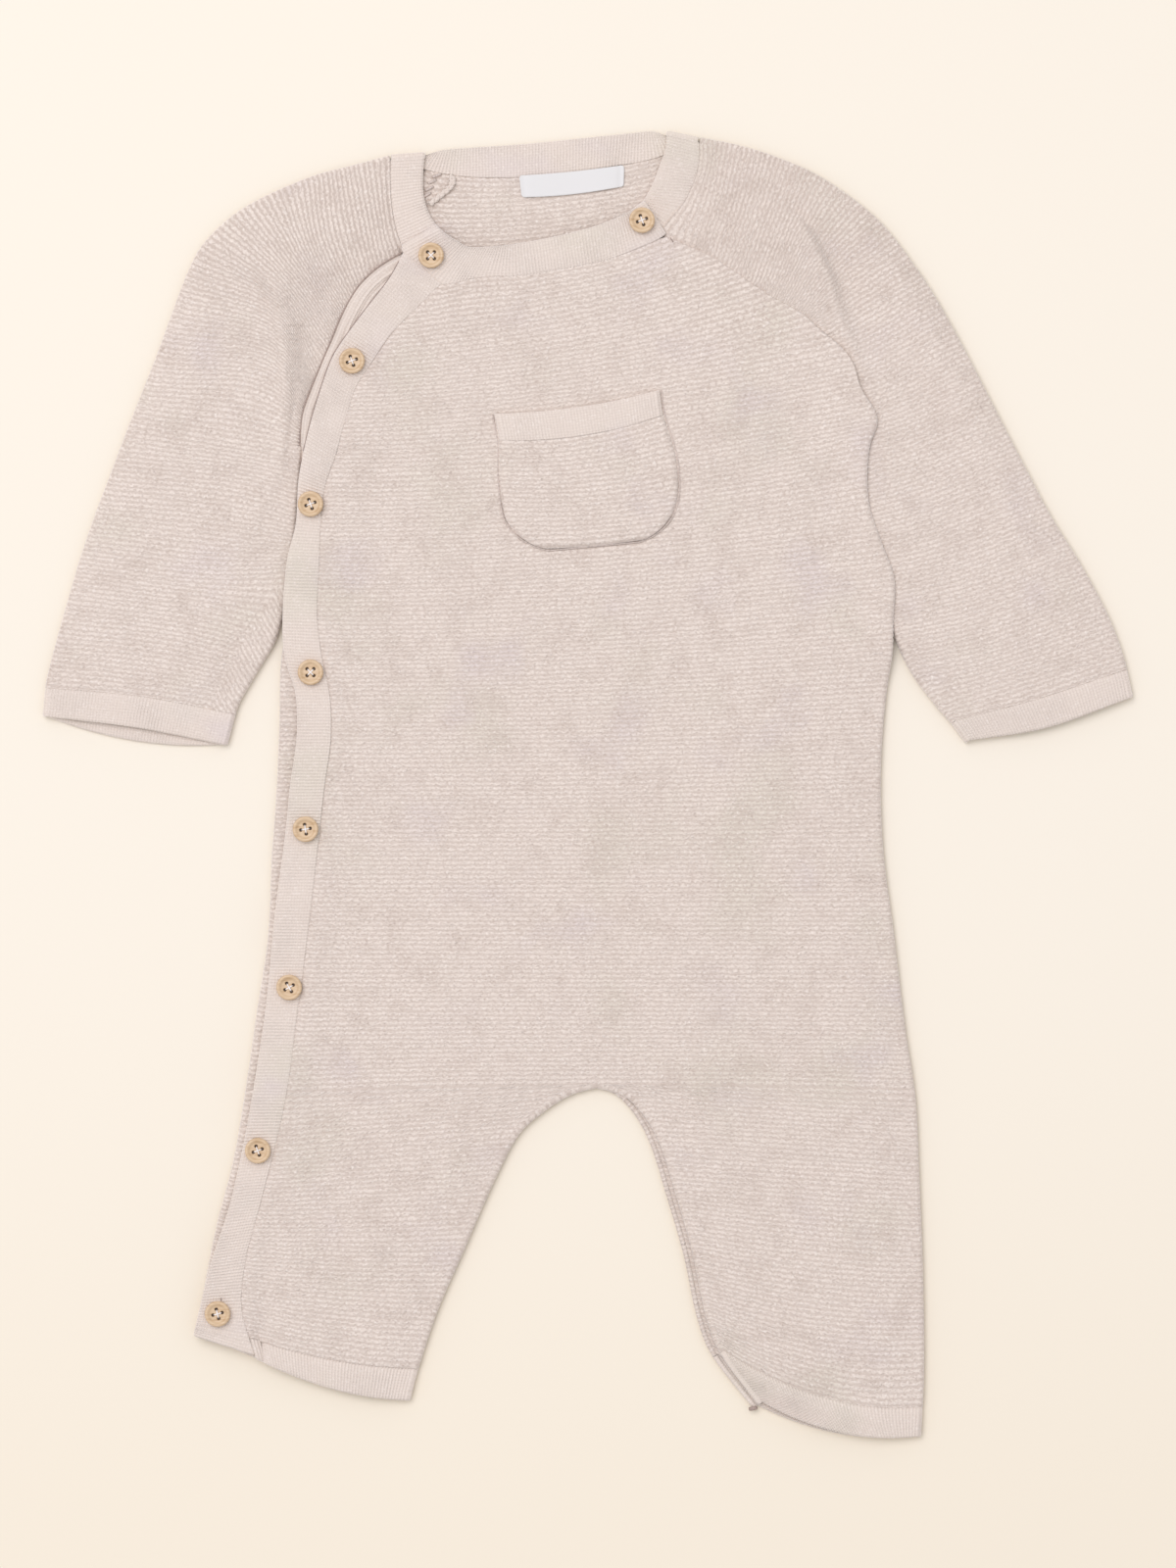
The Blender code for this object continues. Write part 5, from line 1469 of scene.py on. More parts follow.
@dataclass(frozen=True)
class FloorFinish:
    """A plain pale surface."""

    name: str
    color: Color = (0.835, 0.757, 0.628)
    # A darker cream painted toward the leg hems: painted shade.
    deep: Color = (0.815, 0.722, 0.575)

    def material(self) -> Material:
        """Make the material: a cream with a little painted shade, darker toward the leg hems.

        Returns:
            The material.
        """
        material, graph, shader, place = start_material(self.name)
        low = tuple(0.93 * part for part in self.color)
        color = graph.mix(graph.times(graph.noise(place, 3.0), 0.10), (*self.color, 1), (*low, 1))
        # Painted shade: the floor darkens toward the leg hems, where the light falls off.
        toward_hems = graph.ramp(graph.times(graph.axes(place)[1], -1.0), 0.0, 0.36)
        graph.feed(shader, {
            "Base Color": graph.mix(toward_hems, color, (*self.deep, 1)),
            "Roughness": 0.9, "Specular IOR Level": 0.1,
        })
        return material


@dataclass
class Finishes:
    """The materials of every piece, made once."""

    knit: Material
    rib: Material
    tape: Material
    wood: Material
    thread: Material
    # Dark thread: real thread ends, and painted shadow lines at the slit and the button band's edge.
    dusky: Material
    # Seam thread: a painted shadow line round the pocket, and stitches beside the neck seam's edge that
    # also paint shade.
    seam: Material

    @classmethod
    def make(cls) -> "Finishes":
        """Make all the materials.

        Returns:
            The materials.
        """
        rib = KnitFinish("rib_knit", Stitch.RIB, yarn=(0.740, 0.634, 0.542), pale=(0.80, 0.70, 0.61),
                         depth=0.32, hollow_shade=0.22, shoulder_painted_shade=0.0, fleck=0.16)
        return cls(
            knit=KnitFinish("garter_knit", Stitch.GARTER).material(),
            rib=rib.material(),
            tape=TapeFinish("label_tape").material(),
            wood=WoodFinish("button_wood").material(),
            thread=ThreadFinish("button_thread", (0.92, 0.86, 0.80)).material(),
            # Dark thread: real thread ends, and painted shadow lines at the slit and the button band's
            # edge.
            dusky=ThreadFinish("dusky_thread", (0.40, 0.30, 0.25)).material(),
            # Seam thread: a painted shadow line round the pocket, and stitches beside the neck seam's edge
            # that also paint shade.
            seam=ThreadFinish("seam_thread_and_painted_shadow", (0.62, 0.515, 0.445)).material(),
        )


@dataclass(frozen=True)
class Cut:
    """The flat cut of a cloth piece, in metres, and how it lies."""

    width: float
    length: float
    area: float | None = None
    held: str = "laid"


def settle(piece: Object, node: str | None) -> Object:
    """Fix a finished piece to the body, in place of its node, and report it.

    Args:
        piece: the object.
        node: the CAD node that it stands for.

    Returns:
        The piece.
    """
    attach(piece, BODY)
    if node:
        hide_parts(node)
    LOG.info("made %s: %d faces", piece.name, len(piece.data.polygons))
    return piece


# ---- Front and back ----


def rolled_margin(line: Array, part: Array) -> Array:
    """Roll a strip of the back over its fold, and lay it on the back up to the under band.

    Args:
        line: where the lower wall meets the fold.
        part: shares across the strip.

    Returns:
        A grid of points, from the under side round the fold to the under band.
    """
    top = with_height(line[:, :2], UPPER_WALL)
    fold = turned_over(top, normals(line[:, :2], -1))[:, ::-1]
    inner = edge_at(OPENING, line[:, 1], -SEAM / 2)
    flat = with_height(sagging(line[:, :2], inner, 0.0, part), UPPER_WALL)
    return np.concatenate([fold, flat], axis=1)


@dataclass
class Torso:
    """What the front and the back share: a body in two halves, two legs and rolled edges.

    lift is which way the edges roll, and relief is how high the ridges of the knit stand.
    """

    finishes: Finishes
    columns: int
    lift: int
    relief: float
    blend: tuple[float, float]
    courses: ClassVar[Table]
    top_seam: ClassVar[Table]

    def left_set_back(self, rows: Array) -> Array:
        """Return how far the left inner edge stays behind the outline."""
        return np.zeros((len(rows), 1))

    def body_rows(self) -> Array:
        """Return evenly spaced course numbers of the body.

        Returns:
            The course numbers.
        """
        def line_at(rows: Array) -> Array:
            """Return both ends and the middle of the courses."""
            right, left = self.sides(rows)
            return np.stack([right, read(self.courses, "middle_x middle_y", rows), left], axis=1)
        return even_rows(line_at, 0, len(self.courses["right_y"]) - 1, ROW_STEP)

    def leg_rows(self, side: Side) -> Array:
        """Return evenly spaced course numbers of a leg, from the crotch to the hem.

        Args:
            side: which leg.

        Returns:
            The course numbers.
        """
        def line_at(rows: Array) -> Array:
            """Return both ends of the courses.

            Args:
                rows: course numbers.

            Returns:
                Two points for each course.
            """
            if side is Side.RIGHT:
                inner = read(LEG_COURSES, "right_inner_x right_inner_y", rows)
                return np.stack([self.right_edge(rows), inner], axis=1)
            inner = read(LEG_COURSES, "left_inner_x left_inner_y", rows)
            outer = edge_at(LEFT_EDGE, read(LEG_COURSES, "left_y", rows)[:, 0])
            return np.stack([inner, outer], axis=1)
        return even_rows(line_at, 0, HEM_COURSE - HEM_GAP, ROW_STEP)

    def halves(self, rows: Array) -> list[Array]:
        """Return the body in plan, in two halves that share the middle column.

        The first course is drawn onto the top seam and eases the next ones after it. The ease
        falls off as a sixth power towards the side seams, where the ends stay put.

        Args:
            rows: course numbers.

        Returns:
            The right half and the left half.
        """
        right, left = self.sides(rows)
        middle = read(self.courses, "middle_x middle_y", rows)
        part = clustered(self.columns)
        halves = [
            quadratic(right, middle, left, part),
            quadratic(right, middle, left, 2 - part[::-1]),
        ]
        for half, inward in zip(halves, (part, part[::-1])):
            first = half[0]
            gap = seam_y(self.top_seam, first[:, 0]) - SEAM / 2 - first[:, 1]
            ease = fade(rows, SEAM_EASE_COURSES)[:, None]
            half[..., 1] += ease * gap * (1 - (1 - inward) ** 6)
        return halves

    def inner_edges(self, right_rows: Array, left_rows: Array) -> tuple:
        """Return both inner edges, each with its outward directions, in the order of the rows.

        Args:
            right_rows: course numbers of the right leg.
            left_rows: course numbers of the left leg.

        Returns:
            Right edge, right directions, left edge and left directions.
        """
        right = read(LEG_COURSES, "right_inner_x right_inner_y", right_rows)
        left = read(LEG_COURSES, "left_inner_x left_inner_y", left_rows)
        if right_rows[0] == 0:
            across = normals(np.concatenate([right[::-1], left[1:]]), -1)
            right_across = across[:len(right)][::-1]
            left_across = across[len(right) - 1:]
        else:
            right_across, left_across = normals(right, 1), normals(left, -1)
        right_in = right - FOLD_REACH * right_across
        left_in = left - (FOLD_REACH + self.left_set_back(left_rows)) * left_across
        return right_in, right_across, left_in, left_across

    def legs(self, right_rows: Array, left_rows: Array, part: Array) -> tuple:
        """Return the courses of both legs in plan, and the directions across their inseams.

        Args:
            right_rows: course numbers of the right leg.
            left_rows: course numbers of the left leg.
            part: shares across a leg, from its outer edge to its inner one.

        Returns:
            Right leg, left leg, right directions and left directions.
        """
        right_in, right_across, left_in, left_across = self.inner_edges(right_rows, left_rows)
        left_y = read(LEG_COURSES, "left_y", left_rows)[:, 0]
        left_out = edge_at(LEFT_EDGE, left_y, -FOLD_REACH)
        right_out = self.right_edge(right_rows)
        at_crotch = right_rows[0] == 0
        if at_crotch:
            right_in[0] = left_in[0] = (self.courses["middle_x"][-1], self.courses["middle_y"][-1])
        right_sag = read(LEG_COURSES, "right_sag", right_rows)[:, 0]
        left_sag = read(LEG_COURSES, "left_sag", left_rows)[:, 0]
        right = sagging(right_out, right_in, right_sag, part)
        left = sagging(left_in, left_out, left_sag, 1 - part[::-1])
        if at_crotch:
            ends = (right_out[:1], right_in[:1], left_out[:1])
            right[0] = quadratic(*ends, part)[0]
            left[0] = quadratic(*ends, 2 - part[::-1])[0]
        return right, left, right_across, left_across

    def knitted(self, points: Array, along: Array, across: Array) -> Patch:
        """Return a rolled strip as a patch, with its own ridges.

        Args:
            points: the grid of the strip.
            along: the place along the knit.
            across: the place across it, for each row.

        Returns:
            The patch.
        """
        across = across[:, None]
        return patch(points, along, across, knit_relief(across, points[..., :2], self.relief))

    def side_roll(self, side: Array, across: Array) -> Patch:
        """Roll the left side: it widens where the seam blends into the edge, then turns upright.

        Args:
            side: the points where the roll starts.
            across: the place across the knit of each.

        Returns:
            The roll.
        """
        low, high = self.blend
        grown = (high - side[:, 1]) / (2 * (high - low))
        begun = 2 * grown > ROLL_START
        side, across = side[begun], across[begun]
        grid = rolled(side, normals(side[:, :2], 1), self.lift, np.minimum(grown[begun], 1))
        return self.knitted(grid, run_along(grid), across)

    def patches(self) -> tuple[list[Patch], Array, Array]:
        """Make the halves of the body, both legs, the strip round the crotch and the left roll.

        Returns:
            The patches, and the points and places along the right edge.
        """
        rows, leg_rows = self.body_rows(), [self.leg_rows(side) for side in Side]
        body = np.arange(len(rows)) * ROW_STEP
        right_place, left_place = (body[-1] + np.arange(len(leg)) * ROW_STEP for leg in leg_rows)
        right_leg, left_leg, right_across, left_across = self.legs(*leg_rows, clustered(self.columns))
        made = []
        for plan, place, on_right, is_leg in (
            *((half, body, on_right, False) for half, on_right in zip(self.halves(rows), (True, False))),
            (right_leg, right_place, True, True), (left_leg, left_place, False, True),
        ):
            along = run_along(plan)
            height, calm, marks = self.lay(plan, place[:, None], along, on_right, is_leg)
            ridges = knit_relief(place[:, None], plan, self.relief, calm) + marks
            at = along - along[:, -1:] if on_right else along
            made.append(patch(with_height(plan, height), at, place[:, None], ridges))
        right_half, left_half, right, left = (item.points for item in made)
        inseam = rolled(
            np.concatenate([right[::-1, -1], left[1:, 0]]),
            np.concatenate([right_across[::-1], left_across[1:]]), self.lift, 1.0)
        inseam_place = np.concatenate([right_place[::-1], left_place[1:]])
        made.append(self.knitted(inseam, run_along(inseam), inseam_place))
        made.append(self.side_roll(
            np.concatenate([left_half[:, -1], left[1:, -1]]),
            np.concatenate([body, left_place[1:]])))
        edge = np.concatenate([right_half[:, 0], right[1:, 0]])
        return made, edge, np.concatenate([body, right_place[1:]])


@dataclass
class FrontPanel(Torso):
    """The front: body, both leg fronts, its rolled left side and its rolled inseam."""

    columns: int = 22
    lift: int = -1
    relief: float = RIDGE_RELIEF
    blend: tuple[float, float] = RAGLAN_BLEND
    sewn_dip: float = 0.3
    courses: ClassVar[Table] = FRONT_COURSES
    top_seam: ClassVar[Table] = NECK_SEAM

    def left_set_back(self, rows: Array) -> Array:
        """Return how far the left inseam stays behind the outline, so that the back shows."""
        return through(*INSEAM_SET_BACK.values(), rows, level=True)[:, None]

    @staticmethod
    def sides(rows: Array) -> tuple[Array, Array]:
        """Return the right and left ends of the courses.

        Args:
            rows: course numbers.

        Returns:
            Plan points on both sides.
        """
        right = edge_at(BAND_SEAM, read(FRONT_COURSES, "right_y", rows)[:, 0], SEAM / 2)
        left_y = read(FRONT_COURSES, "left_y", rows)[:, 0]
        return right, edge_at(LEFT_EDGE, left_y, -inset_below(RAGLAN_BLEND, left_y))

    @staticmethod
    def right_edge(rows: Array) -> Array:
        """Return the right leg's outer edge, on the band seam."""
        return edge_at(BAND_SEAM, read(LEG_COURSES, "front_right_y", rows)[:, 0], SEAM / 2)

    def lay(self, plan: Array, place: Array, along: Array, on_right: bool, is_leg: bool) -> tuple:
        """Lay a part of the front: it is drawn down at its seams, where the knit is calmer.

        Beside the left raglan seam the stitches are drawn out into short slanting marks.

        Args:
            plan: the part in plan.
            place: the place of each course across the knit.
            along: the distance from the part's first column.
            on_right: whether it is on the wearer's right.
            is_leg: whether it is a leg.

        Returns:
            Heights, shares of the knit's relief and the relief of the marks.
        """
        from_side = along if on_right else along[:, -1:] - along
        calmed = 0.6 * np.exp(-((from_side / 2) ** 2))
        if is_leg:
            height = front_height(plan) + dipped(place[-1] - place)
            calm = np.ones_like(along)
            if on_right:
                height += dipped(along, self.sewn_dip)
                calm -= calmed
            return height, calm, 0.0
        sewn = np.ones((len(plan), 1)) if on_right else (plan[:, -1:, 1] > RAGLAN_BLEND[0])
        height = front_height(plan) + dipped(place, self.sewn_dip)
        height += dipped(from_side, self.sewn_dip) * sewn
        if on_right:
            return height, 1 - calmed * sewn, 0.0
        beside = np.exp(-(((from_side - 2.6) / 1.5) ** 2))
        marks = wave(plan[..., 1] * 1.5 + from_side * 0.6, RAGLAN_MARK, 0.2) * beside
        return height, 1 - calmed * sewn, marks * fade(RAGLAN_BLEND[1] + 6 - plan[..., 1], 10.0)

    def build(self) -> Object:
        """Make the front."""
        piece = make_shell("knit_front", self.patches()[0], CLOTH, self.finishes.knit)
        return settle(piece, "front")


@dataclass
class BackPanel(Torso):
    """The back: body, both leg backs, rolled edges and the margin rolled round to the front."""

    columns: int = 13
    lift: int = 1
    relief: float = UNDER_RELIEF
    blend: tuple[float, float] = SIDE_BLEND
    margin_columns: int = 6
    neck_dip: float = 0.25
    courses: ClassVar[Table] = BACK_COURSES
    top_seam: ClassVar[Table] = BACK_NECK

    @staticmethod
    def sides(rows: Array) -> tuple[Array, Array]:
        """Return the right and left ends of the courses.

        Args:
            rows: course numbers.

        Returns:
            Plan points on both sides.
        """
        right_y, left_y = read(BACK_COURSES, "right_y left_y", rows).T
        right = edge_at(BACK_RIGHT_EDGE, right_y, inset_below(MARGIN_BLEND, right_y))
        return right, edge_at(BACK_LEFT_EDGE, left_y, -inset_below(SIDE_BLEND, left_y))

    @staticmethod
    def right_edge(rows: Array) -> Array:
        """Return where the right leg's lower wall meets the rolled fold."""
        y = read(LEG_COURSES, "back_right_y", rows)[:, 0]
        return edge_at(BACK_RIGHT_EDGE, y, FOLD_REACH)

    def lay(self, plan: Array, place: Array, along: Array, on_right: bool, is_leg: bool) -> tuple:
        """Lay a part of the back flat, drawn down at the neck seam only."""
        return LOWER_WALL + (0.0 if is_leg else dipped(place, self.neck_dip)), 1.0, 0.0

    def build(self) -> Object:
        """Make the back, with its margin rolled to the front below the right sleeve.

        Returns:
            The back.
        """
        patches, line, place = self.patches()
        below = line[:, 1] < MARGIN_BLEND[0]
        grid = rolled_margin(line[below], clustered(self.margin_columns, 0.5)[1:])
        ridges = knit_relief(place[below][:, None], grid[..., :2], RIDGE_RELIEF)
        patches.append(patch(grid, -run_along(grid), place[below][:, None], ridges))
        piece = make_shell("knit_back", patches, CLOTH, self.finishes.knit)
        return settle(piece, "back")


# ---- Sleeves and cuffs ----


@dataclass
class Sleeve:
    """A raglan sleeve: a tube from the neckband to the cuff, open above the underarm."""

    finishes: Finishes
    side: Side
    courses: Table
    underarm: int
    front_seam: Table
    raglan_courses: float
    back_seam: Table
    neck_seam: Table
    cut: Cut
    ridge_columns: int = 9
    fold_columns: int = 17
    lower_columns: int = 12

    @property
    def name(self) -> str:
        """Return the side's word, as in the names of the nodes."""
        return self.side.name.lower()

    def edges(self, rows: Array) -> tuple[Array, ...]:
        """Return start, ridge, fold and end points of the courses, and directions outward.

        Args:
            rows: course numbers.

        Returns:
            The four lines of points, and the directions at the fold and at the start.
        """
        start = read(self.courses, "front_x front_y", rows)
        ridge = read(self.courses, "ridge_x ridge_y", rows)
        fold = read(self.courses, "fold_x fold_y", rows)
        end = read(self.courses, "back_x back_y", rows)
        fold_out = normals(fold, self.side.value)
        fold = fold - FOLD_REACH * fold_out
        inner_out = normals(start, -self.side.value)
        sewn = self.side.value * SEAM / 2
        raglan = rows < self.raglan_courses
        start[raglan] = edge_at(self.front_seam, start[raglan, 1], sewn)
        tube = rows >= self.underarm
        grown = self.fold_growth(rows[tube])[:, None]
        start[tube] -= (FOLD_RADIUS + CLOTH / 2) * grown * inner_out[tube]
        end[tube] = start[tube]
        end[~tube] = edge_at(self.back_seam, end[~tube, 1], sewn)
        return start, ridge, fold, end, fold_out, inner_out

    def fold_growth(self, rows: Array) -> Array:
        """Return how far the inner fold has grown below the underarm, up to 1."""
        return np.clip((rows - self.underarm) / UNDERARM_GROWTH, 0.15, 1)

    def places(self, rows: Array, start: Array, ridge: Array,
               fold: Array) -> tuple[Array, ...]:
        """Return each course's columns as shares, with the shares of its ridge and its foot.

        Columns are close together at the strip under the arm and on both sides of the ridge.

        Args:
            rows: course numbers.
            start: where the courses start.
            ridge: where they cross the ridge.
            fold: where they reach the outer fold.

        Returns:
            Shares of the columns, of the ridge and of its foot.
        """
        before = np.linalg.norm(ridge - start, axis=1)
        length = before + np.linalg.norm(fold - ridge, axis=1)
        share = before / length
        foot = share + RIDGE_FOOT / length
        strip = read(self.courses, "strip", rows)[:, 0] / length
        strip = np.minimum(strip, share / 2)[:, None]
        on = np.linspace(0, 1, STRIP_COLUMNS + 1)
        near = 1 - (1 - np.linspace(0, 1, self.ridge_columns + 1)[1:]) ** 1.5
        beyond = clustered(self.fold_columns + 1, 0.3)[1:] ** 1.5
        at = np.concatenate([
            strip * on, strip + (share[:, None] - strip) * near,
            share[:, None] + (1 - share[:, None]) * beyond,
        ], axis=1)
        return at, share, foot

    def upper(self, rows: Array, start: Array, ridge: Array, fold: Array,
              even: Array | None) -> Array:
        """Return the upper wall: plan curves through the ridge, with their heights.

        Args:
            rows: course numbers.
            start: where the courses start.
            ridge: where they cross the ridge.
            fold: where they reach the outer fold.
            even: shares to use for every course, in place of the sleeve's own.

        Returns:
            A grid of points.
        """
        at, share, foot = self.places(rows, start, ridge, fold)
        if even is not None:
            at = np.broadcast_to(even, (len(rows), len(even)))
        one, none = np.ones_like(share), np.zeros_like(share)
        plan = through_rows(
            np.stack([none, share, one], axis=1), np.stack([start, ridge, fold], axis=1), at, False)
        keys = np.stack([
            none, np.minimum(RISE_END, share / 2), share, foot,
            np.maximum((share + 1) / 2, foot + 0.02), OUTER_PLACE * one, one,
        ], axis=1)
        levels = read(self.courses, "start_z start_z ridge_z foot_z mid_z outer_z", rows)
        levels = np.concatenate([levels, UPPER_WALL * one[:, None]], axis=1)
        return with_height(plan, through_rows(keys, levels[..., None], at, True)[..., 0])

    def grid(self, rows: Array, even: Array | None,
             lower_part: Array) -> tuple[Array, ...]:
        """Return the sheet from the front seam over the fold to the back, and the inner fold.

        Args:
            rows: course numbers.
            even: shares of the upper wall's columns, or None for the sleeve's own.
            lower_part: shares of the lower wall's columns.

        Returns:
            The sheet, the inner fold, and which rows have it.
        """
        start, ridge, fold, end, fold_out, inner_out = self.edges(rows)
        upper = self.upper(rows, start, ridge, fold, even)
        if rows[0] == 0:
            sewn = self.side.value * SEAM / 2
            seam = through(self.neck_seam["y"], self.neck_seam["x"], upper[..., 1]) + sewn
            upper[..., 0] += fade(rows, SEAM_EASE_COURSES)[:, None] * (seam[0] - upper[0, :, 0])
        over = turned_over(upper[:, -1], fold_out)
        sag = read(self.courses, "sag", rows)[:, 0]
        lower = with_height(sagging(upper[:, -1, :2], end, sag, lower_part), LOWER_WALL)
        sheet = np.concatenate([upper, over[:, 1:], lower[:, 1:]], axis=1)
        tube = rows >= self.underarm
        reach = FOLD_RADIUS * self.fold_growth(rows[tube])
        inner = turned_over(upper[tube, 0], inner_out[tube], reach=reach)
        return sheet, inner, tube

    def sleeve_rows(self) -> Array:
        """Return evenly spaced course numbers, one of them at the underarm.

        Returns:
            The course numbers.
        """
        def line_at(rows: Array) -> Array:
            """Return the ridge and the fold of the courses."""
            names = ("ridge_x ridge_y", "fold_x fold_y")
            return np.stack([read(self.courses, name, rows) for name in names], axis=1)
        last = len(self.courses["sag"]) - 2 - CUFF_GAP
        above = even_rows(line_at, 0, self.underarm, ROW_STEP)
        below = even_rows(line_at, self.underarm, last, ROW_STEP)
        return np.concatenate([above, below[1:]])

    def press(self, sheet: Array, along: Array, from_neck: Array, tube: Array,
              top: Array) -> Array:
        """Draw the sheet down at its seams and add its creases.

        Args:
            sheet: the points, which are changed.
            along: the distance from the start of each course.
            from_neck: the distance of each course from the neckband.
            tube: which courses are below the underarm.
            top: which columns are on the upper wall.

        Returns:
            How far each course has a strip of its own under the arm, from 0 to 1.
        """
        strip_at = along[:, STRIP_COLUMNS:STRIP_COLUMNS + 1]
        has_strip = fade(STRIP_REACH - np.minimum(strip_at, STRIP_REACH), STRIP_EASE)
        to_cuff = from_neck[-1] - from_neck
        level = sheet[..., 2]
        level += (dipped(from_neck, NECK_PULL) + dipped(to_cuff, CUFF_PULL)) * top
        level += dipped(along, RAGLAN_DIP[self.side]) * (~tube)[:, None]
        level += dipped(along - strip_at, STRIP_PULL) * has_strip * top
        level += creased(sheet[..., :2], SLEEVE_CREASES[self.side]) * top
        return has_strip

    @staticmethod
    def turned(grid: Array, turn: float) -> Patch:
        """Return a part of the strip under the arm, whose courses run another way.

        Args:
            grid: its points.
            turn: how much of the inner fold's run the knit follows, or 0 on the upper wall.

        Returns:
            The patch.
        """
        back = run_along(grid) * turn
        x, y = grid[..., 0], grid[..., 1]
        along = x * math.cos(STRIP_COURSES) + y * math.sin(STRIP_COURSES) - back
        across = y * math.cos(STRIP_COURSES) - x * math.sin(STRIP_COURSES)
        ridges = knit_relief(across, grid[..., :2], 0.5 * RIDGE_RELIEF)
        ridges[:, 0 if turn else -1] = 0
        return patch(grid, along, across, ridges * (1 - turn))

    def build(self) -> Object:
        """Make the sleeve, with the strip under the arm knitted the other way.

        Returns:
            The sleeve.
        """
        rows = self.sleeve_rows()
        sheet, inner, tube = self.grid(rows, None, clustered(self.lower_columns, 0.3))
        along = run_along(sheet)
        from_neck = (np.arange(len(rows)) * ROW_STEP)[:, None]
        columns = np.arange(along.shape[1])
        upper_columns = STRIP_COLUMNS + self.ridge_columns + self.fold_columns + 1
        top = columns < upper_columns
        has_strip = self.press(sheet, along, from_neck, tube, top)
        under = columns >= upper_columns + 6
        calm = np.where(under, UNDER_RELIEF / RIDGE_RELIEF, 1.0) * np.ones_like(along)
        shoulder = SHOULDER_RIDGES[self.side] * np.exp(-((from_neck / SHOULDER_REACH) ** 2))
        calm += (SLEEVE_RIDGES + shoulder) * top
        relief = knit_relief(from_neck, sheet[..., :2], RIDGE_RELIEF, calm)
        inner[:, 0], inner[:, -1] = sheet[tube, 0], sheet[tube, -1]
        ridges = knit_relief(from_neck[tube], inner[..., :2], 0.6 * RIDGE_RELIEF)
        begins = int(np.argmax(has_strip[:, 0] > 0.02)) if has_strip.max() > 0.5 else len(rows)
        first = int(np.argmax(tube))
        main, strip = slice(STRIP_COLUMNS, None), slice(0, STRIP_COLUMNS + 1)
        before, fold_before = slice(0, begins + 1), slice(0, begins + 1 - first)
        patches = [
            patch(sheet[:, main], along[:, main], from_neck, relief[:, main]),
            patch(sheet[before, strip], along[before, strip], from_neck[before],
                  relief[before, strip]),
            patch(inner[fold_before], -run_along(inner[fold_before]),
                  from_neck[tube][fold_before], ridges[fold_before]),
        ]
        if begins < len(rows):
            patches += [self.turned(sheet[begins:, strip], 0.0),
                        self.turned(inner[begins - first:], STRIP_TURN)]
        piece = make_shell(f"knit_sleeve_{self.name}", patches, CLOTH, self.finishes.knit)
        return settle(piece, f"sleeve_{self.name}")

    def build_cuff(self) -> Object:
        """Make the rib cuff: ribs run down the sleeve, and the end is a rounded free edge.

        Returns:
            The cuff.
        """
        last = len(self.courses["sag"]) - 1
        rows = last - 1 + CUFF_GAP + (1 - CUFF_GAP) * BAND_SHARES
        width = np.linalg.norm(
            read(self.courses, "fold_x fold_y", rows) - read(self.courses, "front_x front_y", rows),
            axis=1).mean()
        part = np.linspace(0, 1, round(width / RIB_STEP) + 1)
        sheet, inner, _ = self.grid(rows, part, part[::2])
        along = run_along(sheet).mean(axis=0)
        down = run_along(sheet, axis=0)
        edge = down[-1] - down
        top = np.arange(len(along)) < len(part)
        sheet[..., 2] += dipped(down, 0.3) * top
        inner[:, 0] = sheet[:, 0]
        inner[:, -1] = sheet[:, -1]
        calm = 1 - 0.7 * np.exp(-((down / 1.5) ** 2))
        patches = [
            patch(sheet, down, along, wave(along, RIB, RIB_RELIEF * calm * top), rounded(edge)),
            patch(inner, down[:, :1], -run_along(inner).mean(axis=0), 0.0, rounded(edge[:, :1])),
        ]
        piece = make_shell(f"rib_cuff_{self.name}", patches, CLOTH, self.finishes.rib)
        return settle(piece, f"cuff_{self.name}")


# ---- Leg hems ----


@dataclass
class LegHems:
    """The rib hems of both legs, front and back, with their rolled ends."""

    finishes: Finishes
    columns: int = 320
    margin_columns: int = 9

    def build(self) -> None:
        """Make the four hems: the fronts roll down at their ends, and the backs roll up."""
        rows = HEM_COURSE + HEM_GAP + (1 - HEM_GAP) * BAND_SHARES
        part = np.linspace(0, 1, self.columns)
        for word, panel in (("front", FrontPanel), ("back", BackPanel)):
            right, left, right_across, left_across = panel(self.finishes).legs(rows, rows, part)
            lift = panel.lift
            levels = [front_height(leg) if lift < 0 else LOWER_WALL for leg in (right, left)]
            self.hem(f"{word}_right", with_height(right, levels[0]), lift, [(-1, right_across)],
                     margin=lift > 0)
            self.hem(f"{word}_left", with_height(left, levels[1]), lift,
                     [(0, left_across), (-1, normals(left[:, -1], 1))])

    def hem(self, name: str, grid: Array, lift: int, rolls: list, margin: bool = False) -> None:
        """Make one hem.

        Args:
            name: its side, as in its node's name.
            grid: the points of its flat part.
            lift: which way its ends roll.
            rolls: the column that each roll starts from, and its directions outward.
            margin: whether it is also rolled over the back's fold.
        """
        down = run_along(grid, axis=0)
        edge = down[-1] - down
        along = run_along(grid).mean(axis=0)
        if lift < 0:
            grid[..., 2] += dipped(down)
        relief = wave(along, RIB, RIB_RELIEF)
        patches = [patch(grid, down, along, relief, rounded(edge))]
        for column, across in rolls:
            end = rolled(grid[:, column], across, lift, 1.0, steps=8)
            place = along[column] + run_along(end).mean(axis=0)
            patches.append(patch(end, down[:, :1], place, 0.0, rounded(edge[:, :1])))
        if margin:
            over = rolled_margin(grid[:, 0], np.linspace(0, 1, self.margin_columns)[1:])
            place = -run_along(over).mean(axis=0)
            patches.append(patch(over, down[:, :1], place, 0.0, rounded(edge[:, :1])))
        piece = make_shell(f"rib_hem_{name}", patches, CLOTH, self.finishes.rib)
        settle(piece, f"hem_{name}")


# ---- Bands ----


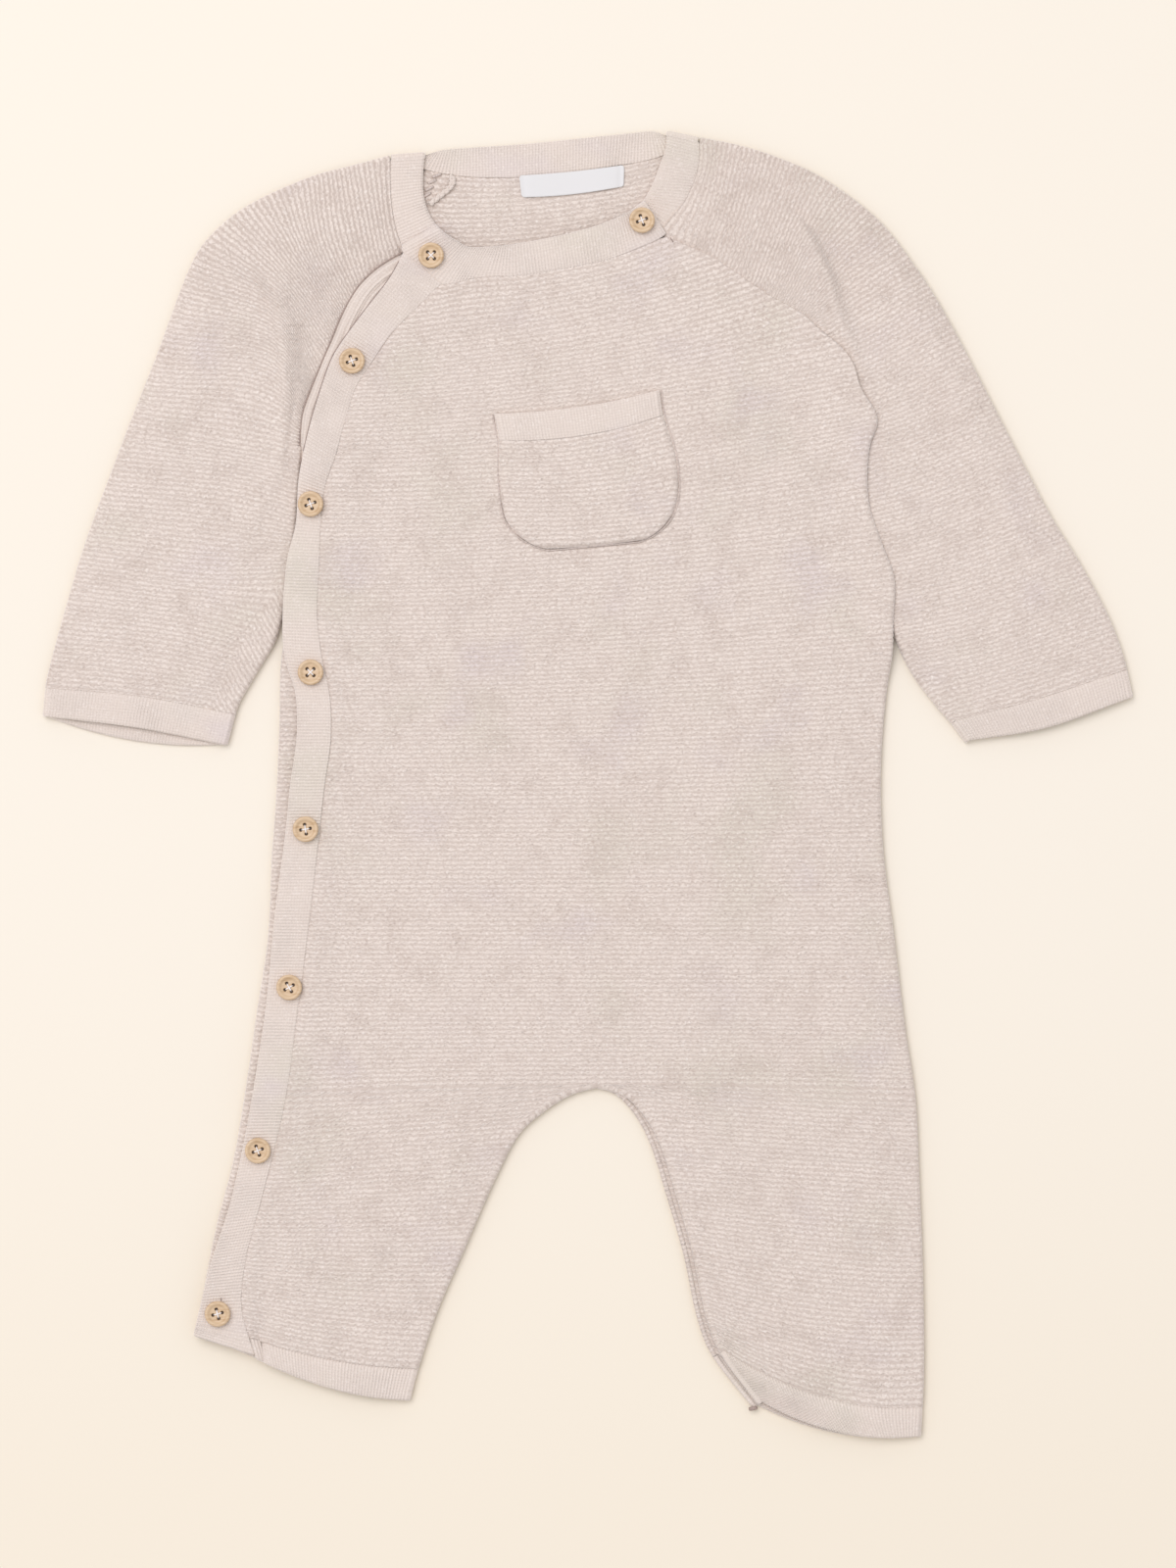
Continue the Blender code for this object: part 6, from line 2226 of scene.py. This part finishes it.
@dataclass
class Bands:
    """The rib neckbands, the button band and the under band."""

    finishes: Finishes
    columns: int = 13

    def ribbon(self, inner: Array, outer: Array, level: float | Array,
               seam_dip: float, ends: tuple[float, float]) -> Patch:
        """Return a flat band between a free edge and a sewn edge, ribbed across its run.

        Args:
            inner: the free edge.
            outer: the sewn edge.
            level: the height of its middle, for each station.
            seam_dip: how far the sewn edge is drawn down.
            ends: how long each end takes to thin out over what it lies on, or 0 if it is sewn.

        Returns:
            The band, one row for each station.
        """
        plan = sagging(inner, outer, 0.0, clustered(self.columns, 0.8))
        along = run_along(plan, axis=0).mean(axis=1)[:, None]
        if not ends[0]:
            gap = seam_y(NECK_SEAM, plan[0, :, 0]) - SEAM / 2 - plan[0, :, 1]
            plan[..., 1] += fade(along, 4.0) * gap
        across = run_along(plan)
        height = np.broadcast_to(np.reshape(level, (len(inner), -1)), across.shape)
        height = height + dipped(across[:, -1:] - across, seam_dip)
        share = rounded(across)
        for distance, length in ((along, ends[0]), (along[-1] - along, ends[1])):
            if length:
                thin = rounded(distance, length)
                height = height - (1 - thin) * CLOTH / 2
                share = np.minimum(share, thin)
        relief = wave(along, RIB, RIB_RELIEF * (1 + 0.6 * uneven(plan, 6.0, 0.4)))
        return patch(with_height(plan, height), across, along, relief, share)

    @staticmethod
    def stations(source: Table, names: str, step: float = RIB_STEP) -> Array:
        """Return evenly spaced row numbers along a band's table.

        Args:
            source: the table.
            names: the columns of the line that is measured.
            step: the distance between the rows.

        Returns:
            The row numbers.
        """
        def line_at(rows: Array) -> Array:
            """Return the points of the line."""
            return read(source, names, rows)[:, None]
        return even_rows(line_at, 0, len(next(iter(source.values()))) - 1, step)

    @staticmethod
    def fold_direction(line: Array) -> Array:
        """Return one vector across a fold line, for each of its points, towards +Y.

        Args:
            line: the points of the fold line.

        Returns:
            The vectors.
        """
        run = line[-1, :2] - line[0, :2]
        run = run / np.linalg.norm(run)
        across = np.array([-run[1], run[0]])
        return np.tile(across * np.sign(across[1]), (len(line), 1))

    @staticmethod
    def set_back(band: Array, out: Array) -> Array:
        """Shorten a band, so that the fold after its last row ends where that row was.

        Args:
            band: the grid of the band.
            out: the direction of the fold.

        Returns:
            The shorter grid.
        """
        short = ((band[:, :, :2] - band[-1, :, :2]) @ out).mean(axis=1) < -FOLD_REACH - RIB_STEP
        last = band[-1:].copy()
        last[..., :2] -= FOLD_REACH * out
        return np.concatenate([band[short], last])

    def flat_part(self, source: Table, level: float) -> Array:
        """Return one flat part of the neckband.

        Args:
            source: its stations.
            level: its height.

        Returns:
            A grid of points.
        """
        both = read(source, NECKBAND_COLUMNS, self.stations(source, "outer_x outer_y"))
        plan = sagging(both[:, :2], both[:, 2:], 0.0, clustered(self.columns, 0.8))
        return with_height(plan, level)

    def neckband(self) -> Object:
        """Make the neckband: two upper ends, two folds over the shoulders and the back between.

        Returns:
            The neckband.
        """
        right = self.flat_part(NECKBAND_RIGHT, UPPER_WALL)
        back = self.flat_part(NECKBAND_BACK, LOWER_WALL)
        left = self.flat_part(NECKBAND_LEFT, UPPER_WALL)
        right_out, left_out = self.fold_direction(right[-1]), self.fold_direction(left[0])
        right = self.set_back(right, right_out[0])
        left = self.set_back(left[::-1], left_out[0])[::-1]
        right_fold = turned_over(right[-1], right_out, steps=16).swapaxes(0, 1)
        left_fold = turned_over(left[0], left_out, steps=16).swapaxes(0, 1)[::-1]
        back[0], back[-1] = right_fold[-1], left_fold[0]
        grid = np.concatenate([right, right_fold[1:-1], back, left_fold[1:-1], left])
        across = run_along(grid)
        along = run_along(grid, axis=0).mean(axis=1)[:, None]
        share = np.minimum(rounded(across), rounded(along))
        share = np.minimum(share, rounded(along[-1] - along))
        grid[..., 2] += dipped(across[:, -1:] - across, 0.3)
        grid[..., 2] = np.maximum(grid[..., 2], LOWER_WALL + RIB_RELIEF)
        relief = wave(along, RIB, RIB_RELIEF * (1 + 0.6 * uneven(grid[..., :2], 6.0, 0.4)))
        piece = make_shell("rib_neckband", [patch(grid, across, along, relief, share)], CLOTH,
                           self.finishes.rib)
        return settle(piece, "neckband")

    def front_neckband(self) -> Object:
        """Make the front neckband, whose outer edge follows the neck seam.

        Returns:
            The front neckband.
        """
        rows = self.stations(FRONT_NECKBAND, "inner_x inner_y")
        inner = read(FRONT_NECKBAND, "inner_x inner_y", rows)
        outer_x, lift, level = read(FRONT_NECKBAND, "outer_x lift level", rows).T
        outer_y = seam_y(NECK_SEAM, outer_x) - NECK_OVERLAP + np.maximum(lift, 0)
        outer = np.stack([outer_x, outer_y], axis=-1)
        band = self.ribbon(inner, outer, level, 0.25, (3.0, 3.0))
        piece = make_shell("rib_neckband_front", [band], CLOTH, self.finishes.rib)
        return settle(piece, "neckband_front")

    def button_band(self) -> Object:
        """Make the button band, whose inner edge follows the band seam.

        Returns:
            The button band.
        """
        rows = self.stations(BUTTON_BAND, "left_x left_y")
        left = read(BUTTON_BAND, "left_x left_y", rows)
        seam = edge_at(BAND_SEAM, read(BUTTON_BAND, "seam_y", rows)[:, 0], -SEAM / 2)
        y = left[:, 1:]
        toward_edge = 1 - clustered(self.columns, 0.8)
        level = BUTTON_BAND_LEVEL + gape(y) * (0.4 + 0.8 * toward_edge)
        band = self.ribbon(left, seam, level, 0.25, (0.0, CLOTH / 2))
        piece = make_shell("rib_button_band", [band], CLOTH, self.finishes.rib)
        return settle(piece, "button_band")

    def under_band(self) -> Object:
        """Make the under band, sewn along the opening, with its ribs along its length.

        Returns:
            The under band.
        """
        count = round((UNDER_BAND_ENDS[0] - UNDER_BAND_ENDS[1]) / (5 * RIB_STEP))
        y = np.linspace(*UNDER_BAND_ENDS, count)
        left = edge_at(OPENING, y, SEAM / 2)
        right = edge_at(OPENING, y, SEAM / 2 + UNDER_BAND_WIDTH)
        plan = sagging(left, right, 0.0, np.linspace(0, 1, 2 * self.columns))
        across = run_along(plan)
        along = run_along(plan, axis=0).mean(axis=1)[:, None]
        share = np.minimum(rounded(across[:, -1:] - across), rounded(along[-1] - along))
        swell, place, reach = UNDER_BAND_SWELL
        height = UPPER_WALL + dipped(across, UNDER_BAND_PULL)
        height = height + swell * np.exp(-(((across - place) / reach) ** 2))
        relief = wave(across, UNDER_RIB, UNDER_RIB_RELIEF * (1 + 0.5 * uneven(plan, 5.0, 1.1)))
        band = patch(with_height(plan, height), along, across, relief, share)
        piece = make_shell("rib_under_band", [band], CLOTH, self.finishes.rib)
        return settle(piece, "under_band")


# ---- Pocket and label ----


def flat_patch(source: Table, rows: Array, part: Array) -> Array:
    """Return the courses of a flat patch in plan, at row numbers of its table.

    Args:
        source: the table.
        rows: row numbers.
        part: shares of the columns.

    Returns:
        A grid of points in plan.
    """
    right = read(source, "right_x right_y", rows)
    left = read(source, "left_x left_y", rows)
    return sagging(right, left, read(source, "sag", rows)[:, 0], part)


@dataclass
class Pocket:
    """The patch pocket and its rib top, sewn on at the sides and the bottom."""

    finishes: Finishes
    columns: int = 40
    sewn_dip: float = 0.35
    rim_rise: float = 0.35
    top_shares: tuple[float, ...] = (0, 0.03, 0.08, 0.15, 0.3, 0.5, 0.7, 0.88, 0.96, 1)

    def heights(self, plan: Array, inside: Array) -> Array:
        """Return heights over the front, drawn down at the sewn edges, with a rim beside them.

        Args:
            plan: plan points.
            inside: their distance from the sewn edges.

        Returns:
            The height at each point.
        """
        rim = self.rim_rise * np.exp(-(((inside - 1.6) / 0.9) ** 2))
        return front_height(plan) + POCKET_LIFT + dipped(inside, self.sewn_dip) + rim

    def build(self) -> None:
        """Make the pocket and its rib top."""
        self.body()
        self.top()

    def body(self) -> Object:
        """Make the garter knit part.

        Returns:
            The pocket.
        """
        def line_at(rows: Array) -> Array:
            """Return three points of the courses."""
            return flat_patch(POCKET, rows, np.array([0.2, 0.5, 0.8]))
        rows = even_rows(line_at, POCKET_SEAM + POCKET_GAP, len(POCKET["sag"]) - 1, ROW_STEP)
        plan = flat_patch(POCKET, rows, clustered(self.columns))
        along = run_along(plan)
        down = (np.arange(len(rows)) * ROW_STEP)[:, None]
        inside = np.minimum(np.minimum(along, along[:, -1:] - along), down[-1] - down)
        height = self.heights(plan, inside) + dipped(down, 0.3)
        relief = knit_relief(down, plan, 0.5 * RIDGE_RELIEF, 1 - 0.6 * np.exp(-inside))
        body = patch(with_height(plan, height), along - along[:, -1:] / 2, down, relief,
                     rounded(inside, POCKET_CLOTH / 2))
        piece = make_shell("knit_pocket", [body], POCKET_CLOTH, self.finishes.knit)
        return settle(piece, "pocket")

    def top(self) -> Object:
        """Make the rib top, whose upper edge is free.

        Returns:
            The rib top.
        """
        rows = np.array(self.top_shares) * (POCKET_SEAM - POCKET_GAP)
        width = POCKET["left_x"][0] - POCKET["right_x"][0]
        plan = flat_patch(POCKET, rows, np.linspace(0, 1, round(width / RIB_STEP)))
        along = run_along(plan).mean(axis=0)
        down = run_along(plan, axis=0)
        inside = np.minimum(along, along[-1] - along)[None, :] * np.ones_like(down)
        height = self.heights(plan, inside) + dipped(down[-1] - down, 0.3)
        share = np.minimum(rounded(inside, POCKET_CLOTH / 2), rounded(down, POCKET_CLOTH / 2))
        relief = wave(along, RIB, 0.6 * RIB_RELIEF)
        band = patch(with_height(plan, height), down, along, relief, share)
        piece = make_shell("rib_pocket_top", [band], POCKET_CLOTH, self.finishes.rib)
        return settle(piece, "pocket_band")


@dataclass
class NeckLabel:
    """The bare white label inside the neck, with rounded corners."""

    finishes: Finishes
    columns: int = 60
    rows: int = 17

    def build(self) -> Object:
        """Make the label: it lies on the back with its ends pressed down by their stitches.

        Returns:
            The label.
        """
        part = clustered(self.columns, 0.8)
        rows = clustered(self.rows, 0.8)
        plan = flat_patch(LABEL, rows, part)
        height = LABEL["right_y"][0] - LABEL["right_y"][1]
        near_edge = np.minimum(rows, 1 - rows) * height
        short = np.maximum(LABEL_CORNER - near_edge, 0)
        pull = LABEL_CORNER - np.sqrt(np.maximum(LABEL_CORNER**2 - short**2, 0))
        length = LABEL["left_x"][0] - LABEL["right_x"][0]
        plan[..., 0] += pull[:, None] * (1 - 2 * part)
        along, down = part * length, rows[:, None] * height
        to_end = np.minimum(along, length - along)
        level = LABEL_LEVEL - 0.25 * np.exp(-((to_end - 1.5) / 1.2) ** 2)
        level = level + 0.12 * np.sin(along / 5.0 + 1.0) + 0.1 * np.cos(down / 3.0)
        inside = np.minimum(np.broadcast_to(to_end, level.shape), near_edge[:, None])
        piece = make_shell("woven_label", [patch(
            with_height(plan, level), along, down, 0.0, rounded(inside, TAPE / 2))],
            TAPE, self.finishes.tape)
        return settle(piece, "label")


# ---- Buttons ----


@dataclass
class Buttons:
    """Nine turned wooden buttons with four holes each, and the thread through the holes."""

    finishes: Finishes
    rings: int = 38
    sectors: int = 84
    hole_depth: float = 1.3
    hole_wall: float = 0.16
    thread_radius: float = 0.26
    thread_height: float = 1.62
    thread_over: float = 0.2
    thread_drop: float = 1.1
    thread_bend: float = 0.2

    @property
    def bottom(self) -> float:
        """Return the height of the buttons' underside."""
        return BUTTON_BAND_LEVEL + CLOTH / 2 + BUTTON_CLEARANCE

    def profile(self) -> tuple[Array, Array]:
        """Return the turned profile, from the middle of the top round the rim to the underside.

        Returns:
            Radii and heights.
        """
        radius, height = BUTTON_PROFILE.values()
        run = np.concatenate([[0], np.cumsum(np.hypot(np.diff(radius), np.diff(height)))])
        at = np.linspace(0, run[-1], self.rings * 2)
        return through(run, radius, at, level=True), through(run, height, at, level=True)

    def build(self) -> None:
        """Make all the buttons and one piece of thread for each."""
        for number, (x, y, turn) in enumerate(zip(*BUTTONS.values()), start=1):
            self.button(number, x, y, math.radians(turn))
            self.thread(number, x, y, math.radians(turn))

    def button(self, number: int, x: float, y: float, turn: float) -> Object:
        """Make one button: a turned profile whose top drops into four round holes.

        Args:
            number: its number, from the neck down.
            x: its middle.
            y: its middle.
            turn: its turn in radians.

        Returns:
            The button.
        """
        radius, height = self.profile()
        angle = 2 * math.pi * np.arange(self.sectors) / self.sectors
        across = radius[:, None] * np.cos(angle)
        along = radius[:, None] * np.sin(angle)
        level = height[:, None] * np.ones(self.sectors)
        top = np.arange(len(radius))[:, None] < len(radius) // 2
        # How far each point sinks into the holes, from 0 to 1: where the painted shade goes.
        sunk = np.zeros_like(level)
        for quarter in range(4):
            place = turn + quarter * math.pi / 2
            apart = np.hypot(across - BUTTON_HOLE_PLACE * math.cos(place),
                             along - BUTTON_HOLE_PLACE * math.sin(place))
            depth = self.hole_depth * np.clip((BUTTON_HOLE_RADIUS - apart) / self.hole_wall, 0, 1)
            lip = 0.06 * np.exp(-(((apart - BUTTON_HOLE_RADIUS - 0.1) / 0.15) ** 2))
            level = np.where(top, level - depth - lip, level)
            sunk = np.maximum(sunk, top * np.clip(depth / 0.6, 0, 1))
        points = np.stack([x + across, y + along, self.bottom + level], axis=-1)
        rings, sectors = points.shape[:2]
        corner = np.arange(rings * sectors).reshape(rings, sectors)
        after = np.roll(corner, -1, axis=1)
        quads = np.stack([corner[:-1], corner[1:], after[1:], after[:-1]], axis=-1)
        quads = quads[1:-1].reshape(-1, 4)
        flat = points.reshape(-1, 3)
        pattern = flat[quads][..., :2]
        piece = make_mesh(f"turned_button_{number}", flat, quads, pattern, self.finishes.wood)
        # The painted shade in the holes, read by the wood's material.
        holes = piece.data.attributes.new("hole_shade", "FLOAT", "POINT")
        holes.data.foreach_set("value", sunk.ravel().astype(np.float32))
        close_rings(piece)
        return settle(piece, f"button_{number}")

    def thread(self, number: int, x: float, y: float, turn: float) -> Object:
        """Make the crossed thread: two low arches between opposite holes.

        Args:
            number: the button's number.
            x: the button's middle.
            y: the button's middle.
            turn: the button's turn in radians.

        Returns:
            The thread.
        """
        tubes = []
        for quarter, lift in ((0, 0.0), (1, self.thread_over)):
            place = turn + quarter * math.pi / 2
            part = np.linspace(-1, 1, 15)
            reach = (BUTTON_HOLE_PLACE - 0.35) * part
            ends = np.clip(np.abs(part) - (1 - self.thread_bend), 0, 1)
            rise = (self.thread_height + self.thread_radius * 0.6 + lift
                    - self.thread_drop * ends / self.thread_bend)
            path = np.stack([
                x + reach * math.cos(place), y + reach * math.sin(place), self.bottom + rise,
            ], axis=-1)
            tubes.append(tube_grid(path, self.thread_radius, 10))
        piece = tubes_mesh(f"button_thread_{number}", tubes, self.finishes.thread)
        return settle(piece, None)


@dataclass
class SewingDetails:
    """The small threads: the neck seam's edge, painted shadow lines, thread ends and a stitch knot."""

    finishes: Finishes
    sides: int = 8
    chain_radius: float = 0.7
    chain_sway: float = 0.3
    chain_turns: int = 7
    line_radius: float = 0.27
    slit: tuple[float, float] = (213.5, 112.0)
    band_stations: tuple[float, float] = (0.3, 6.4)
    pocket_radius: float = 0.26
    pocket_margin: float = 0.75
    end_radius: float = 0.22

    def build(self) -> None:
        """Make every group of threads as one piece."""
        self.seam_edge()
        self.slit_shadow_line()
        self.band_edge_shadow_line()
        self.pocket_shadow_line()
        self.thread_ends()

    def seam_edge(self) -> None:
        """Make the neck seam's overlocked edge: two chains that twine, and darker slanting stitches that
        also paint shade.
        """
        part = np.linspace(0, 1, 60)
        y = np.linspace(SEAM_EDGE["y"][0], SEAM_EDGE["y"][-1], 60)
        line = through(SEAM_EDGE["y"], SEAM_EDGE["x"], y)
        chain = []
        for phase, out in ((0.0, -0.45), (math.pi, 0.45)):
            turn = 2 * math.pi * self.chain_turns * part + phase
            sway = self.chain_sway * np.sin(turn)
            height = SEAM_EDGE_LEVEL + 0.25 * np.sin(turn)
            path = np.stack([line + out + sway, y + self.chain_sway * np.cos(turn), height], axis=-1)
            chain.append(tube_grid(path, self.chain_radius, self.sides))
        self.piece("seam_edge", chain, self.finishes.rib, "rib_knit")
        # Darker slanting stitches, which also stand for painted shade beside the chains.
        stitches = [self.stroke(x, y, 3.4, turn, SEAM_EDGE_LEVEL - 0.7, 0.6)
                    for x, y, turn in zip(*SEAM_HATCH.values())]
        self.piece("seam_edge_threads_and_shade", stitches, self.finishes.seam, "rib_knit")

    def slit_shadow_line(self) -> None:
        """Make a dark line between the under band and the sleeve: painted shadow in the crevice there."""
        y = np.linspace(*self.slit, 120)
        level = UPPER_WALL + CLOTH / 2 - 0.9 + 0.25 * np.sin(y / 4.0)
        # Painted shadow: a dark thread laid in the crevice of the slit.
        self.line("slit_shadow_line", with_height(edge_at(OPENING, y), level), self.line_radius,
                  self.finishes.dusky)

    def band_edge_shadow_line(self) -> None:
        """Make a dark line along the free edge of the button band's upper part: painted shadow under that
        edge.
        """
        edge = read(BUTTON_BAND, "left_x left_y", np.linspace(*self.band_stations, 90))
        edge = with_height(edge + 0.25 * normals(edge, -1), UPPER_WALL + CLOTH / 2 + 0.5)
        # Painted shadow: a dark thread just outside the band's free edge.
        self.line("band_edge_shadow_line", edge, self.line_radius, self.finishes.dusky)

    def pocket_shadow_line(self) -> None:
        """Make a dark line round the pocket, just outside its edge: painted shadow of its outline."""
        rows = np.linspace(0, len(POCKET["sag"]) - 1, 60)
        right, left = read(POCKET, "right_x right_y", rows), read(POCKET, "left_x left_y", rows)
        rim = np.concatenate([right, left[::-1]])
        rim = rim + self.pocket_margin * normals(rim, -1)
        rim = with_height(rim, front_height(rim) + CLOTH / 2 + 0.72)
        # Painted shadow: a dark thread round the pocket's outline.
        self.line("pocket_shadow_line", rim, self.pocket_radius, self.finishes.seam)

    def thread_ends(self) -> None:
        """Make the loose thread ends of the buttonholes, and the knot on the left leg hem."""
        ends = [self.stroke(x, y, length, turn, level, self.end_radius)
                for x, y, length, turn, level in zip(*THREAD_ENDS.values())]
        ends.append(self.stroke(*HEM_KNOT))
        self.piece("thread_ends", ends, self.finishes.dusky, "garter_knit")

    def line(self, name: str, path: Array, radius: float, material: Material) -> None:
        """Make one long thread."""
        self.piece(name, [tube_grid(path, radius, self.sides)], material, "garter_knit")

    def piece(self, name: str, tubes: list[Array], material: Material, slot: str) -> None:
        """Join the tubes into one piece."""
        settle(tubes_mesh(name, tubes, material), None)

    def stroke(self, x: float, y: float, length: float, turn: float, level: float,
               radius: float) -> Array:
        """Return a short thread that lies flat, with its ends tucked in.

        Args:
            x: its middle.
            y: its middle.
            length: its length.
            turn: its direction in degrees.
            level: its height.
            radius: its radius.

        Returns:
            A grid of points.
        """
        reach = np.linspace(-1, 1, 9) * length / 2
        turn = math.radians(turn)
        tuck = 0.4 * np.linspace(-1, 1, 9) ** 4
        path = np.stack([x + reach * math.cos(turn), y + reach * math.sin(turn), level - tuck], axis=-1)
        return tube_grid(path, radius, self.sides)


def close_rings(piece: Object) -> None:
    """Close the open ends of a turned piece with fans, and point its faces outward.

    Args:
        piece: the piece, which is changed.
    """
    sheet = bmesh.new()
    sheet.from_mesh(piece.data)
    loose = [vertex for vertex in sheet.verts if not vertex.link_faces]
    bmesh.ops.delete(sheet, geom=loose, context="VERTS")
    rim = [edge for edge in sheet.edges if edge.is_boundary]
    if rim:
        made = bmesh.ops.holes_fill(sheet, edges=rim, sides=0)
        bmesh.ops.poke(sheet, faces=made["faces"])
    bmesh.ops.recalc_face_normals(sheet, faces=sheet.faces)
    for face in sheet.faces:
        face.smooth = True
    sheet.to_mesh(piece.data)
    sheet.free()


def tube_grid(path: Array, radius: float | Array, sides: int) -> Array:
    """Return a round tube along a path: circles across its run, upright side first.

    Args:
        path: points in mm.
        radius: the tube's radius, for each point.
        sides: points round each circle.

    Returns:
        A grid of points, a row for each point of the path.
    """
    run = np.gradient(path, axis=0)
    run /= np.linalg.norm(run, axis=1, keepdims=True)
    side = np.cross(run, (0.0, 0.0, 1.0))
    side /= np.maximum(np.linalg.norm(side, axis=1, keepdims=True), 1e-9)
    up = np.cross(side, run)
    angle = 2 * math.pi * np.arange(sides) / sides
    radius = np.reshape(radius, (-1, 1, 1))
    ring = np.cos(angle)[:, None] * side[:, None] + np.sin(angle)[:, None] * up[:, None]
    return path[:, None] + radius * ring


def tubes_mesh(name: str, tubes: Sequence[Array],
               material: Material) -> Object:
    """Join closed tubes into one piece, with their ends filled.

    Args:
        name: the name of the piece.
        tubes: a grid of rings for each tube.
        material: its material.

    Returns:
        The piece.
    """
    faces, points = [], []
    start = 0
    for tube in tubes:
        rings, sides = tube.shape[:2]
        corner = start + np.arange(rings * sides).reshape(rings, sides)
        after = np.roll(corner, -1, axis=1)
        quads = np.stack([corner[:-1], after[:-1], after[1:], corner[1:]], axis=-1)
        faces.append(quads.reshape(-1, 4))
        points.append(tube.reshape(-1, 3))
        start += rings * sides
    flat, quads = np.concatenate(points), np.concatenate(faces)
    piece = make_mesh(name, flat, quads, flat[quads][..., :2], material)
    close_rings(piece)
    return piece


# ---- Floor, light and camera ----


@dataclass
class Studio:
    """A plain pale floor, soft light from above and a camera that looks straight down."""

    floor_size: float = 6.0
    view_height: float = 0.6256
    distance: float = 2.0
    cloth_height: float = 0.004
    sensor: float = 36.0

    def build(self) -> None:
        """Make the floor, the lights and the camera."""
        half = self.floor_size / 2
        data = bpy.data.meshes.new("floor")
        corners = [(-half, -half, 0), (half, -half, 0), (half, half, 0), (-half, half, 0)]
        data.from_pydata(corners, [], [(0, 1, 2, 3)])
        data.materials.append(FloorFinish("pale_floor").material())
        floor = bpy.data.objects.new("floor", data)
        bpy.context.collection.objects.link(floor)

        self.light("key_light", (-1.05, 1.05, 3.1), 2.4, 62.0)
        world = bpy.data.worlds.new("studio")
        world.use_nodes = True
        ground = world.node_tree.nodes["Background"]
        ground.inputs["Color"].default_value = (0.985, 1.0, 1.07, 1.0)
        ground.inputs["Strength"].default_value = 0.77
        bpy.context.scene.world = world
        self.camera()

    @staticmethod
    def light(name: str, place: tuple[float, float, float], size: float, power: float) -> None:
        """Add a square soft light that faces the middle of the floor.

        Args:
            name: its name.
            place: where it hangs.
            size: the length of its side.
            power: its power in watts.
        """
        lamp = bpy.data.lights.new(name, "AREA")
        lamp.size = size
        lamp.energy = power
        lamp.color = (1.0, 1.0, 1.08)
        made = bpy.data.objects.new(name, lamp)
        made.location = place
        made.rotation_euler = (-Vector(place)).to_track_quat("-Z", "Y").to_euler()
        made.visible_camera = False
        bpy.context.collection.objects.link(made)

    def camera(self) -> None:
        """Add the camera: its long side sees view_height at the height of the cloth."""
        lens = bpy.data.cameras.new("camera")
        lens.sensor_width = self.sensor
        lens.lens = self.sensor * self.distance / self.view_height
        lens.clip_end = 20.0
        made = bpy.data.objects.new("camera", lens)
        made.location = (0.0, 0.0, self.distance + self.cloth_height)
        bpy.context.collection.objects.link(made)
        bpy.context.scene.camera = made
        bpy.context.scene.view_settings.view_transform = "Standard"


def main() -> None:
    """Dress the frame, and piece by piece."""
    logging.basicConfig(level=logging.INFO, format="%(message)s")
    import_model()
    finishes = Finishes.make()
    Studio().build()
    BackPanel(finishes).build()
    FrontPanel(finishes).build()
    sleeves = (
        Sleeve(finishes, Side.LEFT, LEFT_SLEEVE, 9, LEFT_EDGE, 6.2, BACK_LEFT_EDGE,
               SHOULDER_SEAM_LEFT, Cut(0.205, 0.265, 0.040)),
        Sleeve(finishes, Side.RIGHT, RIGHT_SLEEVE, 7, OPENING, 7.0, BACK_RIGHT_EDGE,
               SHOULDER_SEAM_RIGHT, Cut(0.205, 0.265, 0.040)),
    )
    for sleeve in sleeves:
        sleeve.build()
        sleeve.build_cuff()
    LegHems(finishes).build()
    bands = Bands(finishes)
    bands.neckband()
    bands.front_neckband()
    bands.button_band()
    bands.under_band()
    Pocket(finishes).build()
    NeckLabel(finishes).build()
    Buttons(finishes).build()
    SewingDetails(finishes).build()
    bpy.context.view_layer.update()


if __name__ == "__main__":
    main()
